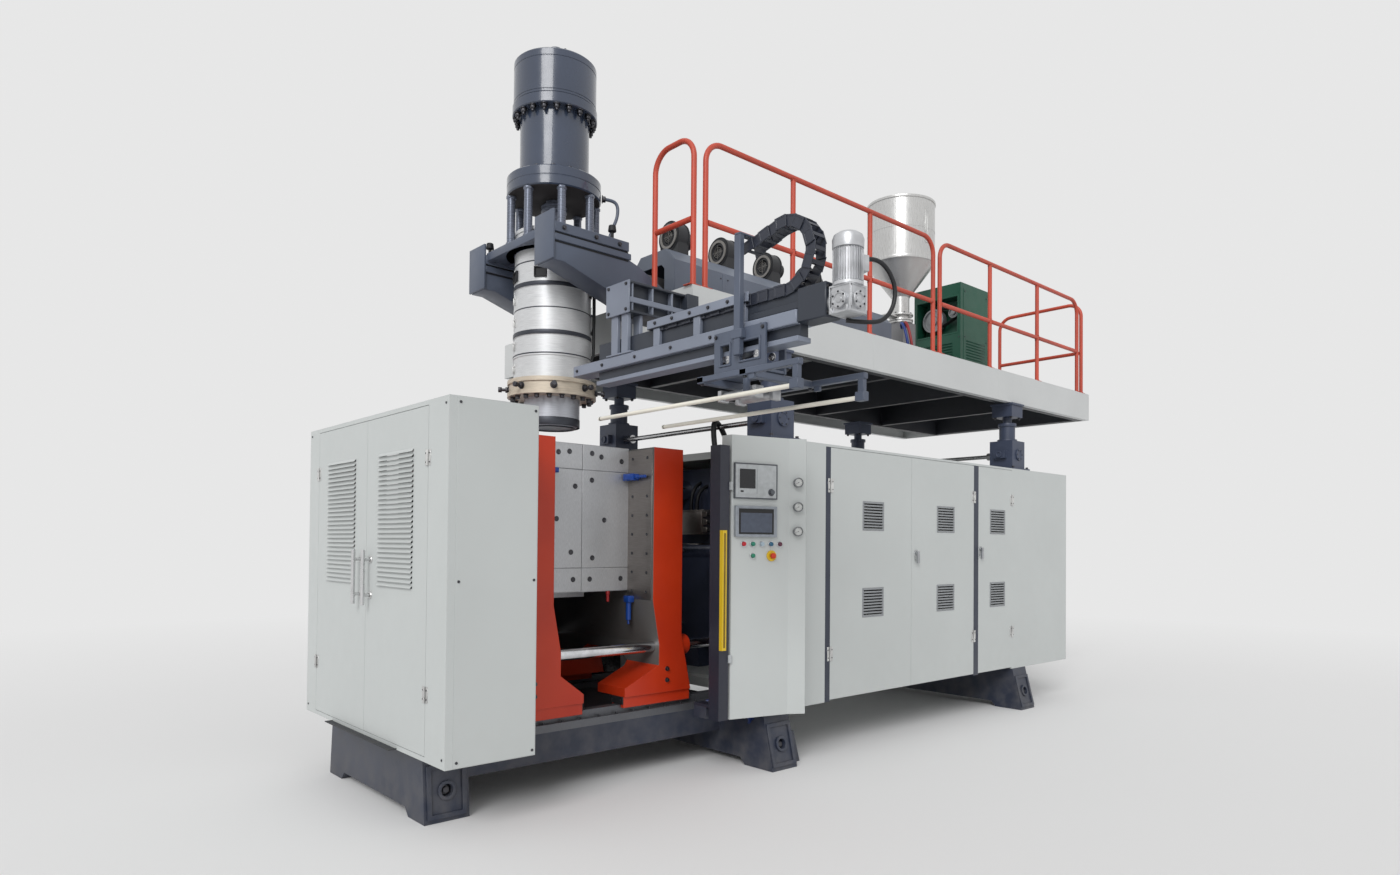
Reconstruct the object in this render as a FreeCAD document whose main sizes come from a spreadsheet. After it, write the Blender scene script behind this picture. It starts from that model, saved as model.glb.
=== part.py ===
import FreeCAD, Part
import math
import os

import Sketcher

# Blow moulding machine with one accumulator head, a lifting extruder platform and a
# take-out arm.  Millimetres, +X along the machine towards the electric cabinet, +Y to
# the back, +Z up.  The origin is on the floor, under the middle of the whole machine.

SIZES = {
    # stations that the whole machine hangs on
    "left_end_x": -3950,        # outer face of the guard cabinet
    "front_y": -445,            # front faces of the cabinets
    "centre_y": 705,            # middle plane of platens, head and extruder
    "head_x": -2590,            # middle of the hanging parison
    "sill_z": 400,              # underside of every cabinet
    "cabinet_top_z": 2400,
    "sheet_wall": 20,           # folded sheet walls, with their returns
    "clearance": 0.3,           # running gap between bodies that move past each other

    # welded base
    "left_beam_inset": 70,
    "left_beam_width": 280,
    "left_beam_depth": 1440,
    "beam_inset": 2430,
    "beam_width": 260,
    "beam_pitch": 3590,
    "beam_underside": 50,
    "foot_toe": 100,
    "left_toe": 40,
    "foot_length": 230,
    "foot_flare": 70,
    "foot_flare_base": 140,
    "foot_flare_height": 235,
    "foot_plate": 30,
    "jack_hole_radius": 35,
    "jack_hole_z": 175,
    "sill_inset": 130,
    "sill_depth": 120,
    "sill_height": 80,
    "sill_right_x": 3200,
    "rail_beam_depth": 160,
    "rail_beam_inset": 450,     # front face of the rail beam behind the cabinet fronts
    "rail_beam_underside": 215,
    "rail_beam_top": 450,
    "rail_height": 50,
    "rail_width": 70,
    "guide_left_x": -3850,
    "guide_right_x": -1380,

    # guard cabinet at the left end
    "guard_length": 550,
    "guard_depth": 2200,
    "guard_door_width": 880,
    "guard_door_margin": 30,
    "door_skin": 3,
    "door_rim": 25,
    "guard_door_y": 250,
    "guard_door_thickness": 22,
    "door_gap": 3,
    "louvre_rows": 28,
    "louvre_pitch": 29,
    "louvre_width": 500,
    "louvre_slot": 12,
    "louvre_depth": 14,
    "louvre_z": 1345,
    "louvre_from_hinge": 190,
    "louvre_rise": 8,
    "handle_standoff": 50,
    "handle_radius": 13,
    "handle_stay_radius": 10,
    "handle_length": 340,
    "handle_z": 1220,
    "handle_from_edge": 80,
    "handle_stay": 60,
    "hinge_low_z": 725,
    "hinge_high_z": 2035,
    "hinge_height": 90,
    "hinge_plate": 12,
    "hinge_reach": 45,

    # service cabinet on the right
    "service_left_x": -1060,
    "service_right_x": 3240,
    "clamp_way_inset": 260,
    "clamp_way_top": 2340,
    "apron_gap": 10,
    "post_width": 60,
    "mid_post_width": 84,
    "post_depth": 70,
    "service_door_a_x": -774,
    "service_door_b_x": 320,
    "electric_door_x": 1420,
    "electric_hinge_x": 2056,
    "service_door_thickness": 25,
    "door_bottom_margin": 15,
    "vent_width": 250,
    "vent_low_z": 1050,
    "vent_high_z": 1755,
    "vent_slats": 9,
    "vent_slat_pitch": 24,
    "vent_slot": 10,
    "vent_a_x": -350,
    "vent_b_x": 730,
    "vent_c_x": 1650,
    "latch_height": 90,
    "latch_width": 28,
    "latch_depth": 30,
    "latch_from_edge": 68,
    "latch_z": 1555,
    "electric_latch_edge": 34,
    "electric_latch_z": 1590,

    # faceted control door beside the clamp bay
    "control_hinge_x": -1850,
    "control_nose_x": -1395,
    "control_nose_out": 120,
    "control_edge_x": -1283,
    "control_edge_out": 190,
    "control_box_depth": 100,
    "control_top_margin": 20,
    "screen_frame_width": 346,
    "screen_frame_height": 245,
    "screen_frame_depth": 14,
    "screen_frame_z": 2060,
    "screen_rim": 30,
    "screen_width": 235,
    "screen_proud": 3,
    "touch_panel_width": 338,
    "touch_panel_height": 215,
    "touch_panel_z": 1776,
    "touch_panel_depth": 22,
    "panel_middle": 190,        # along the slanting face, from the hinge
    "button_count": 5,
    "button_row_z": 1618,
    "button_low_z": 1535,
    "button_first": 94,
    "button_pitch": 74.5,
    "button_radius": 15,
    "button_height": 16,
    "button_travel": 5,
    "button_rest": 1,
    "button_play": 0.5,
    "bezel_radius": 20,
    "bezel_height": 10,
    "stop_plate_radius": 38,
    "stop_radius": 20,
    "stop_stem_radius": 12,
    "stop_head_height": 16,
    "stop_height": 32,
    "stop_place": 325,
    "knob_radius": 16,
    "knob_height": 24,
    "knob_offset": 125,
    "knob_z": 1985,
    "gauge_count": 3,
    "gauge_radius": 33,
    "gauge_height": 30,
    "gauge_top_z": 2062,
    "gauge_pitch": 176,

    # light curtain
    "curtain_x": -1960,
    "curtain_width": 90,
    "curtain_depth": 100,
    "curtain_top": 2300,
    "strip_width": 40,
    "strip_depth": 30,
    "strip_bottom": 885,
    "strip_top": 1710,

    # clamp: platens, moulds, tie bars
    "platen_half_depth": 700,
    "platen_bottom": 555,
    "platen_top": 2300,
    "platen_thickness": 270,
    "mould_thickness": 410,
    "platen_toe": 240,
    "toe_height": 60,
    "toe_knee": 750,
    "waist_top": 1210,
    "waist_low": 900,
    "platen_waist": 60,
    "platen_heel": 90,
    "heel_top": 960,
    "arch_half_width": 380,
    "arch_top": 820,
    "arch_shoulder": 720,
    "rib_rows": 2,
    "rib_columns": 2,
    "rib_edge": 190,
    "rib_wall": 60,
    "rib_pocket_width": 480,
    "rib_pocket_height": 400,
    "rib_pocket_depth": 130,
    "rib_bottom": 1230,
    "tie_bar_radius": 38,
    "tie_bar_inset": 80,        # tie bar axis inside the platen's front edge
    "tie_bar_z": 875,
    "tie_play": 0.3,
    "upper_tie_inset": 130,
    "upper_tie_radius": 90,
    "upper_tie_z": 2110,
    "tie_boss_length": 90,
    "tie_boss_wall": 36,
    "tie_nut_wall": 26,
    "tie_nut_length": 70,
    "shoe_width": 130,
    "shoe_lip": 20,
    "mould_half_depth": 400,
    "mould_bottom": 1270,
    "mould_top": 2310,
    "sub_block_reach": 200,
    "sub_block_half": 150,
    "sub_block_height": 50,
    "mould_split": 1,           # opening between the closed halves
    "cavity_radius": 200,
    "cavity_height": 560,
    "cavity_z": 1370,
    "cavity_corner": 40,
    "neck_radius": 45,
    "back_platen_x": -770,
    "back_platen_thickness": 200,
    "clamp_barrel_radius": 150,
    "clamp_barrel_length": 1060,
    "clamp_flange": 40,
    "clamp_rod_overlap": 90,
    "clamp_z": 1560,
    "clamp_rod_radius": 60,

    # screw jacks
    "jack_left_x": -1260,
    "jack_right_x": 2310,
    "jack_inset": 190,
    "jack_body": 250,
    "jack_body_top": 2700,
    "jack_ear": 40,
    "jack_tube_radius": 78,
    "jack_tube_top": 2885,
    "jack_column_wall": 10,
    "jack_screw_bottom": 1900,
    "jack_screw_radius": 45,
    "jack_shaft_z": 2560,
    "cross_shaft_radius": 20,
    "coupling_radius": 38,
    "coupling_length": 90,
    "jack_column": 160,
    "jack_pad": 220,
    "jack_pad_height": 140,

    # lifting platform
    "platform_left_x": -2150,
    "platform_right_x": 4010,
    "platform_front_y": -355,
    "platform_back_y": 2195,
    "platform_bottom": 3090,
    "platform_top": 3390,
    "platform_fascia": 12,
    "platform_lip": 60,
    "deck_plate": 8,
    "joist_width": 60,
    "joist_count": 6,
    "rail_radius": 20,
    "rail_top_z": 4435,
    "rail_mid_z": 3860,
    "rail_inset": 30,
    "rail_bend": 150,
    "rail_post_a": -1100,
    "rail_post_b": -130,
    "rail_panel_end": 820,
    "rail_panel_gap": 110,
    "rail_post_c": 1830,
    "rail_post_d": 2810,
    "rail_right_x": 3870,
    "rail_left_return": 420,
    "rail_right_return": 1010,

    # extrusion head
    "die_radius": 203,
    "die_bottom": 2460,
    "die_mouth": 150,
    "die_gap": 6,
    "die_chamfer": 25,
    "collar_radius": 323,
    "collar_bottom": 2668,
    "collar_height": 119,
    "collar_step": 30,
    "collar_groove": 12,
    "shroud_radius": 279,
    "shroud_band_radius": 285,
    "head_core_top": 3885,
    "head_core_radius": 180,
    "head_lip_radius": 286,
    "head_lip_height": 25,
    "plunger_bore_bottom": 3300,
    "band_height": 30,
    "band_a_z": 3095,
    "band_b_z": 3440,
    "band_c_z": 2945,
    "head_column_radius": 24,
    "head_column_circle": 312,
    "head_column_count": 8,
    "ram_flange_radius": 344,
    "ram_flange_bottom": 4042,
    "ram_disc_radius": 334,
    "ram_disc_height": 108,
    "ram_flange_height": 94,
    "ram_lower_radius": 252,
    "ram_lower_height": 456,
    "ram_upper_radius": 300,
    "ram_upper_height": 410,
    "ram_ring_radius": 312,
    "ram_ring_height": 65,
    "ram_cap_radius": 63,
    "ram_cap_height": 105,
    "ram_end_wall": 175,
    "ram_rod_gap": 200,        # between the rod and the closed end of its bore
    "ram_rod_bottom": 3400,
    "crosshead_radius": 190,
    "crosshead_height": 50,
    "crosshead_z": 3985,
    "ram_rod_radius": 55,

    # head support
    "arm_half_spacing": 470,
    "arm_thickness": 210,
    "arm_left_x": -2950,
    "arm_top_z": 3800,
    "arm_nose_z": 3480,
    "arm_deep_x": -2480,
    "arm_deep_z": 3310,
    "arm_foot_length": 900,
    "arm_foot_top": 3580,
    "arm_brow": 150,
    "arm_wall": 16,
    "arm_plate_height": 40,
    "arm_plate_length": 700,

    # extruder on the platform
    "barrel_axis_z": 3680,
    "barrel_radius": 105,
    "barrel_bore": 60,
    "barrel_nose": 90,
    "barrel_seat": 60,
    "barrel_nose_step": 10,
    "screw_end_gap": 40,
    "cover_left_x": -1640,
    "cover_right_x": 1250,
    "cover_half_depth": 270,
    "cover_bottom": 3470,
    "cover_top": 3980,
    "cover_chamfer": 110,
    "cover_wall": 6,
    "cover_leg": 60,
    "barrel_foot": 80,
    "barrel_foot_inset": 240,
    "screw_feed_radius": 36,
    "screw_metering_radius": 46,
    "screw_feed_length": 1100,
    "screw_metering_length": 900,
    "screw_flight_radius": 59,
    "screw_tip": 60,
    "blower_first_x": -1420,
    "blower_pitch": 560,
    "blower_count": 5,
    "blower_radius": 125,
    "blower_width": 120,
    "blower_outlet": 110,
    "blower_sink": 60,
    "blower_motor": 90,
    "blower_motor_radius": 62,
    "hopper_x": 1790,
    "hopper_radius": 354,
    "hopper_wall": 4,
    "hopper_top": 5290,
    "hopper_cone_top": 4640,
    "hopper_cone_bottom": 4290,
    "hopper_neck_radius": 90,
    "hopper_lip": 40,
    "throat_width": 230,
    "throat_top": 4010,
    "drive_left_x": 2500,
    "drive_right_x": 3120,
    "drive_half_depth": 300,
    "drive_top": 4560,
    "drive_recess": 180,
    "drive_recess_bottom": 4010,
    "drive_recess_height": 400,
    "drive_wall": 40,
    "drive_eye_radius": 50,
    "drive_eye_rise": 25,
    "drive_eye_hole": 17,
    "drive_eye_hole_rise": 38,

    # take-out arm, on the mould's parting plane
    "arm_x": -2650,
    "beam_section_width": 130,
    "takeout_back_y": 295,
    "takeout_front_y": -1995,
    "takeout_bottom": 2750,
    "takeout_rail_z": 2860,
    "takeout_rail_height": 140,
    "takeout_rail_width": 90,
    "rail_short": 50,
    "rail_back_short": 230,
    "slot_length": 360,
    "slot_height": 60,
    "slot_pitch": 480,
    "slot_count": 4,
    "slot_margin": 70,
    "slot_rise": 35,
    "bracket_back_y": -30,
    "bracket_front_y": -955,
    "bracket_height": 290,
    "bracket_right_x": -2150,
    "bracket_wall": 12,
    "carriage_y": -1505,
    "carriage_length": 380,
    "carriage_bottom": 2530,
    "carriage_top": 2800,
    "carriage_plate": 16,
    "window_width": 120,
    "window_height": 130,
    "window_margin": 45,
    "mast_width": 90,
    "mast_top": 3300,
    "mast_depth": 70,
    "mast_from_end": 90,
    "gripper_half_span": 260,
    "gripper_z": 2400,
    "gripper_radius": 20,
    "gripper_back_y": -265,
    "gripper_front_y": -1955,
    "gripper_leg": 40,
    "chain_pitch": 60,
    "chain_link_length": 75,
    "chain_bar_width": 20,
    "chain_bar_height": 4,
    "chain_height": 60,
    "chain_width": 90,
    "chain_plate": 8,
    "chain_tray": 5,
    "chain_bend": 205,
    "chain_fixed_y": -975,
    "chain_turn_y": -1560,
    "chain_end_y": -1500,
    "gearbox_front_y": -2205,
    "gearbox_height": 190,
    "gearbox_width": 160,
    "motor_radius": 72,
    "motor_height": 250,
    "motor_flange": 14,
    "motor_box": 80,

    # machinery behind the doors
    "tank_left_x": 200,
    "tank_length": 1100,
    "tank_depth": 900,
    "tank_height": 620,
    "pump_radius": 150,
    "pump_length": 420,
    "tank_lip": 30,
    "pump_inset": 225,
    "pump_axis_rise": 188,
    "pump_saddle": 75,
    "pump_body_radius": 75,
    "rack_left_x": 1500,
    "rack_length": 1500,
    "rack_depth": 350,
    "rack_height": 1700,
    "rack_y": 60,
    "rack_rows": 3,
    "rack_columns": 4,
    "rack_row_first": 220,
    "rack_row_pitch": 480,
    "rack_gap": 60,
    "rack_device_width": 290,
    "rack_device_height": 260,
    "rack_device_depth": 130,
}

doc = FreeCAD.newDocument("blow_moulding_machine")
sheet = doc.addObject("Spreadsheet::Sheet", "Sizes")
for row, (alias, number) in enumerate(SIZES.items(), start=1):
    sheet.set("A%d" % row, alias)
    sheet.set("B%d" % row, str(number))
    sheet.setAlias("B%d" % row, alias)
doc.recompute()


# ---------------------------------------------------------------- sizes and bindings

class Size:
    """A length kept as a number together with the sheet formula that gives it."""

    def __init__(self, value, formula):
        self.value = value
        self.formula = formula

    @staticmethod
    def of(item):
        if isinstance(item, Size):
            return item
        return Size(float(item), "(%s)" % item)

    def join(self, sign, other, value):
        return Size(value, "(%s %s %s)" % (self.formula, sign, other.formula))

    def __add__(self, other):
        other = Size.of(other)
        return self.join("+", other, self.value + other.value)

    def __sub__(self, other):
        other = Size.of(other)
        return self.join("-", other, self.value - other.value)

    def __mul__(self, other):
        other = Size.of(other)
        return self.join("*", other, self.value * other.value)

    def __truediv__(self, other):
        other = Size.of(other)
        return self.join("/", other, self.value / other.value)

    def __radd__(self, other):
        return Size.of(other) + self

    def __rsub__(self, other):
        return Size.of(other) - self

    def __rmul__(self, other):
        return Size.of(other) * self

    def __neg__(self):
        return Size.of(0) - self


class Sheet:
    """The driving dimensions by name."""

    def __getattr__(self, alias):
        return Size(float(SIZES[alias]), "Sizes." + alias)


s = Sheet()
sub_parts = []


def count(size):
    return int(round(size.value))


def hypotenuse(a, b):
    return Size(math.hypot(a.value, b.value), "hypot(%s; %s)" % (a.formula, b.formula))


def heading(along_x, along_y):
    """The angle, in degrees, of a direction in plan."""
    angle = math.degrees(math.atan2(along_y.value, along_x.value))
    return Size(angle, "atan2(%s; %s) / 1deg" % (along_y.formula, along_x.formula))


def mirrored(y):
    """The station on the other side of the machine's middle plane."""
    return 2 * s.centre_y - y


def bind(item, prop, size):
    item.setExpression(prop, Size.of(size).formula)


def place(item, x=0, y=0, z=0):
    for axis, size in (("x", x), ("y", y), ("z", z)):
        bind(item, "Placement.Base." + axis, size)
    return item


def sub_part(name, item):
    """Registers an object as one named piece of the machine."""
    item.Label = name
    sub_parts.append(item)
    return item


# ---------------------------------------------------------------- solids

def box(name, x, y, z):
    """A block between two stations on each axis."""
    item = doc.addObject("Part::Box", name)
    for prop, (start, end) in zip(("Length", "Width", "Height"), (x, y, z)):
        bind(item, prop, Size.of(end) - start)
    return place(item, x[0], y[0], z[0])


TURNS = {
    "x": FreeCAD.Rotation(FreeCAD.Vector(0, 1, 0), 90),
    "y": FreeCAD.Rotation(FreeCAD.Vector(1, 0, 0), -90),
    "z": FreeCAD.Rotation(),
}


def rod(name, axis, x, y, z, radius):
    """A round bar; the station along its own axis is a (start, end) pair."""
    item = doc.addObject("Part::Cylinder", name)
    item.Placement.Rotation = TURNS[axis]
    start, end = {"x": x, "y": y, "z": z}[axis]
    bind(item, "Radius", radius)
    bind(item, "Height", Size.of(end) - start)
    base = {"x": x, "y": y, "z": z}
    base[axis] = start
    return place(item, base["x"], base["y"], base["z"])


def fuse(name, *items):
    joined = doc.addObject("Part::MultiFuse", name)
    joined.Shapes = list(items)
    joined.Refine = True
    return joined


def cut(name, base, *tools):
    item = doc.addObject("Part::Cut", name)
    item.Base = base
    item.Tool = tools[0] if len(tools) == 1 else fuse(name + "_tools", *tools)
    return item


def group(name, *items):
    """Separate solids that belong to one sub-part."""
    item = doc.addObject("Part::Compound", name)
    item.Links = list(items)
    return item


# ---------------------------------------------------------------- sketched features

def origin_feature(body, role):
    return next(item for item in body.Origin.OriginFeatures if item.Role == role)


def new_body(name, x=0, y=0, z=0):
    body = doc.addObject("PartDesign::Body", name)
    return place(body, x, y, z)


def new_sketch(body, role, name):
    sketch = body.newObject("Sketcher::SketchObject", name)
    sketch.AttachmentSupport = [(origin_feature(body, role), "")]
    sketch.MapMode = "FlatFace"
    return sketch


def fix_point(sketch, geometry, end, u, v):
    """Ties a point of the sketch to its two stations."""
    for kind, size in (("DistanceX", Size.of(u)), ("DistanceY", Size.of(v))):
        index = sketch.addConstraint(Sketcher.Constraint(kind, -1, 1, geometry, end, size.value))
        bind(sketch, "Constraints[%d]" % index, size)


def draw_outline(sketch, points):
    """A closed outline of straight runs between (u, v) stations."""
    corners = [(Size.of(u), Size.of(v)) for u, v in points]
    vectors = [FreeCAD.Vector(u.value, v.value, 0) for u, v in corners]
    runs = [Part.LineSegment(a, b) for a, b in zip(vectors, vectors[1:] + vectors[:1])]
    lines = sketch.addGeometry(runs, False)
    joints = zip(lines, lines[1:] + lines[:1])
    sketch.addConstraint([Sketcher.Constraint("Coincident", a, 2, b, 1) for a, b in joints])
    for line, (u, v) in zip(lines, corners):
        fix_point(sketch, line, 1, u, v)
    return lines


def draw_rectangle(sketch, u, v):
    return draw_outline(sketch, [(u[0], v[0]), (u[1], v[0]), (u[1], v[1]), (u[0], v[1])])


def draw_circle(sketch, u, v, radius):
    u, v, radius = Size.of(u), Size.of(v), Size.of(radius)
    middle = FreeCAD.Vector(u.value, v.value, 0)
    circle = sketch.addGeometry(Part.Circle(middle, FreeCAD.Vector(0, 0, 1), radius.value), False)
    index = sketch.addConstraint(Sketcher.Constraint("Radius", circle, radius.value))
    bind(sketch, "Constraints[%d]" % index, radius)
    fix_point(sketch, circle, 3, u, v)


def pad(body, sketch, length, name, flipped=False):
    feature = body.newObject("PartDesign::Pad", name)
    feature.Profile = sketch
    feature.Reversed = flipped
    bind(feature, "Length", length)
    body.Tip = feature
    return feature


def pocket_through(body, sketch, name):
    feature = body.newObject("PartDesign::Pocket", name)
    feature.Profile = sketch
    feature.Type = 1
    feature.Midplane = True
    body.Tip = feature
    return feature


def row_of(body, features, sketch, axis, pitch, copies, name):
    """Repeats features in a straight row along an axis of a sketch."""
    pattern = body.newObject("PartDesign::LinearPattern", name)
    pattern.Originals = list(features)
    pattern.Direction = (sketch, [axis])
    bind(pattern, "Length", pitch * (copies - 1))
    bind(pattern, "Occurrences", copies)
    body.Tip = pattern
    return pattern


PLANES = {"x": ("YZ_Plane", False), "y": ("XZ_Plane", True), "z": ("XY_Plane", False)}


def prism(name, axis, start, end, points, holes=()):
    """An outline across one axis, padded between two stations on it."""
    role, flipped = PLANES[axis]
    body = new_body(name, **{axis: start})
    sketch = new_sketch(body, role, name + "_outline")
    draw_outline(sketch, points)
    for u, v, radius in holes:
        draw_circle(sketch, u, v, radius)
    pad(body, sketch, Size.of(end) - start, name + "_pad", flipped)
    return body


def turned(name, x, y, z, points, axis="z"):
    """A turned piece: a half section of (radius, height) stations about its axis."""
    body = new_body(name, x, y, z)
    body.Placement.Rotation = TURNS[axis]
    sketch = new_sketch(body, "XZ_Plane", name + "_section")
    draw_outline(sketch, points)
    feature = body.newObject("PartDesign::Revolution", name + "_turn")
    feature.Profile = sketch
    feature.ReferenceAxis = (sketch, ["V_Axis"])
    feature.Angle = 360
    body.Tip = feature
    return body


# ---------------------------------------------------------------- welded base

back_y = mirrored(s.front_y)
sill_top = s.sill_z + s.sill_height


def cross_beam(name, left_x, width, front, toe, back_toe):
    """A beam across the machine on two feet whose end faces lean outward."""
    back = mirrored(front)
    foot = front + s.foot_length
    far_foot = back - s.foot_length
    side = [
        (front, s.sill_z),
        (front - toe, 0),
        (foot - s.beam_underside, 0),
        (foot, s.beam_underside),
        (far_foot, s.beam_underside),
        (far_foot + s.beam_underside, 0),
        (back + back_toe, 0),
        (back, s.sill_z),
    ]
    beam = prism(name, "x", left_x, left_x + width, side)
    jack_x = left_x + width / 2
    front_hole = rod(name + "_front_hole", "y", jack_x, (front - toe, front + s.foot_plate),
                     s.jack_hole_z, s.jack_hole_radius)
    back_hole = rod(name + "_back_hole", "y", jack_x, (back - s.foot_plate, back + back_toe),
                    s.jack_hole_z, s.jack_hole_radius)
    return cut(name + "_bored", beam, front_hole, back_hole)


def foot_gusset(name, left_x, front, back):
    """The flared side of a foot, wider at the floor."""
    flank = [
        (left_x, 0),
        (left_x + s.foot_flare_base, 0),
        (left_x + s.foot_flare, s.foot_flare_height),
        (left_x, s.foot_flare_height),
    ]
    return prism(name, "y", front, back, flank)


def base_frame():
    left_x = s.left_end_x + s.left_beam_inset
    left_front = s.centre_y - s.left_beam_depth / 2
    left_right = left_x + s.left_beam_width
    beam_x = s.left_end_x + s.beam_inset
    pieces = [
        cross_beam("left_cross_beam", left_x, s.left_beam_width, left_front, s.left_toe, s.left_toe),
    ]
    for number, x in enumerate((beam_x, beam_x + s.beam_pitch), start=1):
        name = "cross_beam_%d" % number
        right = x + s.beam_width
        pieces.append(cross_beam(name, x, s.beam_width, s.front_y, s.foot_toe, s.foot_toe))
        pieces.append(foot_gusset(name + "_front_gusset", right, s.front_y,
                                  s.front_y + s.foot_length))
        pieces.append(foot_gusset(name + "_back_gusset", right, back_y - s.foot_length, back_y))
    rail_front = s.front_y + s.rail_beam_inset
    for side, y in (("front", rail_front), ("back", mirrored(rail_front) - s.rail_beam_depth)):
        pieces.append(box(side + "_rail_beam", (left_right, beam_x), (y, y + s.rail_beam_depth),
                          (s.rail_beam_underside, s.sill_z)))
    sill_y = s.front_y + s.sill_inset
    sill_left = (s.curtain_x, beam_x)
    for side, y, left in (("front", sill_y, sill_left[0]),
                          ("back", mirrored(sill_y) - s.sill_depth, sill_left[1])):
        pieces.append(box(side + "_sill", (left, s.sill_right_x), (y, y + s.sill_depth),
                          (s.sill_z, sill_top)))
    return group("base_frame", *pieces)


def guide_rails():
    """Two rails of inverted T section that the platens slide on."""
    front = s.front_y + s.rail_beam_inset
    rails = []
    for side, y in (("front", front), ("back", mirrored(front) - s.rail_beam_depth)):
        inner = y + (s.rail_beam_depth - s.rail_width) / 2
        section = [
            (y, s.sill_z),
            (y + s.rail_beam_depth, s.sill_z),
            (y + s.rail_beam_depth, s.rail_beam_top),
            (inner + s.rail_width, s.rail_beam_top),
            (inner + s.rail_width, rail_top),
            (inner, rail_top),
            (inner, s.rail_beam_top),
            (y, s.rail_beam_top),
        ]
        rails.append(prism(side + "_rail", "x", s.guide_left_x, s.guide_right_x, section))
    return group("guide_rails", *rails)


rail_top = s.rail_beam_top + s.rail_height


# ---------------------------------------------------------------- guard cabinet

guard_right = s.left_end_x + s.guard_length
guard_back = s.front_y + s.guard_depth
guard_door_front = s.front_y + s.guard_door_y
guard_door_middle = guard_door_front + s.guard_door_width
guard_door_back = guard_door_middle + s.guard_door_width
guard_door_low = s.sill_z + s.guard_door_margin
guard_door_high = s.cabinet_top_z - s.guard_door_margin


def guard_cabinet():
    """A sheet hood, open towards the moulds, with a doorway in its end wall."""
    wall = s.sheet_wall
    shell = box("guard_shell", (s.left_end_x, guard_right), (s.front_y, guard_back),
                (s.sill_z, s.cabinet_top_z))
    room = box("guard_room", (s.left_end_x + wall, guard_right + wall),
               (s.front_y + wall, guard_back - wall),
               (s.sill_z - wall, s.cabinet_top_z - wall))
    doorway = box("guard_doorway", (s.left_end_x - wall, s.left_end_x + wall),
                  (guard_door_front - s.door_gap, guard_door_back + s.door_gap),
                  (guard_door_low - s.door_gap, guard_door_high + s.door_gap))
    hood = cut("guard_hood", shell, room, doorway)
    floor_right = s.left_end_x + s.left_beam_inset + s.left_beam_width
    strip = box("guard_floor", (s.left_end_x + wall, floor_right),
                (s.front_y + wall, guard_back - wall), (s.sill_z, s.sill_z + wall))
    front = s.front_y + s.rail_beam_inset
    notches = []
    for side, y in (("front", front), ("back", mirrored(front) - s.rail_beam_depth)):
        notches.append(box(side + "_rail_notch", (s.guide_left_x - wall, floor_right + wall),
                           (y - wall, y + s.rail_beam_depth + wall),
                           (s.sill_z - wall, s.sill_z + 2 * wall)))
    floor = cut("guard_floor_strip", strip, *notches)
    plates = []
    for side, edge, way in (("front", guard_door_front, 1), ("back", guard_door_back, -1)):
        for level, z in (("low", s.hinge_low_z), ("high", s.hinge_high_z)):
            plates.append(hinge_plate("hinge_%s_%s" % (side, level), edge, way, z))
    return group("guard_cabinet", hood, floor, *plates)


def hinge_plate(name, edge, way, z):
    """A plate fixed inside the end wall that reaches behind the door's rim."""
    wall = s.left_end_x + s.sheet_wall
    door = s.left_end_x + s.guard_door_thickness + s.clearance
    return prism(name, "z", z, z + s.hinge_height, [
        (wall, edge - way * s.hinge_reach),
        (wall, edge - way * s.door_gap),
        (door, edge - way * s.door_gap),
        (door, edge + way * s.hinge_reach),
        (door + s.hinge_plate, edge + way * s.hinge_reach),
        (door + s.hinge_plate, edge - way * s.hinge_reach),
    ])


def guard_door(name, start, end, louvre_start, handle_y):
    """A louvred door: a folded tray with a field of pressed louvres and a tube handle."""
    skin = s.door_skin
    body = new_body(name + "_leaf", s.left_end_x, louvre_start, 0)
    y = (start - louvre_start, end - louvre_start)
    face = new_sketch(body, "YZ_Plane", name + "_face")
    draw_rectangle(face, y, (guard_door_low, guard_door_high))
    pad(body, face, skin, name + "_skin")
    rim = new_sketch(body, "YZ_Plane", name + "_rim_outline")
    draw_rectangle(rim, y, (guard_door_low, guard_door_high))
    draw_rectangle(rim, (y[0] + s.door_rim, y[1] - s.door_rim),
                   (guard_door_low + s.door_rim, guard_door_high - s.door_rim))
    pad(body, rim, s.guard_door_thickness, name + "_rim")
    slot = new_sketch(body, "YZ_Plane", name + "_slot_outline")
    draw_rectangle(slot, (0, s.louvre_width), (s.louvre_z, s.louvre_z + s.louvre_slot))
    opening = pocket_through(body, slot, name + "_slot")
    section = new_sketch(body, "XZ_Plane", name + "_louvre_section")
    top = s.louvre_z + s.louvre_slot
    draw_outline(section, [
        (0, top + s.louvre_rise),
        (0, top + s.louvre_rise - skin),
        (skin - s.louvre_depth, s.louvre_z + skin),
        (skin - s.louvre_depth, s.louvre_z),
        (-s.louvre_depth, s.louvre_z),
    ])
    louvre = pad(body, section, s.louvre_width, name + "_louvre", flipped=True)
    row_of(body, [opening, louvre], slot, "V_Axis", s.louvre_pitch, s.louvre_rows,
           name + "_louvres")
    bar_x = s.left_end_x - s.handle_standoff
    bar_z = (s.handle_z, s.handle_z + s.handle_length)
    bar = rod(name + "_bar", "z", bar_x, handle_y, bar_z, s.handle_radius)
    stays = []
    for end_name, z in (("low", bar_z[0] + s.handle_stay), ("high", bar_z[1] - s.handle_stay)):
        stays.append(rod(name + "_stay_" + end_name, "x", (bar_x, s.left_end_x), handle_y, z,
                         s.handle_stay_radius))
    return group(name, body, fuse(name + "_handle", bar, *stays))


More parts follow.
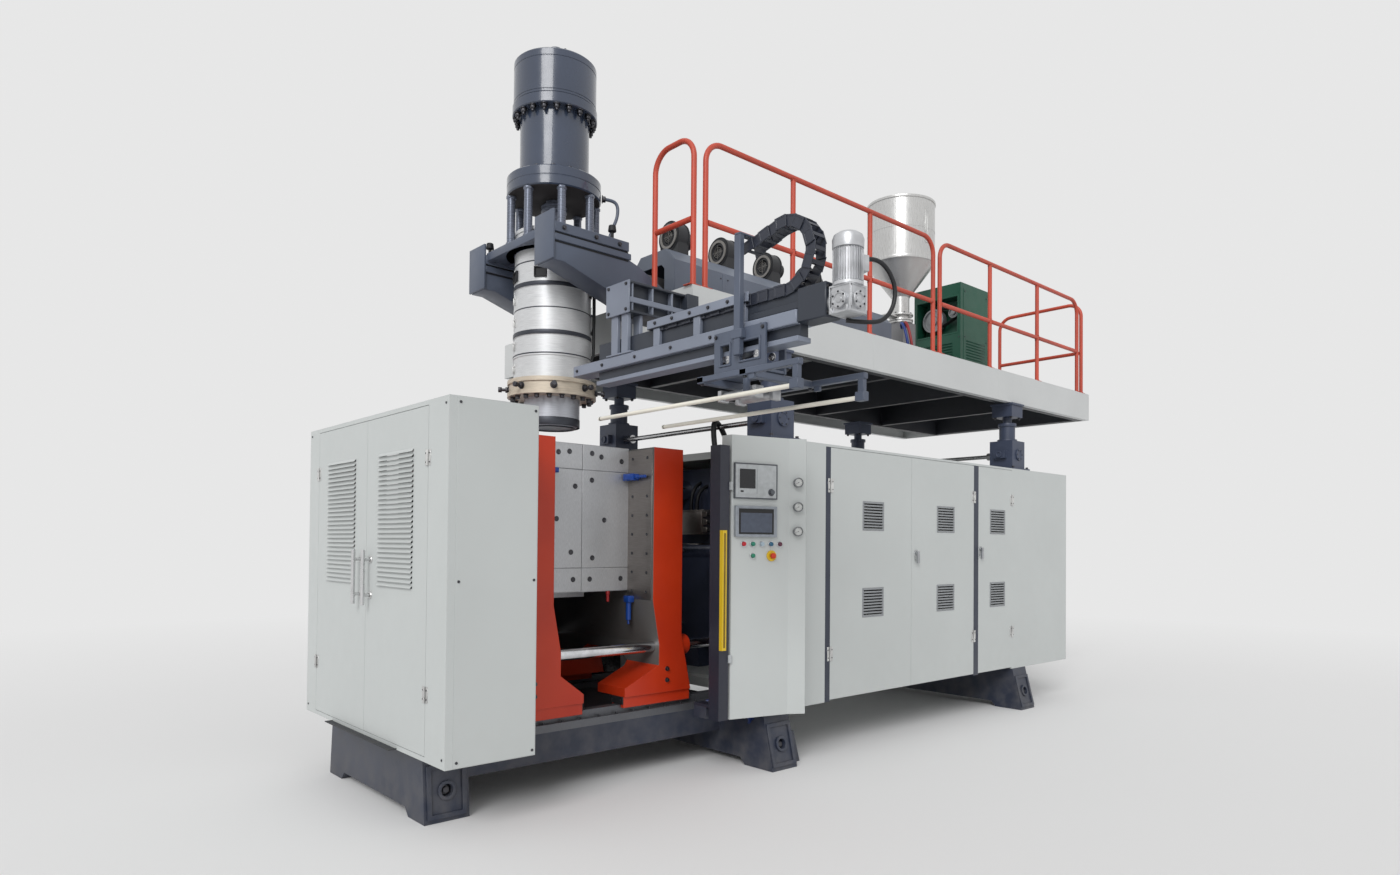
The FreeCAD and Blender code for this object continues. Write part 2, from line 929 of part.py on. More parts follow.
def guard_doors():
    start = guard_door_front + s.louvre_from_hinge
    front = guard_door("guard_door_front", guard_door_front, guard_door_middle - s.door_gap, start,
                       guard_door_middle - s.handle_from_edge)
    start = guard_door_back - s.louvre_from_hinge - s.louvre_width
    rear = guard_door("guard_door_rear", guard_door_middle, guard_door_back, start,
                      guard_door_middle + s.handle_from_edge)
    return front, rear


# ---------------------------------------------------------------- service cabinet

post_a = (s.service_door_a_x - s.post_width, s.service_door_a_x)
post_b = (s.electric_door_x - s.mid_post_width, s.electric_door_x)
opening_top = s.cabinet_top_z - s.sheet_wall
door_low = s.sill_z + s.door_bottom_margin
door_high = opening_top - s.door_gap


def jack_stations():
    """The four lifting points as (name, x, y)."""
    front = s.front_y + s.jack_inset
    stations = []
    for end, x in (("left", s.jack_left_x), ("right", s.jack_right_x)):
        stations.append((end + "_front", x, front))
        stations.append((end + "_back", x, mirrored(front)))
    return stations


def service_cabinet():
    """The long sheet enclosure round the hydraulics and the electric rack."""
    wall = s.sheet_wall
    left, right = s.service_left_x, s.service_right_x
    shell = box("service_shell", (left, right), (s.front_y, back_y), (s.sill_z, s.cabinet_top_z))
    apron = box("service_apron", (s.control_edge_x + s.apron_gap, left + wall),
                (s.front_y, s.front_y + wall), (s.sill_z, s.cabinet_top_z))
    room = box("service_room", (left + wall, right - wall), (s.front_y + wall, back_y - wall),
               (s.sill_z - wall, s.cabinet_top_z - wall))
    doorway = box("service_doorway", (post_a[0], s.electric_hinge_x),
                  (s.front_y - wall, s.front_y + wall), (s.sill_z - wall, opening_top))
    clamp_way = box("clamp_way", (left - wall, left + wall),
                    (s.front_y + s.clamp_way_inset, mirrored(s.front_y + s.clamp_way_inset)),
                    (sill_top, s.clamp_way_top))
    cuts = [room, doorway, clamp_way]
    half = s.jack_column / 2 + s.door_gap
    for name, x, y in jack_stations()[2:]:
        cuts.append(box(name + "_column_way", (x - half, x + half), (y - half, y + half),
                        (opening_top - wall, s.cabinet_top_z + wall)))
    for side, y in (("front", s.front_y + s.sill_inset),
                    ("back", mirrored(s.front_y + s.sill_inset) - s.sill_depth)):
        cuts.append(box(side + "_sill_way", (left - wall, left + wall),
                        (y - s.clearance, y + s.sill_depth + s.clearance),
                        (s.sill_z - wall, sill_top + s.clearance)))
    walls = cut("service_walls", fuse("service_block", shell, apron), *cuts)
    floor = box("service_floor", (left + wall, right - wall),
                (s.front_y + s.post_depth, back_y - wall), (sill_top, sill_top + wall))
    ways = []
    for name, x, y in jack_stations()[2:]:
        ways.append(box(name + "_floor_way", (x - half, x + half), (y - half, y + half),
                        (sill_top - wall, sill_top + 2 * wall)))
    tray = cut("service_tray", floor, *ways)
    return group("service_cabinet", walls, tray)


def door_posts():
    posts = []
    for name, x in (("door_post_left", post_a), ("door_post_right", post_b)):
        posts.append(box(name, x, (s.front_y, s.front_y + s.post_depth), (s.sill_z, opening_top)))
    return group("door_posts", *posts)


def sheet_door(name, start, end, vent_start):
    """A flat tray door with two slotted vents, one above the other."""
    body = new_body(name, 0, s.front_y, 0)
    face = new_sketch(body, "XZ_Plane", name + "_face")
    draw_rectangle(face, (start, end), (door_low, door_high))
    pad(body, face, s.door_skin, name + "_skin", flipped=True)
    rim = new_sketch(body, "XZ_Plane", name + "_rim_outline")
    draw_rectangle(rim, (start, end), (door_low, door_high))
    draw_rectangle(rim, (start + s.door_rim, end - s.door_rim),
                   (door_low + s.door_rim, door_high - s.door_rim))
    pad(body, rim, s.service_door_thickness, name + "_rim", flipped=True)
    slots = new_sketch(body, "XZ_Plane", name + "_slot_outlines")
    for z in (s.vent_low_z, s.vent_high_z):
        draw_rectangle(slots, (vent_start, vent_start + s.vent_width), (z, z + s.vent_slot))
    opening = pocket_through(body, slots, name + "_slots")
    row_of(body, [opening], slots, "V_Axis", s.vent_slat_pitch, s.vent_slats, name + "_vents")
    return body


def door_latch(name, x, z):
    """A swing handle lying against its door."""
    front = s.front_y - s.clearance
    lever = box(name + "_lever", (x - s.latch_width / 2, x + s.latch_width / 2),
                (front - s.latch_depth, front - s.latch_depth / 2),
                (z - s.latch_height, z + s.latch_width / 2))
    hub = rod(name + "_hub", "y", x, (front - s.latch_depth / 2, front), z, s.latch_width / 2)
    return group(name, lever, hub)


# ---------------------------------------------------------------- control door

class Facet:
    """A flat, upright face of the control door, from its left to its right edge."""

    def __init__(self, left_x, left_y, right_x, right_y):
        self.x = left_x
        self.y = left_y
        run_x = right_x - left_x
        run_y = right_y - left_y
        self.length = hypotenuse(run_x, run_y)
        self.along_x = run_x / self.length
        self.along_y = run_y / self.length
        self.angle = heading(run_x, run_y)

    def body(self, name, along, out=0):
        """A body standing on the face, its -Y side looking outward."""
        x = self.x + self.along_x * along + self.along_y * out
        y = self.y + self.along_y * along - self.along_x * out
        body = new_body(name, x, y, 0)
        body.Placement.Rotation = FreeCAD.Rotation(FreeCAD.Vector(0, 0, 1), 1)
        bind(body, "Placement.Rotation.Angle", self.angle)
        return body

    def disc(self, name, along, z, radius, height, out=0, bore=None):
        body = self.body(name, along, out)
        sketch = new_sketch(body, "XZ_Plane", name + "_circle")
        draw_circle(sketch, 0, z, radius)
        if bore is not None:
            draw_circle(sketch, 0, z, bore)
        pad(body, sketch, height, name + "_pad")
        return body

    def slab(self, name, along, z, width, height, depth, out=0):
        body = self.body(name, along, out)
        sketch = new_sketch(body, "XZ_Plane", name + "_rectangle")
        draw_rectangle(sketch, (-width / 2, width / 2), (z - height / 2, z + height / 2))
        pad(body, sketch, depth, name + "_pad")
        return body


panel = Facet(s.control_hinge_x, s.front_y, s.control_nose_x, s.front_y - s.control_nose_out)
side_panel = Facet(s.control_nose_x, s.front_y - s.control_nose_out, s.control_edge_x,
                   s.front_y - s.control_edge_out)
control_high = s.cabinet_top_z - s.control_top_margin
button_places = [s.button_first + s.button_pitch * number for number in range(count(s.button_count))]
bezel_bore = s.button_radius + s.button_play


def control_door():
    """A faceted sheet box, open at the back, with a ring round every button."""
    back = s.front_y + s.control_box_depth
    plan = [
        (s.control_hinge_x, s.front_y),
        (s.control_nose_x, s.front_y - s.control_nose_out),
        (s.control_edge_x, s.front_y - s.control_edge_out),
        (s.control_edge_x, back),
        (s.control_hinge_x, back),
    ]
    body = prism("control_box", "z", s.sill_z, control_high, plan)
    doc.recompute()
    rear = 1 + max(range(len(body.Shape.Faces)),
                   key=lambda index: body.Shape.Faces[index].CenterOfMass.y)
    solid = body.Tip
    feature = body.newObject("PartDesign::Thickness", "control_walls")
    feature.Base = (solid, ["Face%d" % rear])
    feature.Reversed = True
    feature.Join = 1
    bind(feature, "Value", s.door_skin)
    body.Tip = feature
    rings = [body]
    for number, along in enumerate(button_places, start=1):
        rings.append(panel.disc("bezel_%d" % number, along, s.button_row_z, s.bezel_radius,
                                s.bezel_height, bore=bezel_bore))
    rings.append(panel.disc("bezel_6", button_places[1], s.button_low_z, s.bezel_radius,
                            s.bezel_height, bore=bezel_bore))
    rings.append(panel.disc("stop_plate", s.stop_place, s.button_low_z, s.stop_plate_radius,
                            s.bezel_height, bore=s.stop_stem_radius + s.button_play))
    return group("control_door", *rings)


def parison_controller():
    """The upper screen unit, a frame with its display set back in it."""
    width, height = s.screen_frame_width, s.screen_frame_height
    body = panel.body("parison_controller", s.panel_middle)
    z = s.screen_frame_z
    frame = new_sketch(body, "XZ_Plane", "controller_frame_outline")
    draw_rectangle(frame, (-width / 2, width / 2), (z - height / 2, z + height / 2))
    pad(body, frame, s.screen_frame_depth, "controller_frame")
    doc.recompute()
    glass = new_sketch(body, "XZ_Plane", "controller_display_outline")
    draw_rectangle(glass, (s.screen_rim - width / 2, s.screen_width - width / 2),
                   (z - height / 2 + s.screen_rim, z + height / 2 - s.screen_rim))
    pad(body, glass, s.screen_frame_depth + s.screen_proud, "controller_display")
    return body


def push_button(name, along, z, radius, height):
    return panel.disc(name, along, z, radius, height, out=s.button_travel + s.button_rest)


def emergency_stop():
    """A mushroom head on a stem that runs in the yellow plate."""
    body = panel.body("emergency_stop", s.stop_place, s.button_travel + s.button_rest)
    stem = new_sketch(body, "XZ_Plane", "stop_stem_circle")
    draw_circle(stem, 0, s.button_low_z, s.stop_stem_radius)
    pad(body, stem, s.stop_height, "stop_stem")
    doc.recompute()
    head = body.newObject("Sketcher::SketchObject", "stop_head_circle")
    head.AttachmentSupport = [(origin_feature(body, "XZ_Plane"), "")]
    head.MapMode = "FlatFace"
    bind(head, "AttachmentOffset.Base.z", s.stop_height - s.stop_head_height)
    draw_circle(head, 0, s.button_low_z, s.stop_radius)
    pad(body, head, s.stop_head_height, "stop_head")
    return body


def pressure_gauges():
    gauges = []
    for number in range(count(s.gauge_count)):
        gauges.append(side_panel.disc("gauge_%d" % (number + 1), side_panel.length / 2,
                                      s.gauge_top_z - s.gauge_pitch * number,
                                      s.gauge_radius, s.gauge_height))
    return group("pressure_gauges", *gauges)


def light_curtain():
    """The dark post beside the bay, its foot on the sill, with the sensing strip."""
    x = (s.curtain_x, s.curtain_x + s.curtain_width)
    y = (s.front_y, s.front_y + s.curtain_depth)
    sill_back = s.front_y + s.sill_inset + s.sill_depth
    post = box("curtain_post", x, y, (s.sill_z, s.curtain_top))
    foot = box("curtain_foot", x, (y[1], sill_back), (sill_top, sill_top + s.sheet_wall))
    strip = box("curtain_strip", (x[0], x[0] + s.strip_width), (y[0] - s.strip_depth, y[0]),
                (s.strip_bottom, s.strip_top))
    return group("light_curtain", fuse("curtain_stand", post, foot), strip)


# ---------------------------------------------------------------- clamp

platen_front = s.centre_y - s.platen_half_depth
platen_back = s.centre_y + s.platen_half_depth
tie_front_y = platen_front + s.tie_bar_inset
tie_back_y = mirrored(tie_front_y)
upper_tie_y = platen_back - s.upper_tie_inset
TIE_BARS = (
    ("lower_front", tie_front_y, s.tie_bar_z, s.tie_bar_radius),
    ("lower_back", tie_back_y, s.tie_bar_z, s.tie_bar_radius),
    ("upper_back", upper_tie_y, s.upper_tie_z, s.upper_tie_radius),
)
left_inner = s.head_x - s.mould_thickness
left_outer = left_inner - s.platen_thickness
right_inner = s.head_x + s.mould_thickness
right_outer = right_inner + s.platen_thickness


def platen(name, outer, inner, way, waist):
    """A cast platen: upright plate, curving into two feet with an arch between them.

    way is +1 where the mould is on the +X side and -1 where it is on the -X side."""
    low = s.platen_bottom
    body = new_body(name + "_casting", 0, platen_front, 0)
    side = new_sketch(body, "XZ_Plane", name + "_side")
    draw_outline(side, [
        (outer, s.platen_top),
        (inner, s.platen_top),
        (inner, s.waist_top),
        (inner + waist, s.waist_low),
        (inner + waist, s.toe_knee),
        (inner + way * s.platen_toe, low + s.toe_height),
        (inner + way * s.platen_toe, low),
        (outer - way * s.platen_heel, low),
        (outer, s.heel_top),
    ])
    pad(body, side, 2 * s.platen_half_depth, name + "_plate", flipped=True)
    arch = new_sketch(body, "YZ_Plane", name + "_arch_outline")
    middle = s.platen_half_depth
    draw_outline(arch, [
        (middle - s.arch_half_width, low - s.toe_height),
        (middle + s.arch_half_width, low - s.toe_height),
        (middle + s.arch_half_width, s.arch_shoulder),
        (middle + s.arch_half_width / 2, s.arch_top),
        (middle - s.arch_half_width / 2, s.arch_top),
        (middle - s.arch_half_width, s.arch_shoulder),
    ])
    pocket_through(body, arch, name + "_arch")
    solids = [body]
    for bar, y, z, radius in TIE_BARS:
        boss = outer - way * s.tie_boss_length
        x = (boss, outer) if way > 0 else (outer, boss)
        solids.append(rod(name + "_boss_" + bar, "x", x, y, z, radius + s.tie_boss_wall))
    cuts = []
    for bar, y, z, radius in TIE_BARS:
        far = outer - way * (s.tie_boss_length + s.platen_heel)
        near = inner + way * s.platen_toe
        x = (far, near) if way > 0 else (near, far)
        cuts.append(rod(name + "_bore_" + bar, "x", x, y, z, radius + s.tie_play))
    pocket_end = outer + way * s.rib_pocket_depth
    x = (outer, pocket_end) if way > 0 else (pocket_end, outer)
    for row in range(count(s.rib_rows)):
        for column in range(count(s.rib_columns)):
            y = platen_front + s.rib_edge + column * (s.rib_pocket_width + s.rib_wall)
            z = s.rib_bottom + row * (s.rib_pocket_height + s.rib_wall)
            cuts.append(box("%s_pocket_%d_%d" % (name, row, column), x,
                            (y, y + s.rib_pocket_width), (z, z + s.rib_pocket_height)))
    casting = cut(name + "_machined", fuse(name + "_cast", *solids), *cuts)
    shoes = []
    rail_y = s.front_y + s.rail_beam_inset + s.rail_beam_depth / 2
    heel = outer - way * s.platen_heel
    toe = inner + way * s.platen_toe
    x = (heel, toe) if way > 0 else (toe, heel)
    for end, y in (("front", rail_y), ("back", mirrored(rail_y))):
        half = s.shoe_width / 2
        shoe = box("%s_shoe_%s" % (name, end), x, (y - half, y + half),
                   (rail_top - s.shoe_lip, low))
        way_half = s.rail_width / 2 + s.clearance
        slot = box("%s_slot_%s" % (name, end), (x[0] - s.shoe_lip, x[1] + s.shoe_lip),
                   (y - way_half, y + way_half), (rail_top - 2 * s.shoe_lip, rail_top + s.clearance))
        shoes.append(cut("%s_slide_%s" % (name, end), shoe, slot))
    return group(name, casting, *shoes)


def mould_half(name, side):
    """One half of the mould, with half of the bottle cavity in its parting face."""
    near = s.head_x + side * s.mould_split / 2
    far = s.head_x + side * s.mould_thickness
    x = (near, far) if side > 0 else (far, near)
    y = (s.centre_y - s.mould_half_depth, s.centre_y + s.mould_half_depth)
    block = box(name + "_block", x, y, (s.mould_bottom, s.mould_top))
    sub_far = s.head_x + side * s.sub_block_reach
    x = (near, sub_far) if side > 0 else (sub_far, near)
    sub_y = (s.centre_y - s.sub_block_half, s.centre_y + s.sub_block_half)
    sub = box(name + "_sub_block", x, sub_y, (s.mould_bottom - s.sub_block_height, s.mould_bottom))
    radius, neck = s.cavity_radius, s.neck_radius
    low = s.cavity_z
    high = s.cavity_z + s.cavity_height
    cavity = turned(name + "_cavity", s.head_x, s.centre_y, 0, [
        (0, low),
        (radius - s.cavity_corner, low),
        (radius, low + s.cavity_corner),
        (radius, high),
        (neck, high + radius - neck),
        (neck, s.mould_top + s.cavity_corner),
        (0, s.mould_top + s.cavity_corner),
    ])
    return cut(name, fuse(name + "_solid", block, sub), cavity)


def tie_bars():
    bars = []
    left_nut = left_outer - s.tie_boss_length
    right_nut = s.back_platen_x + s.back_platen_thickness
    for name, y, z, radius in TIE_BARS:
        bar = rod("tie_bar_" + name, "x", (left_nut - s.tie_nut_length, right_nut + s.tie_nut_length),
                  y, z, radius)
        nut = radius + s.tie_nut_wall
        near = rod("tie_nut_left_" + name, "x", (left_nut - s.tie_nut_length, left_nut), y, z, nut)
        far = rod("tie_nut_right_" + name, "x", (right_nut, right_nut + s.tie_nut_length), y, z, nut)
        bars.append(fuse("tie_rod_" + name, bar, near, far))
    return group("tie_bars", *bars)


def back_platen():
    """The rear plate of the clamp with the hydraulic barrel bolted behind it."""
    x = (s.back_platen_x, s.back_platen_x + s.back_platen_thickness)
    low = rail_top + s.clearance
    plate = box("back_plate", x, (platen_front, platen_back), (low, s.platen_top))
    barrel_end = x[1] + s.clamp_barrel_length
    barrel = rod("clamp_barrel", "x", (x[1], barrel_end), s.centre_y, s.clamp_z,
                 s.clamp_barrel_radius)
    flange = rod("clamp_barrel_flange", "x", (x[1], x[1] + s.clamp_flange), s.centre_y, s.clamp_z,
                 s.clamp_barrel_radius + s.clamp_flange)
    bore = rod("clamp_bore", "x", (x[0] - s.clamp_flange, barrel_end - s.clamp_flange), s.centre_y,
               s.clamp_z, s.clamp_rod_radius + s.tie_play)
    cuts = [bore]
    for name, y, z, radius in TIE_BARS:
        cuts.append(rod("back_bore_" + name, "x", (x[0] - s.clamp_flange, x[1] + s.clamp_flange),
                        y, z, radius + s.tie_play))
    arch = box("back_arch", (x[0] - s.clamp_flange, x[1] + s.clamp_flange),
               (s.centre_y - s.arch_half_width, s.centre_y + s.arch_half_width),
               (low - s.toe_height, s.arch_shoulder))
    return cut("back_platen", fuse("back_block", plate, barrel, flange), arch, *cuts)


def clamp_rod():
    reach = s.back_platen_x + s.back_platen_thickness + s.clamp_rod_overlap
    bar = rod("clamp_ram", "x", (right_outer, reach), s.centre_y, s.clamp_z, s.clamp_rod_radius)
    collar = rod("clamp_ram_collar", "x", (right_outer, right_outer + s.clamp_flange), s.centre_y,
                 s.clamp_z, s.clamp_rod_radius + s.clamp_flange)
    return fuse("clamp_rod", bar, collar)


# ---------------------------------------------------------------- screw jacks

def jack_columns():
    """Four hollow posts standing on the sills, with the jacks on their tops."""
    half = s.jack_column / 2
    inner = half - s.jack_column_wall
    columns = []
    for name, x, y in jack_stations():
        post = box(name + "_column_block", (x - half, x + half), (y - half, y + half),
                   (sill_top, s.cabinet_top_z))
        room = box(name + "_column_room", (x - inner, x + inner), (y - inner, y + inner),
                   (sill_top - half, s.cabinet_top_z + half))
        columns.append(cut(name + "_column", post, room))
    return group("jack_columns", *columns)


def screw_jacks():
    """The four jack housings, each with its guide tube, bolted to the columns."""
    half = s.jack_body / 2
    housings = []
    for name, x, y in jack_stations():
        body = box(name + "_jack_body", (x - half, x + half), (y - half, y + half),
                   (s.cabinet_top_z, s.jack_body_top))
        ear = half + s.jack_ear
        ears = box(name + "_jack_ears", (x - ear, x + ear), (y - half / 2, y + half / 2),
                   (s.jack_shaft_z - s.jack_ear, s.jack_shaft_z + s.jack_ear))
        tube = rod(name + "_jack_tube", "z", x, y, (s.jack_body_top, s.jack_tube_top),
                   s.jack_tube_radius)
        bore = rod(name + "_jack_bore", "z", x, y, (s.cabinet_top_z - half, s.jack_tube_top + half),
                   s.jack_screw_radius + s.tie_play)
        housings.append(cut(name + "_jack", fuse(name + "_jack_block", body, ears, tube), bore))
    return group("screw_jacks", *housings)


def jack_screws():
    """The screws that carry the platform, each with its pad."""
    screws = []
    half = s.jack_pad / 2
    pad_bottom = s.platform_bottom - s.jack_pad_height
    for name, x, y in jack_stations():
        head = box(name + "_pad", (x - half, x + half), (y - half, y + half),
                   (pad_bottom, s.platform_bottom))
        screw = rod(name + "_screw", "z", x, y, (s.jack_screw_bottom, pad_bottom),
                    s.jack_screw_radius)
        screws.append(fuse(name + "_jack_screw", head, screw))
    return group("jack_screws", *screws)


def cross_shaft(name, x):
    """The shaft that turns a front and a back jack together, with its two couplings."""
    half = s.jack_body / 2 + s.clearance
    front = s.front_y + s.jack_inset + half
    back = mirrored(front)
    shaft = rod(name + "_bar", "y", x, (front, back), s.jack_shaft_z, s.cross_shaft_radius)
    solids = [shaft]
    for end, y in (("front", front), ("back", back - s.coupling_length)):
        solids.append(rod(name + "_coupling_" + end, "y", x, (y, y + s.coupling_length),
                          s.jack_shaft_z, s.coupling_radius))
    return fuse(name, *solids)


# ---------------------------------------------------------------- platform

def platform_frame():
    """The lifting platform: a rim of deep channels and the deck plates."""
    x = (s.platform_left_x, s.platform_right_x)
    y = (s.platform_front_y, s.platform_back_y)
    z = (s.platform_bottom, s.platform_top)
    rim = s.platform_fascia
    block = box("platform_block", x, y, z)
    room = box("platform_room", (x[0] + rim, x[1] - rim), (y[0] + rim, y[1] - rim),
               (z[0] - rim, z[1] - s.deck_plate))
    lip = box("platform_lip", (x[0] + rim, x[1] - rim), (y[0] + rim, y[1] - rim),
              (z[0], z[0] + s.deck_plate))
    lip_room = box("platform_lip_room", (x[0], x[1]),
                   (y[0] + s.platform_lip, y[1] - s.platform_lip),
                   (z[0] - rim, z[0] + 2 * rim))
    return group("platform_frame", cut("platform_shell", block, room),
                 cut("platform_flange", lip, lip_room))


def platform_joists():
    """Beams under the deck: two long ones over the jacks and cross joists between them."""
    rim = s.platform_fascia
    x = (s.platform_left_x + rim, s.platform_right_x - rim)
    z = (s.platform_bottom + s.deck_plate, s.platform_top - s.deck_plate)
    front = s.front_y + s.jack_inset
    half = s.joist_width / 2
    joists = []
    for name, y in (("front_bearer", front), ("back_bearer", mirrored(front))):
        joists.append(box(name, x, (y - half, y + half), (s.platform_bottom, z[1])))
    pitch = (x[1] - x[0] - s.joist_width) / (s.joist_count - 1)
    for number in range(count(s.joist_count)):
        start = x[0] + pitch * number
        joists.append(box("cross_joist_%d" % (number + 1), (start, start + s.joist_width),
                          (front + half, mirrored(front) - half), z))
    return group("platform_joists", *joists)


def hoop(name, x, y, foot_z, span, height, along):
    """A bent rail: up from one foot, along the top and down to the other."""
    body = new_body(name, x, y, foot_z)
    role = "XZ_Plane" if along == "x" else "YZ_Plane"
    path = new_sketch(body, role, name + "_path")
    bend = s.rail_bend
    points = [
        (Size.of(0), Size.of(0)),
        (Size.of(0), height - bend),
        (bend, height),
        (span - bend, height),
        (span, height - bend),
        (span, Size.of(0)),
    ]
    v = [FreeCAD.Vector(a.value, b.value, 0) for a, b in points]
    reach = bend.value
    normal = FreeCAD.Vector(0, 0, 1)
    left = Part.Circle(FreeCAD.Vector(reach, v[1].y, 0), normal, reach)
    right = Part.Circle(FreeCAD.Vector(v[3].x, v[4].y, 0), normal, reach)
    pieces = [
        Part.LineSegment(v[0], v[1]),
        Part.ArcOfCircle(left, math.pi / 2, math.pi),
        Part.LineSegment(v[2], v[3]),
        Part.ArcOfCircle(right, 0, math.pi / 2),
        Part.LineSegment(v[4], v[5]),
    ]
    rise, left_arc, top, right_arc, fall = path.addGeometry(pieces, False)
    ties = [
        Sketcher.Constraint("Tangent", rise, 2, left_arc, 2),
        Sketcher.Constraint("Tangent", left_arc, 1, top, 1),
        Sketcher.Constraint("Tangent", top, 2, right_arc, 2),
        Sketcher.Constraint("Tangent", right_arc, 1, fall, 1),
    ]
    path.addConstraint(ties)
    for line, end, (u, w) in ((rise, 1, points[0]), (rise, 2, points[1]), (top, 2, points[3]),
                              (fall, 2, points[5])):
        fix_point(path, line, end, u, w)
    profile = new_sketch(body, "XY_Plane", name + "_ring")
    draw_circle(profile, 0, 0, s.rail_radius)
    doc.recompute()
    pipe = body.newObject("PartDesign::AdditivePipe", name + "_tube")
    pipe.Profile = profile
    pipe.Spine = (path, [])
    body.Tip = pipe
    return body


def railings():
    """Tube rails along the front of the platform and round both front corners."""
    y = s.platform_front_y + s.rail_inset
    foot = s.platform_top
    height = s.rail_top_z - s.platform_top
    gap = s.rail_panel_gap
    left = s.platform_left_x + s.rail_inset
    panel_a = left + gap
    panel_b = s.rail_panel_end + gap
    r = s.rail_radius
    mid = s.rail_mid_z
    tubes = [
        hoop("rail_panel_a", panel_a, y, foot, s.rail_panel_end - panel_a, height, "x"),
        hoop("rail_panel_b", panel_b, y, foot, s.rail_right_x - gap - panel_b, height, "x"),
        hoop("rail_panel_left", left, y, foot, s.rail_left_return, height, "y"),
        hoop("rail_panel_right", s.rail_right_x, y, foot, s.rail_right_return, height, "y"),
        rod("mid_rail_left", "y", left, (y + r, y + s.rail_left_return - r), mid, r),
        rod("mid_rail_right", "y", s.rail_right_x, (y + r, y + s.rail_right_return - r), mid, r),
    ]
    bays = ((panel_a, s.rail_post_a, s.rail_post_b, Size.of(s.rail_panel_end)),
            (panel_b, s.rail_post_c, s.rail_post_d, s.rail_right_x - gap))
    for bay, stations in zip("ab", bays):
        for number, (start, end) in enumerate(zip(stations, stations[1:]), start=1):
            tubes.append(rod("mid_rail_%s%d" % (bay, number), "x", (start + r, end - r), y, mid, r))
        for number, x in enumerate(stations[1:-1], start=1):
            tubes.append(rod("rail_post_%s%d" % (bay, number), "z", x, y,
                             (foot, s.rail_top_z - r), r))
    return group("railings", *tubes)


# ---------------------------------------------------------------- head and its support

arm_outer = s.arm_half_spacing + s.arm_thickness / 2


def head_support():
    """Two box arms standing on the platform, with the plate that the head hangs from."""
    foot_x = s.platform_left_x + s.arm_foot_length
    side = [
        (s.arm_left_x, s.arm_top_z),
        (s.arm_left_x, s.arm_nose_z),
        (s.arm_deep_x, s.arm_deep_z),
        (s.platform_left_x, s.arm_deep_z),
        (s.platform_left_x, s.platform_top),
        (foot_x, s.platform_top),
        (foot_x, s.arm_foot_top),
        (s.platform_left_x + s.arm_brow, s.arm_foot_top),
        (s.platform_left_x - s.arm_brow, s.arm_top_z),
    ]
    arms = []
    for name, sign in (("front", -1), ("back", 1)):
        y0 = s.centre_y + sign * s.arm_half_spacing - s.arm_thickness / 2
        arm = prism("arm_" + name, "y", y0, y0 + s.arm_thickness, side)
        cap = box("arm_cap_" + name, (s.arm_left_x - s.arm_wall, s.arm_left_x),
                  (y0 - s.arm_wall, y0 + s.arm_thickness + s.arm_wall),
                  (s.arm_nose_z - s.arm_wall, s.arm_top_z + 2 * s.arm_wall))
        arms.append(arm)
        arms.append(cap)
    plate_half = s.arm_plate_length / 2
    plate = box("head_plate_blank", (s.head_x - plate_half, s.head_x + plate_half),
                (s.centre_y - arm_outer, s.centre_y + arm_outer),
                (s.arm_top_z, head_plate_top))
    hole = rod("head_plate_hole", "z", s.head_x, s.centre_y,
               (s.arm_top_z - s.arm_wall, head_plate_top + s.arm_wall),
               s.shroud_radius + s.clearance)
    columns = []
    for number in range(count(s.head_column_count)):
        angle = math.radians(360.0 * (number + 0.5) / s.head_column_count.value)
        x = s.head_x + s.head_column_circle * math.cos(angle)
        y = s.centre_y + s.head_column_circle * math.sin(angle)
        columns.append(rod("head_column_%d" % (number + 1), "z", x, y,
                           (head_plate_top, ram_flange_bottom), s.head_column_radius))
    return group("head_support", cut("head_plate", plate, hole), *arms, *columns)


head_plate_top = s.arm_top_z + s.arm_plate_height
ram_flange_bottom = s.ram_flange_bottom
ram_disc_top = ram_flange_bottom + s.ram_disc_height


def accumulator_head():
    """The heated accumulator: a banded shroud that hangs through the support plate."""
    r = s.shroud_radius
    b = s.shroud_band_radius
    h = s.band_height
    points = [(0, collar_top), (r, collar_top)]
    for z in (s.band_c_z, s.band_a_z, s.band_b_z):
        points += [(r, z), (b, z), (b, z + h), (r, z + h)]
    points += [
        (r, head_plate_top),
        (s.head_lip_radius, head_plate_top),
        (s.head_lip_radius, head_plate_top + s.head_lip_height),
        (s.head_core_radius, head_plate_top + s.head_lip_height),
        (s.head_core_radius, s.head_core_top),
        (s.ram_rod_radius + s.tie_play, s.head_core_top),
        (s.ram_rod_radius + s.tie_play, s.plunger_bore_bottom),
        (0, s.plunger_bore_bottom),
    ]
    return turned("accumulator_head", s.head_x, s.centre_y, 0, points)


collar_top = s.collar_bottom + s.collar_height
die_top = s.collar_bottom


def head_flange():
    r = s.collar_radius
    step = s.collar_step
    return turned("head_flange", s.head_x, s.centre_y, 0, [
        (0, s.collar_bottom),
        (r, s.collar_bottom),
        (r, s.collar_bottom + step),
        (r - s.collar_groove, s.collar_bottom + step),
        (r - s.collar_groove, collar_top - step),
        (r, collar_top - step),
        (r, collar_top),
        (0, collar_top),
    ])


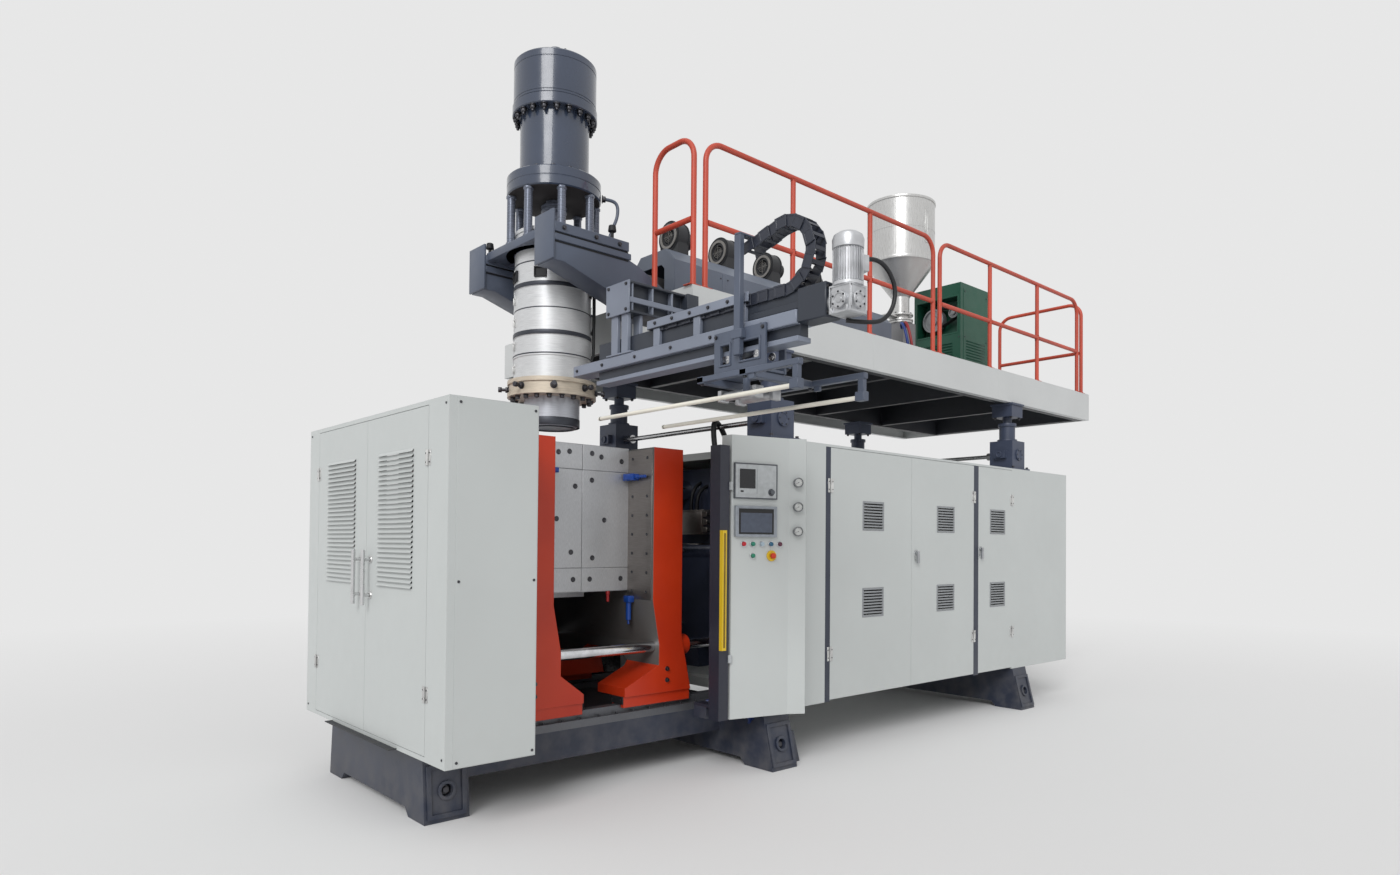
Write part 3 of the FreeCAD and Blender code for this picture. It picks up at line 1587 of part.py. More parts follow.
def head_die():
    """The annular die with its core pin, open as a ring for the parison."""
    r = s.die_radius
    return turned("head_die", s.head_x, s.centre_y, 0, [
        (s.die_mouth, s.die_bottom),
        (r - s.die_chamfer, s.die_bottom),
        (r, s.die_bottom + s.die_chamfer),
        (r, die_top),
        (0, die_top),
        (0, s.die_bottom),
        (s.die_mouth - s.die_gap, s.die_bottom),
        (s.die_mouth - s.die_gap - s.die_chamfer, die_top - s.die_chamfer),
        (s.die_mouth - s.die_chamfer, die_top - s.die_chamfer),
    ])


ram_ring_bottom = ram_disc_top + s.ram_flange_height + s.ram_lower_height
ram_top = ram_ring_bottom + s.ram_ring_height + s.ram_upper_height
ram_bore_top = ram_top - s.ram_end_wall


def ram_cylinder():
    """The hydraulic cylinder on top of the head, turned in steps with its bolt rings."""
    return turned("ram_cylinder", s.head_x, s.centre_y, 0, [
        (s.ram_rod_radius + s.tie_play, ram_flange_bottom),
        (s.ram_disc_radius, ram_flange_bottom),
        (s.ram_disc_radius, ram_disc_top),
        (s.ram_flange_radius, ram_disc_top),
        (s.ram_flange_radius, ram_disc_top + s.ram_flange_height),
        (s.ram_lower_radius, ram_disc_top + s.ram_flange_height),
        (s.ram_lower_radius, ram_ring_bottom),
        (s.ram_ring_radius, ram_ring_bottom),
        (s.ram_ring_radius, ram_ring_bottom + s.ram_ring_height),
        (s.ram_upper_radius, ram_ring_bottom + s.ram_ring_height),
        (s.ram_upper_radius, ram_top),
        (s.ram_cap_radius, ram_top),
        (s.ram_cap_radius, ram_top + s.ram_cap_height),
        (0, ram_top + s.ram_cap_height),
        (0, ram_bore_top),
        (s.ram_rod_radius + s.tie_play, ram_bore_top),
    ])


def ram_crosshead():
    """The plunger rod with the disc that shows between the columns."""
    z = s.crosshead_z
    r = s.ram_rod_radius
    low = s.ram_rod_bottom
    return turned("ram_crosshead", s.head_x, s.centre_y, 0, [
        (0, low),
        (r, low),
        (r, z),
        (s.crosshead_radius, z),
        (s.crosshead_radius, z + s.crosshead_height),
        (r, z + s.crosshead_height),
        (r, ram_bore_top - s.ram_rod_gap),
        (0, ram_bore_top - s.ram_rod_gap),
    ])


# ---------------------------------------------------------------- extruder

barrel_left = s.head_x + s.shroud_radius - s.barrel_seat
screw_left = s.head_x + s.shroud_radius + s.barrel_nose


def extruder_barrel():
    """The barrel, from the head to the drive, with its feet on the deck."""
    z = s.barrel_axis_z
    right = s.drive_left_x
    barrel = rod("barrel_tube", "x", (barrel_left, right), s.centre_y, z, s.barrel_radius)
    nose = rod("barrel_nose", "x", (barrel_left, screw_left), s.centre_y, z,
               s.barrel_radius + s.barrel_nose_step)
    feet = []
    for number, x in enumerate((s.cover_right_x + s.barrel_foot, s.drive_left_x - s.barrel_foot_inset)):
        feet.append(box("barrel_foot_%d" % (number + 1), (x, x + s.barrel_foot),
                        (s.centre_y - s.barrel_radius, s.centre_y + s.barrel_radius),
                        (s.platform_top, z)))
    throat = box("feed_throat", (s.hopper_x - s.throat_width / 2, s.hopper_x + s.throat_width / 2),
                 (s.centre_y - s.throat_width / 2, s.centre_y + s.throat_width / 2),
                 (s.platform_top, s.throat_top))
    bore = rod("barrel_bore", "x", (screw_left, right + s.barrel_nose), s.centre_y,
               z, s.barrel_bore)
    feed = rod("feed_bore", "z", s.hopper_x, s.centre_y, (z, s.throat_top + s.barrel_nose),
               s.barrel_bore)
    seat = rod("barrel_seat", "z", s.head_x, s.centre_y,
               (z - 2 * s.barrel_radius, z + 2 * s.barrel_radius), s.shroud_radius + s.clearance)
    return cut("extruder_barrel", fuse("barrel_block", barrel, nose, throat, *feet), seat, bore,
               feed)


def extruder_screw():
    """The screw's core: thin where it is fed, swelling to the metering end, on a drive collar."""
    start = screw_left + s.screw_end_gap
    length = s.drive_left_x - s.clearance - start
    metering = s.screw_metering_length
    feed = length - s.screw_feed_length
    return turned("extruder_screw", start, s.centre_y, s.barrel_axis_z, [
        (0, 0),
        (s.screw_metering_radius, s.screw_tip),
        (s.screw_metering_radius, metering),
        (s.screw_feed_radius, feed),
        (s.screw_feed_radius, length - s.screw_tip),
        (s.screw_flight_radius, length - s.screw_tip),
        (s.screw_flight_radius, length),
        (0, length),
    ], axis="x")


def barrel_cover():
    """The sheet cover over the heaters, chamfered along its top edges, on two side skirts."""
    half = s.cover_half_depth
    y = (s.centre_y - half, s.centre_y + half)
    top = s.cover_top
    c = s.cover_chamfer
    w = s.cover_wall
    hood = [
        (y[0], s.cover_bottom),
        (y[0], top - c),
        (y[0] + c, top),
        (y[1] - c, top),
        (y[1], top - c),
        (y[1], s.cover_bottom),
        (y[1] - w, s.cover_bottom),
        (y[1] - w, top - c - w / 2),
        (y[1] - c - w / 2, top - w),
        (y[0] + c + w / 2, top - w),
        (y[0] + w, top - c - w / 2),
        (y[0] + w, s.cover_bottom),
    ]
    sheet_hood = prism("cover_hood", "x", s.cover_left_x, s.cover_right_x, hood)
    legs = []
    for number, x in enumerate((s.cover_left_x + s.cover_leg, s.cover_right_x - 2 * s.cover_leg)):
        for end, y_leg in (("front", y[0] + w), ("back", y[1] - w - s.cover_leg)):
            legs.append(box("cover_leg_%s_%d" % (end, number), (x, x + s.cover_leg),
                            (y_leg, y_leg + s.cover_leg), (s.platform_top, top - c - w)))
    return group("barrel_cover", sheet_hood, *legs)


def cooling_blowers():
    """Snail-shaped blowers standing on the cover, each with its square outlet."""
    blowers = []
    for number in range(count(s.blower_count)):
        x = s.blower_first_x + s.blower_pitch * number
        z = s.cover_top + s.blower_outlet + s.blower_radius - s.blower_sink
        half = s.blower_width / 2
        y = s.centre_y
        name = "blower_%d" % (number + 1)
        drum = rod(name + "_drum", "x", (x - half, x + half), y, z, s.blower_radius)
        duct = box(name + "_duct", (x - half, x + half), (y - s.blower_outlet, y + s.blower_outlet),
                   (s.cover_top, z))
        motor = rod(name + "_motor", "x", (x + half, x + half + s.blower_motor), y, z,
                    s.blower_motor_radius)
        inlet = rod(name + "_inlet", "x", (x - half - s.cover_wall, x - half / 2), y, z,
                    s.blower_motor_radius)
        blowers.append(cut(name, fuse(name + "_case", drum, duct, motor), inlet))
    return group("cooling_blowers", *blowers)


def hopper():
    """The turned sheet hopper: open cylinder, cone and neck on the feed throat."""
    r = s.hopper_radius
    w = s.hopper_wall
    neck = s.hopper_neck_radius
    return turned("hopper", s.hopper_x, s.centre_y, 0, [
        (neck, s.throat_top),
        (neck + s.hopper_lip, s.throat_top),
        (neck + s.hopper_lip, s.throat_top + s.hopper_lip / 2),
        (neck + w, s.throat_top + s.hopper_lip / 2),
        (neck + w, s.hopper_cone_bottom),
        (r + w, s.hopper_cone_top),
        (r + w, s.hopper_top),
        (r, s.hopper_top),
        (r, s.hopper_cone_top),
        (neck, s.hopper_cone_bottom),
    ])


def drive_box():
    """The gearbox and motor housing on the deck, with the open belt recess at its end."""
    y = (s.centre_y - s.drive_half_depth, s.centre_y + s.drive_half_depth)
    x = (s.drive_left_x, s.drive_right_x)
    block = box("drive_block", x, y, (s.platform_top, s.drive_top))
    recess = box("drive_recess", (x[0] - s.drive_wall, x[0] + s.drive_recess),
                 (y[0] + s.drive_wall, y[1] - s.drive_wall),
                 (s.drive_recess_bottom, s.drive_recess_bottom + s.drive_recess_height))
    middle = (x[0] + x[1]) / 2
    eye = rod("drive_eye", "y", middle,
              (s.centre_y - s.drive_wall / 2, s.centre_y + s.drive_wall / 2),
              s.drive_top + s.drive_eye_rise, s.drive_eye_radius)
    eye_hole = rod("drive_eye_hole", "y", middle,
                   (s.centre_y - s.drive_wall, s.centre_y + s.drive_wall),
                   s.drive_top + s.drive_eye_hole_rise, s.drive_eye_hole)
    return cut("drive_box", fuse("drive_case", block, eye), recess, eye_hole)


# ---------------------------------------------------------------- take-out arm

beam_y = (s.takeout_front_y, s.takeout_back_y)
rail_y = (s.takeout_front_y + s.rail_short, s.takeout_back_y - s.rail_back_short)
rail_z = (s.takeout_rail_z, s.takeout_rail_z + s.takeout_rail_height)


def takeout_beam():
    """The fixed beam of the arm: box beam, slotted rail and the bracket to the platform."""
    half = s.beam_section_width / 2
    x = (s.arm_x - half, s.arm_x + half)
    beam = box("takeout_box_beam", x, beam_y, (s.takeout_bottom, s.takeout_rail_z))
    rail_half = s.takeout_rail_width / 2
    rail = box("takeout_rail", (s.arm_x - rail_half, s.arm_x + rail_half), rail_y, rail_z)
    slots = []
    for number in range(count(s.slot_count)):
        y = rail_y[0] + s.slot_margin + s.slot_pitch * number
        slots.append(box("rail_slot_%d" % (number + 1),
                         (s.arm_x - s.takeout_rail_width, s.arm_x + s.takeout_rail_width),
                         (y, y + s.slot_length),
                         (rail_z[0] + s.slot_rise, rail_z[0] + s.slot_rise + s.slot_height)))
    slotted = cut("takeout_slotted_rail", rail, *slots)
    tray = box("chain_tray", (s.arm_x - s.chain_width / 2, s.arm_x + s.chain_width / 2),
               (s.chain_turn_y + s.chain_pitch, s.bracket_front_y), (rail_z[1], rail_z[1] + s.chain_tray))
    bracket_z = (rail_z[1], rail_z[1] + s.bracket_height)
    arm = box("bracket_arm", (s.arm_x - half, s.bracket_right_x), (s.bracket_front_y, s.bracket_back_y),
              bracket_z)
    room = box("bracket_room", (s.arm_x - half - s.bracket_wall, s.bracket_right_x - s.bracket_wall),
               (s.bracket_front_y + s.bracket_wall, s.bracket_back_y - s.bracket_wall),
               (bracket_z[0] + s.bracket_wall, bracket_z[1] - s.bracket_wall))
    return group("takeout_beam", beam, slotted, tray, cut("takeout_bracket", arm, room))


def window(name, x, y, z):
    return box(name, x, (y, y + s.window_width), (z, z + s.window_height))


def takeout_carriage():
    """The carriage: a plate with two windows each side of the beam, and its mast."""
    half = s.beam_section_width / 2 + s.clearance
    y = (s.carriage_y, s.carriage_y + s.carriage_length)
    z = (s.carriage_bottom, s.carriage_top)
    plates = []
    cuts = []
    for side, x in (("left", (s.arm_x - half - s.carriage_plate, s.arm_x - half)),
                    ("right", (s.arm_x + half, s.arm_x + half + s.carriage_plate))):
        plates.append(box("carriage_plate_" + side, x, y, z))
        for number in (0, 1):
            start = y[0] + s.window_margin + number * (s.window_width + s.window_margin)
            cuts.append(window("carriage_window_%s_%d" % (side, number),
                               (x[0] - s.carriage_plate, x[1] + s.carriage_plate), start,
                               z[0] + s.window_margin))
    floor = box("carriage_floor", (s.arm_x - half, s.arm_x + half), y,
                (z[0], z[0] + s.carriage_plate))
    mast_x = (s.arm_x - half - s.carriage_plate - s.mast_depth, s.arm_x - half - s.carriage_plate)
    mast_y = s.carriage_y + s.mast_from_end
    mast = box("carriage_mast", mast_x, (mast_y, mast_y + s.mast_width), (z[0] + s.window_margin,
                                                                         s.mast_top))
    head = box("mast_arm", (mast_x[0], s.arm_x + s.chain_width / 2),
               (mast_y, mast_y + s.mast_width), (s.mast_top, s.mast_top + s.carriage_plate))
    sides = [cut("carriage_side", plate, *cuts) for plate in plates]
    return group("takeout_carriage", floor, *sides, mast, head)


def takeout_gripper():
    """Two long rods that reach over the mould, on a yoke under the carriage."""
    solids = []
    leg = s.gripper_leg
    y = (s.gripper_front_y, s.gripper_back_y)
    for side, sign in (("left", -1), ("right", 1)):
        x = s.head_x + sign * s.gripper_half_span
        solids.append(rod("gripper_rod_" + side, "y", x, y, s.gripper_z, s.gripper_radius))
        solids.append(box("gripper_leg_" + side, (x - leg / 2, x + leg / 2), (y[0], y[0] + leg),
                          (s.gripper_z - leg, s.carriage_bottom - leg)))
        solids.append(box("gripper_rail_" + side, (x - leg / 2, x + leg / 2),
                          (y[0], s.carriage_y + s.carriage_length),
                          (s.carriage_bottom - leg, s.carriage_bottom)))
    solids.append(box("gripper_yoke", (s.head_x - s.gripper_half_span - leg / 2,
                                       s.head_x + s.gripper_half_span + leg / 2),
                      (s.carriage_y, s.carriage_y + s.carriage_length),
                      (s.carriage_bottom - leg, s.carriage_bottom)))
    return fuse("takeout_gripper", *solids)


def chain_stations():
    """Places of the chain links, as (y, z, turn), from the fixed end round the bend."""
    pitch = s.chain_pitch.value
    radius = s.chain_bend.value
    low = (rail_z[1] + s.chain_tray + s.clearance + s.chain_height / 2).value
    run = (s.chain_fixed_y - s.chain_turn_y).value
    bend = math.pi * radius
    top = (s.chain_end_y - s.chain_turn_y).value
    total = run + bend + top
    stations = []
    for number in range(int(total / pitch)):
        along = pitch * (number + 0.5)
        if along < run:
            stations.append((s.chain_fixed_y.value - along, low, 0.0))
        elif along < run + bend:
            turn = (along - run) / radius
            stations.append((s.chain_turn_y.value - radius * math.sin(turn),
                             low + radius - radius * math.cos(turn), turn))
        else:
            stations.append((s.chain_turn_y.value + along - run - bend, low + 2 * radius, math.pi))
    return stations


def drag_chain():
    """The cable chain: links with two side plates and crossbars, along its lying loop."""
    plate = s.chain_plate.value
    height, width = s.chain_height.value, s.chain_width.value
    length = s.chain_link_length.value
    bar_width, bar_height = s.chain_bar_width.value, s.chain_bar_height.value
    level = (height - bar_height) / 2
    links = []
    for number, (y, z, turn) in enumerate(chain_stations()):
        inset = plate * (number % 2)
        solids = []
        for sign in (-1, 1):
            side = Part.makeBox(plate, length, height)
            middle = sign * (width / 2 - inset - plate / 2)
            side.translate(FreeCAD.Vector(middle - plate / 2, -length / 2, -height / 2))
            solids.append(side)
        for middle in (-level, level):
            bar = Part.makeBox(width - 2 * inset, bar_width, bar_height)
            bar.translate(FreeCAD.Vector(inset - width / 2, -bar_width / 2,
                                         middle - bar_height / 2))
            solids.append(bar)
        link = solids[0].multiFuse(solids[1:]).removeSplitter()
        link.rotate(FreeCAD.Vector(0, 0, 0), FreeCAD.Vector(1, 0, 0), -math.degrees(turn))
        link.translate(FreeCAD.Vector(0, y, z))
        links.append(link)
    item = doc.addObject("Part::Feature", "drag_chain")
    item.Shape = Part.makeCompound(links)
    return place(item, s.arm_x)


def takeout_gearmotor():
    """The gear box at the end of the beam with its motor standing on top."""
    half = s.gearbox_width / 2
    x = (s.arm_x - half, s.arm_x + half)
    y = (s.gearbox_front_y, s.takeout_front_y)
    low = s.takeout_bottom
    case = box("gear_case", x, y, (low, low + s.gearbox_height))
    middle = (y[0] + y[1]) / 2
    flange = rod("motor_flange", "z", s.arm_x, middle,
                 (low + s.gearbox_height, low + s.gearbox_height + s.motor_flange),
                 s.motor_radius + s.motor_flange)
    motor = rod("motor_case", "z", s.arm_x, middle,
                (low + s.gearbox_height, low + s.gearbox_height + s.motor_height), s.motor_radius)
    terminal = box("motor_terminals", (s.arm_x - s.motor_radius - s.motor_box, s.arm_x),
                   (middle - s.motor_box / 2, middle + s.motor_box / 2),
                   (low + s.gearbox_height + s.motor_box,
                    low + s.gearbox_height + 2 * s.motor_box))
    return fuse("takeout_gearmotor", case, flange, motor, terminal)


# ---------------------------------------------------------------- behind the doors

tray_top = sill_top + s.sheet_wall


def hydraulic_unit():
    """The oil tank with its pump and motor lying on top."""
    x = (s.tank_left_x, s.tank_left_x + s.tank_length)
    y = (s.centre_y - s.tank_depth / 2, s.centre_y + s.tank_depth / 2)
    top = tray_top + s.tank_height
    tank = box("oil_tank", x, y, (tray_top, top))
    lid = box("tank_lid", (x[0] - s.tank_lip, x[1] + s.tank_lip), (y[0] - s.tank_lip, y[1] + s.tank_lip),
              (top, top + s.tank_lip))
    base = top + s.tank_lip
    motor_x = (x[0] + s.pump_inset, x[0] + s.pump_inset + s.pump_length)
    axis_y = y[0] + s.tank_lip + s.pump_radius
    axis_z = base + s.pump_axis_rise
    saddle = box("pump_saddle", motor_x, (axis_y - s.pump_radius, axis_y + s.pump_radius),
                 (base, base + s.pump_saddle))
    motor = rod("pump_motor", "x", motor_x, axis_y, axis_z, s.pump_radius)
    pump = rod("pump_body", "x", (x[0] + s.tank_lip, motor_x[0]), axis_y, axis_z,
               s.pump_body_radius)
    return group("hydraulic_unit", fuse("tank_with_lid", tank, lid),
                 fuse("pump_set", saddle, motor, pump))


def electric_rack():
    """The mounting plate of the electric cabinet with its rows of devices."""
    x = (s.rack_left_x, s.rack_left_x + s.rack_length)
    y = s.rack_y
    plate = box("rack_plate", x, (y, y + s.sheet_wall), (tray_top, tray_top + s.rack_height))
    foot = box("rack_foot", x, (y + s.sheet_wall, y + s.rack_depth), (tray_top, tray_top + s.sheet_wall))
    devices = [fuse("rack_frame", plate, foot)]
    for row in range(count(s.rack_rows)):
        z = tray_top + s.rack_row_first + s.rack_row_pitch * row
        for column in range(count(s.rack_columns)):
            start = x[0] + s.rack_gap + (s.rack_device_width + s.rack_gap) * column
            devices.append(box("device_%d_%d" % (row, column), (start, start + s.rack_device_width),
                               (y - s.rack_device_depth, y), (z, z + s.rack_device_height)))
    return group("electric_rack", *devices)


# ---------------------------------------------------------------- the machine

sub_part("base_frame", base_frame())
sub_part("guide_rails", guide_rails())
sub_part("guard_cabinet", guard_cabinet())
for leaf in guard_doors():
    sub_part(leaf.Name, leaf)
sub_part("service_cabinet", service_cabinet())
sub_part("door_posts", door_posts())
door_a_end = s.service_door_b_x - s.door_gap
sub_part("service_door_left", sheet_door("service_door_left", s.service_door_a_x, door_a_end,
                                         s.vent_a_x))
sub_part("service_door_right", sheet_door("service_door_right", s.service_door_b_x, post_b[0],
                                          s.vent_b_x))
sub_part("electric_door", sheet_door("electric_door", s.electric_door_x, s.electric_hinge_x,
                                     s.vent_c_x))
sub_part("service_latch", door_latch("service_latch", s.service_door_b_x + s.latch_from_edge,
                                     s.latch_z))
sub_part("electric_latch", door_latch("electric_latch", s.electric_door_x + s.electric_latch_edge,
                                      s.electric_latch_z))
sub_part("control_door", control_door())
sub_part("parison_controller", parison_controller())
sub_part("controller_knob", panel.disc("controller_knob", s.panel_middle + s.knob_offset,
                                       s.knob_z, s.knob_radius, s.knob_height,
                                       out=s.screen_frame_depth + s.clearance))
sub_part("touch_panel", panel.slab("touch_panel", s.panel_middle, s.touch_panel_z,
                                   s.touch_panel_width, s.touch_panel_height, s.touch_panel_depth))
for number, along in enumerate(button_places, start=1):
    name = "push_button_%d" % number
    sub_part(name, push_button(name, along, s.button_row_z, s.button_radius, s.button_height))
sub_part("push_button_6", push_button("push_button_6", button_places[1], s.button_low_z,
                                      s.button_radius, s.button_height))
sub_part("emergency_stop", emergency_stop())
sub_part("pressure_gauges", pressure_gauges())
sub_part("light_curtain", light_curtain())
sub_part("left_platen", platen("left_platen", left_outer, left_inner, 1, s.platen_waist))
sub_part("right_platen", platen("right_platen", right_outer, right_inner, -1, s.platen_waist))
sub_part("left_mould", mould_half("left_mould", -1))
sub_part("right_mould", mould_half("right_mould", 1))
sub_part("tie_bars", tie_bars())
sub_part("back_platen", back_platen())
sub_part("clamp_rod", clamp_rod())
sub_part("jack_columns", jack_columns())
sub_part("screw_jacks", screw_jacks())
sub_part("jack_screws", jack_screws())
sub_part("left_cross_shaft", cross_shaft("left_cross_shaft", s.jack_left_x))
sub_part("right_cross_shaft", cross_shaft("right_cross_shaft", s.jack_right_x))
sub_part("platform_frame", platform_frame())
sub_part("platform_joists", platform_joists())
sub_part("railings", railings())
sub_part("head_support", head_support())
sub_part("accumulator_head", accumulator_head())
sub_part("head_flange", head_flange())
sub_part("head_die", head_die())
sub_part("ram_cylinder", ram_cylinder())
sub_part("ram_crosshead", ram_crosshead())
sub_part("extruder_barrel", extruder_barrel())
sub_part("extruder_screw", extruder_screw())
sub_part("barrel_cover", barrel_cover())
sub_part("cooling_blowers", cooling_blowers())
sub_part("hopper", hopper())
sub_part("drive_box", drive_box())
sub_part("takeout_beam", takeout_beam())
sub_part("takeout_carriage", takeout_carriage())
sub_part("takeout_gripper", takeout_gripper())
sub_part("drag_chain", drag_chain())
sub_part("takeout_gearmotor", takeout_gearmotor())
sub_part("hydraulic_unit", hydraulic_unit())
sub_part("electric_rack", electric_rack())

doc.recompute()

for item in doc.Objects:
    if "Invalid" in item.State or "Error" in item.State:
        raise RuntimeError("%s could not be made: %s" % (item.Label, item.State))
for item in sub_parts:
    if item.Shape.isNull() or not item.Shape.isValid():
        raise RuntimeError("%s has no valid shape" % item.Label)

os.makedirs("parts", exist_ok=True)
for item in sub_parts:
    item.Shape.exportStep("parts/%s.step" % item.Label)
print("%d sub-parts written" % len(sub_parts))
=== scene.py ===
import math

import bmesh
import bpy
from mathutils import Matrix, Vector


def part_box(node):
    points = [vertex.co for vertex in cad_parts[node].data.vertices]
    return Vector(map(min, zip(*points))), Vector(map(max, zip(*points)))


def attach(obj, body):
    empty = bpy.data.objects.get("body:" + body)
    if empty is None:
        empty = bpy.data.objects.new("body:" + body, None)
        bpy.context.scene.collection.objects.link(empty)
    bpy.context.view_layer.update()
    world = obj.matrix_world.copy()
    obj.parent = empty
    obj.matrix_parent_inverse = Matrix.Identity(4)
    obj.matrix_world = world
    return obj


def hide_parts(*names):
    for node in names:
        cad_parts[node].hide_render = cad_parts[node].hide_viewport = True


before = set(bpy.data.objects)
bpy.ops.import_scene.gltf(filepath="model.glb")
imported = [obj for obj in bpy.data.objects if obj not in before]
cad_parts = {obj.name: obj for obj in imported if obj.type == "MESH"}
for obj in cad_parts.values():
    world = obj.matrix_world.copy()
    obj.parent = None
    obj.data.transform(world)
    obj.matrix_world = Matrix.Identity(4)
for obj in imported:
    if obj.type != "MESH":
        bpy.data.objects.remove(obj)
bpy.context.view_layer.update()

# ------------ camera
# The photographer stood off the front left corner, low down, with a wide lens and the
# film shifted up to take in the tall head.

stand = Vector((-6.0198, -4.7362, 1.611))
turn, tilt, lean = math.radians(42.0895), math.radians(0.9568), math.radians(0.4927)
level = Vector((math.sin(turn), math.cos(turn), 0))
side = Vector((math.cos(turn), -math.sin(turn), 0))
look = level * math.cos(tilt) + Vector((0, 0, math.sin(tilt)))
above = -level * math.sin(tilt) + Vector((0, 0, math.cos(tilt)))
right = side * math.cos(lean) + above * math.sin(lean)
upward = above * math.cos(lean) - side * math.sin(lean)
viewer = bpy.data.objects.new("photo_view", bpy.data.cameras.new("photo_view"))
bpy.context.scene.collection.objects.link(viewer)
viewer.matrix_world = Matrix.Translation(stand) @ Matrix((right, upward, -look)).transposed().to_4x4()
viewer.data.sensor_fit = "HORIZONTAL"
film_wide, photo_wide, photo_middle, focal_pixels, horizon_pixel = 36, 1400, 437.5, 860.453, 530.14
viewer.data.sensor_width = film_wide
viewer.data.lens = focal_pixels / photo_wide * film_wide
viewer.data.shift_y = (horizon_pixel - photo_middle) / photo_wide
viewer.data.clip_end = 200
bpy.context.scene.camera = viewer
bpy.context.scene.view_settings.view_transform = "Standard"


# ------------ floor and studio light
# A plain pale floor that fades into the backdrop, soft light from all round and one large
# soft lamp from the operator's side.

class Signal:
    """A socket of a finish's nodes, so that shader maths reads as arithmetic."""

    def __init__(self, finish, socket):
        self.finish = finish
        self.socket = socket

    def maths(self, operation, first, second=0.0):
        return self.finish.node("Math", {"operation": operation}, {0: first, 1: second})

    def __add__(self, other):
        return self.maths("ADD", self, other)

    def __radd__(self, other):
        return self.maths("ADD", other, self)

    def __sub__(self, other):
        return self.maths("SUBTRACT", self, other)

    def __rsub__(self, other):
        return self.maths("SUBTRACT", other, self)

    def __mul__(self, other):
        return self.maths("MULTIPLY", self, other)

    def __rmul__(self, other):
        return self.maths("MULTIPLY", other, self)

    def __gt__(self, other):
        return self.maths("GREATER_THAN", self, other)

    def __lt__(self, other):
        return self.maths("LESS_THAN", self, other)


class Finish:
    """A paint, metal or plastic: one Principled shader and the nodes that vary it."""

    def __init__(self, name, **constants):
        self.material = bpy.data.materials.new(name)
        self.material.use_nodes = True
        self.tree = self.material.node_tree
        self.shader = self.tree.nodes["Principled BSDF"]
        for socket, value in constants.items():
            self.shader.inputs[socket.replace("_", " ")].default_value = value

    def node(self, kind, settings=None, sockets=None, output=0):
        """Adds a node: its settings come first, then the values or links of its sockets."""
        node = self.tree.nodes.new("ShaderNode" + kind)
        for name, value in (settings or {}).items():
            if name == "stops":
                ramp = node.color_ramp.elements
                while len(ramp) < len(value):
                    ramp.new(1.0)
                for stop, (place, colour) in zip(ramp, value):
                    stop.position = place
                    stop.color = colour
            else:
                setattr(node, name, value)
        for name, value in (sockets or {}).items():
            self.plug(node.inputs[name], value)
        return Signal(self, node.outputs[output])

    def plug(self, socket, value):
        if isinstance(value, Signal):
            self.tree.links.new(value.socket, socket)
        else:
            socket.default_value = value

    def feed(self, **signals):
        for socket, signal in signals.items():
            self.plug(self.shader.inputs[socket.replace("_", " ")], signal)
        return self

    def place(self, scale=(1, 1, 1)):
        """Object coordinates, stretched along each axis."""
        here = self.node("TexCoord", output="Object")
        return self.node("Mapping", {}, {"Vector": here, "Scale": scale})

    def noise(self, scale, detail=2.0, where=None, stretch=(1, 1, 1)):
        where = where or self.place(stretch)
        return self.node("TexNoise", {}, {"Vector": where, "Scale": scale, "Detail": detail},
                         output="Fac")

    def between(self, factor, first, second):
        """A colour between two others."""
        return self.node("Mix", {"data_type": "RGBA"}, {"Factor": factor, 6: first, 7: second}, output=2)

    def axis(self, number, where=None):
        """One of a vector's three numbers, of the object coordinates if no vector is given."""
        where = where or self.node("TexCoord", output="Object")
        return self.node("SeparateXYZ", {}, {"Vector": where}, output=number)

    def span(self, value, low, high, first=0.0, second=1.0):
        """A value stretched from one range to another and held at its ends."""
        return self.node("MapRange", {"clamp": True}, {"Value": value, "From Min": low, "From Max": high,
                                                       "To Min": first, "To Max": second})

    def bump(self, strength, height, normal=None, distance=0.002):
        """Fine relief that only the light shows."""
        sockets = {"Strength": strength, "Distance": distance, "Height": height}
        if normal:
            sockets["Normal"] = normal
        return self.node("Bump", {}, sockets)

    def worn(self, grime, edge, wear):
        """The normal with its edges rounded, and where those edges are rubbed."""
        eased = self.node("Bevel", {"samples": 4}, {"Radius": edge})
        true = self.node("NewGeometry", output="Normal")
        agree = self.node("VectorMath", {"operation": "DOT_PRODUCT"}, {0: eased, 1: true}, output="Value")
        return eased, self.span(1 - agree, 0.02, 0.16) * self.span(grime, 0.35, 0.7) * wear


def rgb(red, green, blue):
    """A colour from the 0 to 255 numbers of a paint chart."""
    linear = [((c / 255 + 0.055) / 1.055) ** 2.4 for c in (red, green, blue)]
    return (*linear, 1.0)


def shaded(colour, factor, lift=0.0):
    """A colour made lighter or darker."""
    return tuple(min(1.0, c * factor + lift) for c in colour[:3]) + (1,)


pale = 0.80
backdrop = Finish("studio_floor", Roughness=0.9)
backdrop.shader.inputs["Base Color"].default_value = (pale, pale, pale, 1)
backdrop.shader.inputs["Specular IOR Level"].default_value = 0.1
reach = backdrop.node("VectorMath", {"operation": "LENGTH"},
                      {0: backdrop.node("TexCoord", output="Object")}, output="Value")
glow = backdrop.node("Emission", {}, {"Color": (pale, pale, pale, 1), "Strength": 1.0})
fade = backdrop.node("MixShader", {}, {0: backdrop.span(reach, 7.0, 15.0),
                                       1: Signal(backdrop, backdrop.shader.outputs[0]), 2: glow})
backdrop.plug(backdrop.tree.nodes["Material Output"].inputs["Surface"], fade)
bpy.ops.object.select_all(action="DESELECT")
bpy.ops.mesh.primitive_circle_add(vertices=96, radius=60, fill_type="NGON", location=(0, 0, -0.001))
floor = bpy.context.object
floor.name = "studio_floor"
floor.data.materials.append(backdrop.material)

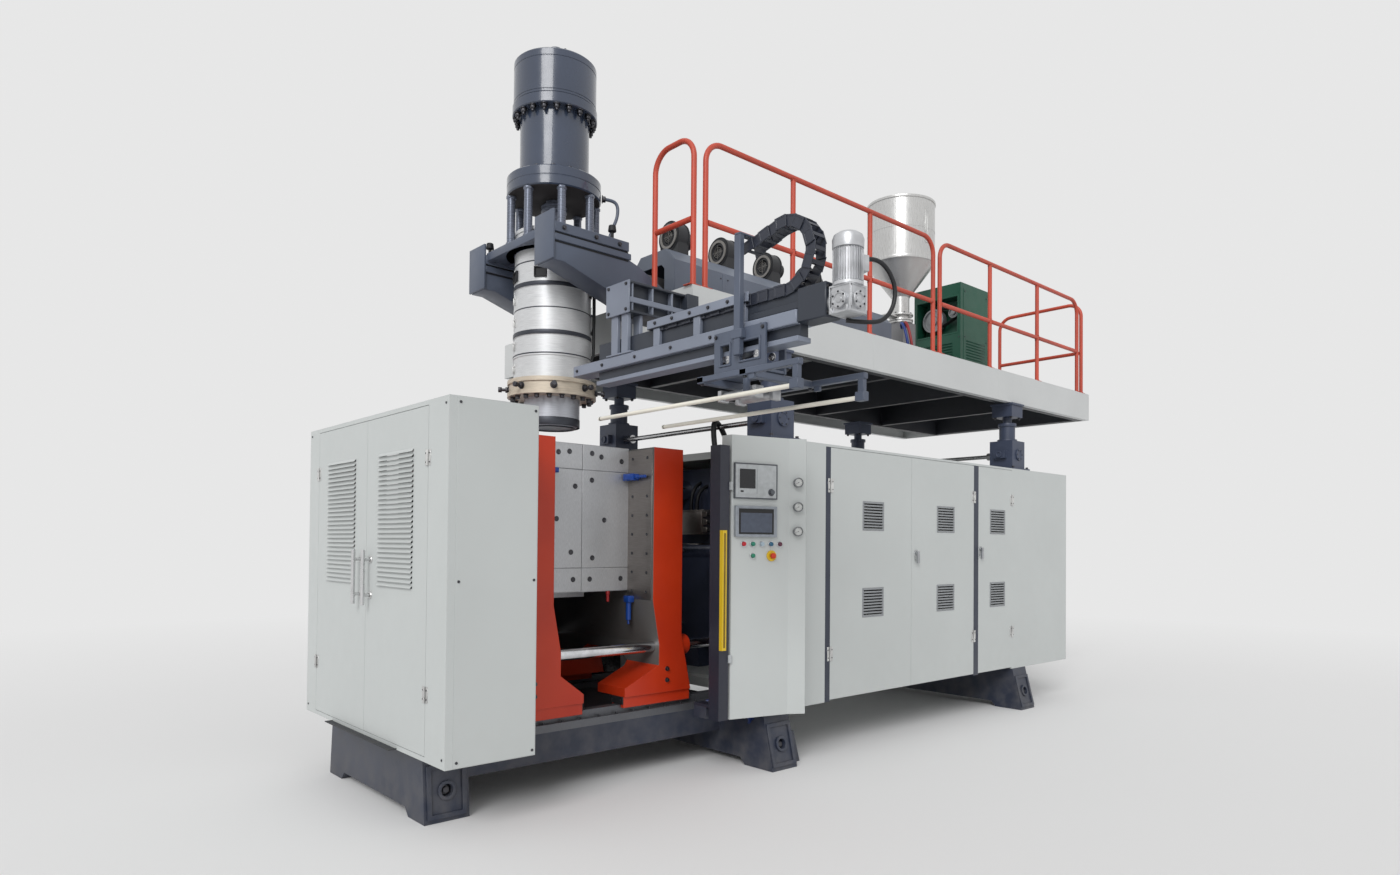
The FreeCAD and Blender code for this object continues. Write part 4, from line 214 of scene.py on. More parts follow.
world = bpy.data.worlds.new("studio")
bpy.context.scene.world = world
world.use_nodes = True
sky = world.node_tree
soft = sky.nodes["Background"]
soft.inputs["Color"].default_value = (1, 1, 1, 1)
soft.inputs["Strength"].default_value = 0.62
seen = sky.nodes.new("ShaderNodeBackground")
seen.inputs["Color"].default_value = (pale, pale, pale, 1)
rays = sky.nodes.new("ShaderNodeLightPath").outputs
mirror_or_glass, plain_view = sky.nodes.new("ShaderNodeMath"), sky.nodes.new("ShaderNodeMath")
mirror_or_glass.operation = plain_view.operation = "MAXIMUM"
choice = sky.nodes.new("ShaderNodeMixShader")
for source, target in ((rays["Is Glossy Ray"], mirror_or_glass.inputs[0]),
                       (rays["Is Transmission Ray"], mirror_or_glass.inputs[1]),
                       (mirror_or_glass.outputs[0], plain_view.inputs[0]),
                       (rays["Is Camera Ray"], plain_view.inputs[1]),
                       (plain_view.outputs[0], choice.inputs[0]), (soft.outputs[0], choice.inputs[1]),
                       (seen.outputs[0], choice.inputs[2]),
                       (choice.outputs[0], sky.nodes["World Output"].inputs["Surface"])):
    sky.links.new(source, target)

lamp = bpy.data.objects.new("soft_lamp", bpy.data.lights.new("soft_lamp", "SUN"))
bpy.context.scene.collection.objects.link(lamp)
lamp.data.energy = 1.7
lamp.data.angle = math.radians(30)
lamp.matrix_world = Vector((-0.75, -0.52, 0.62)).to_track_quat("Z", "Y").to_matrix().to_4x4()


# ------------ welded base
# Box beams on flared feet, welded up from plate and sprayed blue-black. The paint is satin,
# rubbed lighter along its edges and dusty near the floor.

def painted(name, colour, roughness=0.42, wear=0.35, dust=0.25, edge=0.004, peel=0.02,
            shade=0.14, coat=0.0):
    """Sprayed paint: uneven in tone, lighter along rubbed edges, dusty low down."""
    finish = Finish(name, Coat_Weight=coat)
    patch = finish.noise(1.7, 3.0)
    grime = finish.noise(9.0, 5.0)
    eased, rubbed = finish.worn(grime, edge, wear)
    tone = finish.between(finish.span(patch, 0.3, 0.7), shaded(colour, 1 - shade),
                          shaded(colour, 1 + shade))
    height = finish.axis(2)
    dusty = finish.span(height, 0.75, 0.0) * finish.span(grime, 0.35, 0.75) * dust
    tone = finish.between(dusty, tone, (0.30, 0.28, 0.25, 1))
    tone = finish.between(rubbed, tone, shaded(colour, 1.5, 0.05))
    gloss = finish.span(grime, 0.2, 0.8, roughness - 0.06, roughness + 0.10) + dusty * 0.3
    skin = finish.bump(peel, finish.noise(260.0, 1.0), eased)
    return finish.feed(Base_Color=tone, Normal=skin, Roughness=gloss).material


def metal(name, colour, roughness=0.3, grain=(1, 1, 60), depth=0.05, stain=0.3, edge=0.002, metallic=1.0):
    """Bare metal with a drawn, turned or ground grain and faint oil stains."""
    finish = Finish(name, Metallic=metallic)
    lines = finish.noise(14.0, 3.0, stretch=grain)
    cloud = finish.noise(3.0, 3.0)
    eased = finish.node("Bevel", {"samples": 4}, {"Radius": edge})
    shine = finish.between(finish.span(lines, 0.3, 0.7), shaded(colour, 0.72), colour)
    tone = finish.between(finish.span(cloud, 0.5, 0.8) * stain, shine, shaded(colour, 0.4))
    gloss = finish.span(lines, 0.2, 0.8, roughness - 0.06, roughness + 0.12)
    return finish.feed(Base_Color=tone, Normal=finish.bump(depth, lines, eased), Roughness=gloss).material


def dress(material, *nodes):
    """Gives CAD nodes their finish."""
    for node in nodes:
        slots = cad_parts[node].data.materials
        slots.clear()
        slots.append(material)


def clear():
    """Leaves nothing selected, in object mode."""
    if bpy.context.mode != "OBJECT":
        bpy.ops.object.mode_set(mode="OBJECT")
    bpy.ops.object.select_all(action="DESELECT")


def seat(name):
    """Names a new primitive and writes its place into its mesh."""
    piece = bpy.context.object
    piece.name = name
    bpy.ops.object.transform_apply(location=True, rotation=True, scale=True)
    return piece


def bar(name, start, end, radius, sides=20, far=None, edge=0, segments=1):
    """A round or many-sided bar, a cone where its far end has another radius."""
    clear()
    start, end = Vector(start), Vector(end)
    run = end - start
    bpy.ops.mesh.primitive_cone_add(
        vertices=sides, radius1=radius, radius2=radius if far is None else far,
        depth=run.length, location=(start + end) / 2,
        rotation=run.to_track_quat("Z", "Y").to_euler())
    return soften(seat(name), edge, segments) if edge else seat(name)


def hold(piece):
    """Makes one piece the active and only selected one."""
    clear()
    bpy.context.view_layer.objects.active = piece
    piece.select_set(True)


def choose(piece, test):
    """Opens a piece in edit mode with the faces that pass the test selected."""
    hold(piece)
    bpy.ops.object.mode_set(mode="EDIT")
    bpy.ops.mesh.select_mode(type="FACE")
    bpy.ops.mesh.select_all(action="DESELECT")
    skin = bmesh.from_edit_mesh(piece.data)
    for face in skin.faces:
        if test(face.calc_center_median(), face.normal):
            face.select_set(True)
    bmesh.update_edit_mesh(piece.data)


def plane(point, right, up=(0, 0, 1)):
    """The place of a piece modelled flat at the origin, on a wall that faces right x up."""
    right, up = Vector(right).normalized(), Vector(up).normalized()
    turn = Matrix((right, up, right.cross(up))).transposed().to_4x4()
    return Matrix.Translation(point) @ turn


def spot(*point):
    """The place of a piece that keeps its turn."""
    return Matrix.Translation(point)


def facing(*way):
    """A test for choose: the faces that look this way."""
    return lambda centre, normal: normal.dot(Vector(way)) > 0.9


def sink(piece, way, margin, push):
    """Insets the faces that look one way and pushes them in, or draws them out."""
    choose(piece, facing(*way))
    if margin:
        bpy.ops.mesh.inset(thickness=margin)
    bpy.ops.mesh.extrude_region_move(TRANSFORM_OT_translate={"value": push})
    clear()
    return piece


def apply(piece, kind, **settings):
    """Adds a modifier and applies it."""
    hold(piece)
    change = piece.modifiers.new(kind, kind)
    for name, value in settings.items():
        setattr(change, name, value)
    bpy.ops.object.modifier_apply(modifier=change.name)
    return piece


def smooth(piece, degrees):
    """Shades the edges that are flatter than an angle smooth."""
    hold(piece)
    bpy.ops.object.shade_smooth_by_angle(angle=math.radians(degrees))
    return piece


def soften(piece, width=0.003, segments=2):
    """Rounds the sharp edges and shades the curved faces smooth."""
    apply(piece, "BEVEL", width=width, segments=segments, limit_method="ANGLE",
          angle_limit=math.radians(40))
    return smooth(piece, 38)


def tube(name, start, end, radius, wall, sides=32, edge=0.002):
    """A ring or sleeve: an open pipe given a wall inwards."""
    clear()
    start, end = Vector(start), Vector(end)
    run = end - start
    bpy.ops.mesh.primitive_cylinder_add(
        vertices=sides, radius=radius, depth=run.length, end_fill_type="NOTHING",
        location=(start + end) / 2, rotation=run.to_track_quat("Z", "Y").to_euler())
    piece = apply(seat(name), "SOLIDIFY", thickness=wall, offset=-1)
    return soften(piece, edge)


def at(point, axis=(0, 0, 1)):
    """The place of a piece that was modelled at the origin, looking along +Z."""
    way = Vector(axis).to_track_quat("Z", "Y").to_matrix().to_4x4()
    return Matrix.Translation(point) @ way


def move(piece, place):
    """Takes a finished mesh to its place."""
    piece.data.transform(place)
    return piece


def unite(name, *pieces):
    """Joins pieces into one of the given name."""
    clear()
    for piece in pieces:
        piece.select_set(True)
    bpy.context.view_layer.objects.active = pieces[0]
    bpy.ops.object.join()
    pieces[0].name = name
    return pieces[0]


def repeat(piece, places):
    """Copies a piece to all its places, each copy with its own mesh, as one object."""
    name = piece.name
    copies = []
    for place in places:
        twin = piece.copy()
        twin.data = piece.data.copy()
        bpy.context.scene.collection.objects.link(twin)
        copies.append(move(twin, place))
    bpy.data.objects.remove(piece)
    return unite(name, *copies)


def coat(piece, material):
    """Gives a whole piece one finish."""
    piece.data.materials.clear()
    piece.data.materials.append(material)
    return piece


def mount(piece, body, places=None):
    """Fixes a finished piece, or its copies at all the places, to the body that carries it."""
    if places:
        piece = repeat(piece, places)
    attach(piece, body)
    return piece


def fit(piece, material, body, places=None):
    """Gives a piece its finish, then fixes it to the body that carries it."""
    return mount(coat(piece, material), body, places)


def polygon(name, points, fill="NGON"):
    """A flat face, or only its edge, through the given points."""
    clear()
    bpy.ops.mesh.primitive_circle_add(vertices=len(points), radius=1, fill_type=fill)
    piece = seat(name)
    for vertex, point in zip(piece.data.vertices, points):
        vertex.co = point
    return piece


def face_out(piece):
    """Turns all the faces of a closed piece outward."""
    choose(piece, lambda centre, normal: True)
    bpy.ops.mesh.normals_make_consistent(inside=False)
    clear()
    return piece


def rim(name, outline, border, depth):
    """A flat frame of sheet, modelled at the origin and looking along +Z."""
    piece = face_out(polygon(name, [(x, y, 0) for x, y in outline]))
    choose(piece, lambda centre, normal: True)
    bpy.ops.mesh.inset(thickness=border)
    bpy.ops.mesh.delete(type="FACE")
    apply(piece, "SOLIDIFY", thickness=depth, offset=0)
    return soften(face_out(move(piece, spot(0, 0, depth / 2))), min(0.0015, depth / 3), 1)


def oblong(width, height):
    """The corners of a rectangle round the origin."""
    return [(-width / 2, -height / 2), (width / 2, -height / 2), (width / 2, height / 2),
            (-width / 2, height / 2)]


def hex_bolt(name, radius, height):
    """A hexagon head on its washer, modelled at the origin and looking along +Z."""
    washer = bar(name, (0, 0, 0), (0, 0, height * 0.2), radius * 1.25, 18, edge=radius * 0.04)
    head = bar(name + "_head", (0, 0, height * 0.2), (0, 0, height), radius, 6)
    sink(head, (0, 0, 1), radius * 0.12, (0, 0, height * 0.05))
    return coat(unite(name, washer, soften(head, radius * 0.08, 1)), screw_black)


screw_black = metal("black_oxide", (0.10, 0.10, 0.11, 1), 0.42, (1, 1, 1), 0.02)

base_paint = painted("base_paint", rgb(42, 48, 64), 0.40)
dress(base_paint, "base_frame", "jack_columns")

centre_y, sill_z, hole_z = 0.705, 0.40, 0.175
foot_faces, bolt_seats = [], []
for middle, front, toe in ((-3.74, -0.015, 0.04), (-1.39, -0.445, 0.10), (2.20, -0.445, 0.10)):
    for way in (-1, 1):
        wall = front if way < 0 else 2 * centre_y - front
        point = Vector((middle, wall + way * toe * (1 - hole_z / sill_z), hole_z))
        slope = Vector((0, -way * toe, sill_z))
        foot_faces.append(plane(point, (-way, 0, 0), slope))
        outward = foot_faces[-1].to_3x3() @ Vector((0, 0, 1))
        bolt_seats.append(at(point - outward * 0.026, outward))
foot_rim = rim("foot_rim", oblong(0.245, 0.31), 0.028, 0.012)
foot_rims = repeat(coat(foot_rim, base_paint), foot_faces)
jack_ring = tube("jack_ring", (0, 0, 0), (0, 0, 0.014), 0.056, 0.02)
jack_rings = repeat(coat(jack_ring, base_paint), foot_faces)
jack_bolts = repeat(hex_bolt("jack_bolt", 0.021, 0.022), bolt_seats)
for piece in (foot_rims, jack_rings, jack_bolts):
    mount(piece, "base")


# ------------ ground guide rails
# Two inverted T rails, ground bright on top, screwed down along both flanges to the beams
# that join the feet.

def cap_screw(name, radius, height):
    """A socket head, modelled at the origin and looking along +Z."""
    piece = bar(name, (0, 0, 0), (0, 0, height), radius, 14)
    sink(piece, (0, 0, 1), radius * 0.45, (0, 0, -height * 0.7))
    return coat(soften(piece, radius * 0.12, 1), screw_black)


ground_steel = metal("ground_steel", (0.62, 0.62, 0.63, 1), 0.24, (60, 1, 1))
dress(metal("oiled_rail", (0.15, 0.155, 0.17, 1), 0.34, (60, 1, 1), metallic=0.5), "guide_rails")
rail_low, rail_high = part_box("guide_rails")
flange, flange_z, screw_step = 0.0225, 0.45, 0.145
flange_lines = [rail_low[1] + flange, rail_low[1] + 0.16 - flange,
                rail_high[1] - 0.16 + flange, rail_high[1] - flange]
rail_screws = [spot(rail_low[0] + 0.07 + number * screw_step, line, flange_z)
               for number in range(int((rail_high[0] - rail_low[0]) / screw_step))
               for line in flange_lines]
mount(cap_screw("rail_screw", 0.009, 0.012), "base", rail_screws)


# ------------ guard cabinet and its doors
# A folded sheet hood over the clamp's left end, sprayed off-white, with two louvred doors
# on lift-off hinges and a stainless tube handle on each.

def slab(name, low, high, edge=0, segments=1):
    """A plate or block between two corners, its edges rounded where an edge is given."""
    clear()
    low, high = Vector(low), Vector(high)
    bpy.ops.mesh.primitive_cube_add(size=1, location=(low + high) / 2)
    bpy.context.object.scale = high - low
    return soften(seat(name), edge, segments) if edge else seat(name)


def tray(name, low, high, way, margin, push, edge, segments=1):
    """A plate with one face inset and pushed in, or drawn out, its edges rounded."""
    return soften(sink(slab(name, low, high), way, margin, push), edge, segments)


def hinge(name, high, body_leaf=True):
    """Half of a small butt hinge: a screwed leaf and its knuckles, the pin on local X = 0."""
    leaf = slab(name, (0.006, -high / 2, 0), (0.034, high / 2, 0.003), 0.001)
    parts = [coat(leaf, hinge_metal)]
    for step in (-0.28, 0.28):
        parts.append(move(cap_screw(name + "_screw", 0.0045, 0.003), spot(0.022, high * step, 0.003)))
    for low in (-high / 2, high / 6) if body_leaf else (-high / 6,):
        knuckle = bar(name + "_knuckle", (0, low + 0.0005, 0.006), (0, low + high / 3 - 0.0005, 0.006),
                      0.0065, 16, edge=0.0008)
        parts.append(coat(knuckle, hinge_metal))
    return unite(name, *parts)


def hang(name, leaf_body, pin, onto_leaf, outward, high):
    """Hinges at two heights: one half on the frame, the other on the door."""
    for side, right, body in (("frame", -onto_leaf, "base"), ("door", onto_leaf, leaf_body)):
        places = [plane((*pin, z), right, outward.cross(right)) for z in hinge_z]
        mount(hinge("%s_%s_hinge" % (name, side), high, side == "frame"), body, places)


panel_colour = rgb(190, 194, 193)
panel_paint = painted("panel_paint", panel_colour, 0.42, 0.12, 0.10, 0.003, 0.03, shade=0.022)
dress(panel_paint, "guard_cabinet")
hinge_metal = metal("zinc_hinge", (0.74, 0.74, 0.73, 1), 0.34, (1, 1, 1), 0.03, 0.1)

door_paint = Finish("guard_door_paint")
sheen = door_paint.noise(9.0, 5.0)
patch = door_paint.noise(1.7, 3.0)
across = door_paint.axis(1)
near_handle = (across > 0.57) * (across < 0.80) * (door_paint.axis(0) < -3.9506)
brushed = door_paint.noise(14.0, 2.0, stretch=(60, 60, 1))
lit = door_paint.between(door_paint.span(patch, 0.3, 0.7), tuple(c * 0.978 for c in panel_colour),
                         panel_colour)
steel = door_paint.between(door_paint.span(brushed, 0.3, 0.7), (0.52, 0.52, 0.53, 1),
                           (0.76, 0.76, 0.76, 1))
eased = door_paint.node("Bevel", {"samples": 4}, {"Radius": 0.003})
door_paint.feed(
    Base_Color=door_paint.between(near_handle, lit, steel), Metallic=near_handle * 1.0,
    Roughness=door_paint.span(sheen, 0.2, 0.8, 0.36, 0.52) - near_handle * 0.16,
    Normal=door_paint.bump(0.03, door_paint.noise(260.0, 1.0), eased))
dress(door_paint.material, "guard_door_front", "guard_door_rear")

guard_low, guard_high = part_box("guard_cabinet")
fold, seam = 0.045, 0.0016
side_sheets = []
for number, wall in enumerate((guard_low[1], guard_high[1])):
    out = -seam if number == 0 else seam
    low = (guard_low[0] + fold, min(wall, wall + out), guard_low[2] + 0.002)
    high = (guard_high[0] - 0.002, max(wall, wall + out), guard_high[2] - 0.002)
    side_sheets.append(tray("guard_side_sheet_%d" % number, low, high, (0, 1 if number else -1, 0), 0.004,
                            (0, out * 0.25, 0), 0.0006))
    heads = [at((x, wall + out, z), (0, out, 0)) for x in (low[0] + 0.02, high[0] - 0.02)
             for z in (low[2] + 0.03, 1.4, high[2] - 0.03)]
    mount(cap_screw("guard_screw_%d" % number, 0.008, 0.004), "base", heads)
fit(unite("guard_side_sheets", *side_sheets), panel_paint, "base")

end_screws = [at((guard_low[0], y, z), (-1, 0, 0)) for y in (guard_low[1] + 0.035, guard_high[1] - 0.035)
              for z in (guard_low[2] + 0.05, guard_high[2] - 0.04)]
mount(cap_screw("guard_end_screw", 0.007, 0.004), "base", end_screws)

roof = tray("guard_roof", (guard_low[0] + 0.003, guard_low[1] + 0.003, guard_high[2]),
            (guard_high[0] - 0.003, guard_high[1] - 0.003, guard_high[2] + 0.0015), (0, 0, 1), 0.03,
            (0, 0, 0.002), 0.001)
fit(roof, panel_paint, "base")

hinge_z = (0.77, 2.08)
for leaf_body, pin_y, way in (("guard_door_front_leaf", -0.195, -1), ("guard_door_rear_leaf", 1.565, 1)):
    hang(leaf_body, leaf_body, (guard_low[0], pin_y), Vector((0, -way, 0)), Vector((-1, 0, 0)), 0.09)

for leaf_body, handle_y in (("guard_door_front_leaf", 0.605), ("guard_door_rear_leaf", 0.765)):
    roses = [at((guard_low[0], handle_y, z), (-1, 0, 0)) for z in (1.28, 1.50)]
    rose = bar(leaf_body + "_handle_rose", (0, 0, 0), (0, 0, 0.008), 0.024, 28, 0.019, edge=0.0015,
               segments=2)
    sink(rose, (0, 0, 1), 0.006, (0, 0, -0.002))
    fit(rose, hinge_metal, leaf_body, roses)


# ------------ service cabinet and its doors
# The long sheet enclosure round the hydraulics and the switchgear: flat tray doors hung on
# blue-black posts, each with two slatted vents and a swing latch.

dress(panel_paint, "service_cabinet", "service_door_left", "service_door_right", "electric_door",
      "control_door")
dress(base_paint, "door_posts")
latch_metal = metal("cast_latch", (0.50, 0.51, 0.53, 1), 0.38, (1, 1, 1), 0.1, 0.1)
dress(latch_metal, "service_latch", "electric_latch")

front_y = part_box("service_cabinet")[0][1]
doors = (("service_door_left_leaf", -0.774, 1, -0.350), ("service_door_right_leaf", 1.336, -1, 0.730),
         ("electric_door_leaf", 2.056, -1, 1.650))
vent_wide, vent_slats, slat_pitch = 0.25, 9, 0.024
vent_grey = painted("vent_grey", rgb(138, 141, 144), 0.5, 0.2, 0.0, 0.001, shade=0.06)
for leaf_body, pin_x, way, vent_x in doors:
    name = leaf_body.replace("_leaf", "")
    hang(name, leaf_body, (pin_x, front_y), Vector((way, 0, 0)), Vector((0, -1, 0)), 0.11)
    field = (vent_slats - 1) * slat_pitch + 0.010
    middle_x, lows = vent_x + vent_wide / 2, (1.050, 1.755)
    vents = [plane((middle_x, front_y, low + field / 2), (1, 0, 0)) for low in lows]
    blades = [spot(middle_x, front_y, low + number * slat_pitch) for low in lows
              for number in range(vent_slats)]
    vent_frame = rim(name + "_vent_frame", oblong(vent_wide + 0.036, field + 0.036), 0.016, 0.0035)
    fit(vent_frame, vent_grey, leaf_body, vents)
    blade = slab(name + "_vent_blade", (-vent_wide / 2 - 0.002, -0.0022, 0.0085),
                 (vent_wide / 2 + 0.002, -0.0004, 0.0245))
    choose(blade, facing(0, 0, -1))
    bpy.ops.transform.translate(value=(0, -0.006, 0.004))
    clear()
    fit(soften(blade, 0.0006, 1), vent_grey, leaf_body, blades)

for leaf_body, x, z in (("service_door_right_leaf", 0.388, 1.555), ("electric_door_leaf", 1.454, 1.59)):
    plate = rim(leaf_body + "_latch_plate", oblong(0.042, 0.090), 0.006, 0.0012)
    move(plate, plane((x, front_y, z - 0.02), (1, 0, 0)))
    fit(plate, latch_metal, leaf_body)

back_wall, panel_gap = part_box("service_cabinet")[1][1], 0.006
edges = (-1.04, 0.03, 1.10, 2.17, 3.22)
back_panels = [tray("back_panel", (left + panel_gap / 2, back_wall, 0.43),
                    (right - panel_gap / 2, back_wall + 0.002, 2.37), (0, 1, 0), 0.02, (0, 0.0015, 0), 0.0008)
               for left, right in zip(edges, edges[1:])]
fit(unite("back_panels", *back_panels), panel_paint, "base")
heads = [at((x, back_wall + 0.002, z), (0, 1, 0)) for left, right in zip(edges, edges[1:])
         for x in (left + 0.03, right - 0.03) for z in (0.46, 1.10, 1.70, 2.34)]
mount(cap_screw("back_panel_screw", 0.008, 0.005), "base", heads)
back_vent = rim("back_vent", oblong(0.40, 0.30), 0.018, 0.004)
slats = [slab("back_vent_slat", (-0.19, -0.136 + n * 0.0195, 0), (0.19, -0.127 + n * 0.0195, 0.003))
         for n in range(14)]
back_vent = coat(unite("back_vent", back_vent, *slats), vent_grey)
vents = [plane((x, back_wall + 0.0035, 0.75), (-1, 0, 0)) for x in (0.565, 2.70)]
mount(back_vent, "base", vents)


# ------------ control door
# A faceted sheet door with the operator's screens, a row of lit buttons, the emergency stop
# and three pressure gauges; everything is fixed from behind through cut-outs.

face_start, face_end = Vector((-1.850, front_y, 0)), Vector((-1.395, front_y - 0.120, 0))
nose_end = Vector((-1.283, front_y - 0.190, 0))
along = (face_end - face_start).normalized()
face_middle = 0.190


def on_face(reach, z, out=0.0):
    """A place on the slanting face, measured from its hinge edge."""
    outward = along.cross(Vector((0, 0, 1)))
    return plane(face_start + along * reach + Vector((0, 0, z)) + outward * out, along)


def plastic(name, colour, roughness=0.45, grain=350.0, depth=0.04):
    """Moulded plastic or rubber with a fine matt grain."""
    finish = Finish(name)
    cloud = finish.noise(30.0, 4.0)
    tone = finish.between(finish.span(cloud, 0.3, 0.7), shaded(colour, 0.8), colour)
    gloss = finish.span(cloud, 0.2, 0.8, roughness - 0.05, roughness + 0.08)
    skin = finish.bump(depth, finish.noise(grain, 2.0), distance=0.001)
    return finish.feed(Base_Color=tone, Normal=skin, Roughness=gloss).material


case_plastic = plastic("case_plastic", rgb(186, 190, 192), 0.5)
case_line = plastic("case_line", rgb(88, 92, 98), 0.5)
screen_glass = plastic("dark_screen", rgb(34, 35, 38), 0.12, 2.0, 0.0)
lit_glass = plastic("lit_screen", rgb(78, 86, 102), 0.16, 2.0, 0.0)
black_glass = plastic("black_glass", rgb(14, 15, 19), 0.14, 2.0, 0.0)
silver_plastic = plastic("silver_plastic", rgb(150, 156, 164), 0.35)
dress(case_plastic, "parison_controller")
dress(silver_plastic, "touch_panel")
dress(plastic("knob_plastic", rgb(92, 96, 102), 0.45), "controller_knob")

controller_z, touch_z = 2.060, 1.776
border = coat(rim("controller_border", oblong(0.352, 0.251), 0.009, 0.017), case_line)
mount(move(border, on_face(face_middle, controller_z)), "control_door_leaf")
screen = tray("controller_screen", (-0.136, -0.0525, 0.0170), (-0.008, 0.0835, 0.0186), (0, 0, 1), 0.005,
              (0, 0, -0.001), 0.0006)
flap = slab("controller_flap", (-0.128, -0.080, 0.0170), (-0.104, -0.068, 0.0188), 0.0006)
groove = slab("controller_groove", (0.004, -0.088, 0.0170), (0.0065, 0.088, 0.0178), 0.0003)
for piece, material in ((screen, screen_glass), (flap, screen_glass), (groove, case_line)):
    mount(move(coat(piece, material), on_face(face_middle, controller_z)), "control_door_leaf")
knob_low, knob_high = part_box("controller_knob")
knob_ring = coat(tube("knob_ring", (0, 0, 0.0140), (0, 0, 0.0165), 0.026, 0.0085), case_line)
mount(move(knob_ring, on_face(0.315, (knob_low[2] + knob_high[2]) / 2)), "control_door_leaf")

glass = slab("touch_glass", (-0.143, -0.0895, 0.0220), (0.143, 0.0895, 0.0236))
picture = slab("touch_picture", (-0.128, -0.0765, 0.0236), (0.128, 0.0600, 0.0240))
bezel = coat(rim("touch_bezel", oblong(0.340, 0.217), 0.014, 0.0245), silver_plastic)
for piece, material in ((soften(glass, 0.0006, 1), black_glass), (soften(picture, 0.0001, 1), lit_glass)):
    mount(move(coat(piece, material), on_face(face_middle, touch_z)), "control_door_leaf")
mount(move(bezel, on_face(face_middle, touch_z)), "control_door_leaf")

chrome = metal("hard_chrome", (0.82, 0.83, 0.86, 1), 0.12, (1, 1, 1), 0.01, 0.1)
row_z, low_z, first_button, button_pitch, stop_place = 1.618, 1.535, 0.094, 0.0745, 0.325
button_places = [(first_button + button_pitch * n, row_z) for n in range(5)]
button_places.append((first_button + button_pitch, low_z))
button_ring = coat(tube("button_ring", (0, 0, 0), (0, 0, 0.0115), 0.0212, 0.0052), chrome)
mount(button_ring, "control_door_leaf", [on_face(*place) for place in button_places])
button_colours = (("button_red", rgb(186, 24, 38)), ("button_green", rgb(30, 128, 104)),
                  ("button_white", rgb(168, 186, 198)), ("button_dark", rgb(38, 96, 128)),
                  ("button_dark", rgb(92, 40, 62)), ("button_green", rgb(34, 126, 98)))
for number, ((slot, colour), place) in enumerate(zip(button_colours, button_places), start=1):
    lens_plastic = plastic("button_lens_%d" % number, colour, 0.25, 60.0, 0.02)
    dress(lens_plastic, "push_button_%d" % number)
    lens = bar("button_lens_%d" % number, (0, 0, 0.0220), (0, 0, 0.0245), 0.0135, 28, 0.0085)
    lens = coat(soften(lens, 0.0012, 2), lens_plastic)
    mount(move(lens, on_face(*place)), "button_%d" % number)

stop_yellow = plastic("stop_yellow", rgb(224, 186, 34), 0.4)
stop_disc = tube("stop_disc", (0, 0, 0.0005), (0, 0, 0.0118), 0.0388, 0.0258, 40)
mount(move(coat(stop_disc, stop_yellow), on_face(stop_place, low_z)), "control_door_leaf")
stop_red = plastic("stop_red", rgb(206, 52, 24), 0.3, 60.0, 0.02)
dress(stop_red, "emergency_stop")
dome = bar("stop_dome", (0, 0, 0.0380), (0, 0, 0.0425), 0.0195, 32, 0.010, edge=0.002, segments=3)
mount(move(coat(dome, stop_red), on_face(stop_place, low_z)), "stop_button")

gauge_case = metal("gauge_case", (0.26, 0.27, 0.28, 1), 0.22, (1, 1, 1), 0.02)
gauge_dial = plastic("gauge_dial", rgb(206, 208, 206), 0.35, 100.0, 0.01)
dress(gauge_case, "pressure_gauges")
nose_along = (nose_end - face_end).normalized()
nose_middle = face_end.lerp(nose_end, 0.5)
gauge_places = [plane(nose_middle + Vector((0, 0, z)), nose_along) for z in (2.062, 1.886, 1.710)]
dial = coat(bar("gauge_dial", (0, 0, 0.030), (0, 0, 0.0312), 0.027, 36, edge=0.0003), gauge_dial)
bezel = coat(tube("gauge_bezel", (0, 0, 0.0215), (0, 0, 0.0365), 0.0352, 0.0068, 40), gauge_case)
marks = [move(coat(slab("gauge_mark", (0.0185, -0.0006, 0.0312), (0.0245, 0.0006, 0.0315)), screw_black),
              Matrix.Rotation(math.radians(225 - number * 33.75), 4, "Z")) for number in range(9)]
needle = slab("gauge_needle", (-0.006, -0.0008, 0.0322), (0.0215, 0.0008, 0.0328))
sink(needle, (1, 0, 0), 0.0002, (0.002, 0, 0))
needle = move(coat(needle, screw_black), Matrix.Rotation(math.radians(205), 4, "Z"))
boss = coat(bar("gauge_boss", (0, 0, 0.0312), (0, 0, 0.0340), 0.003, 12, edge=0.0005), screw_black)
gauge = unite("gauge_face", dial, bezel, *marks, needle, boss)
mount(gauge, "control_door_leaf", gauge_places)

block = tray("control_hinge_block", (-0.012, -0.028, 0), (0.012, 0.028, 0.020), (0, 0, 1), 0.004,
             (0, 0, 0.002), 0.002, 2)
fit(block, case_plastic, "control_door_leaf",
    [plane((-1.862, front_y + 0.004, z), (1, 0, 0)) for z in (0.82, 2.02)])


# ------------ light curtain
# A dark post beside the open bay with a yellow sensing strip down its front.

curtain = Finish("curtain_finish")
yellow = (curtain.axis(1) < -0.4455) * (curtain.axis(2) < 1.7105)
fine = curtain.noise(30.0, 3.0)
curtain.feed(Base_Color=curtain.between(yellow, rgb(40, 42, 54), rgb(214, 180, 36)),
             Roughness=curtain.span(fine, 0.3, 0.7, 0.34, 0.5))
dress(curtain.material, "light_curtain")
window = tray("curtain_window", (-1.947, -0.4775, 0.905), (-1.933, -0.4748, 1.690), (0, -1, 0), 0.002,
              (0, 0.001, 0), 0.0006)
fit(window, plastic("curtain_window", rgb(120, 96, 20), 0.15, 2.0, 0.0), "base")


# ------------ clamp platens
# Two cast and machined platens, sprayed orange, that slide on wiped shoes; ground strips with
# rows of tapped holes flank the mould on their inner faces.

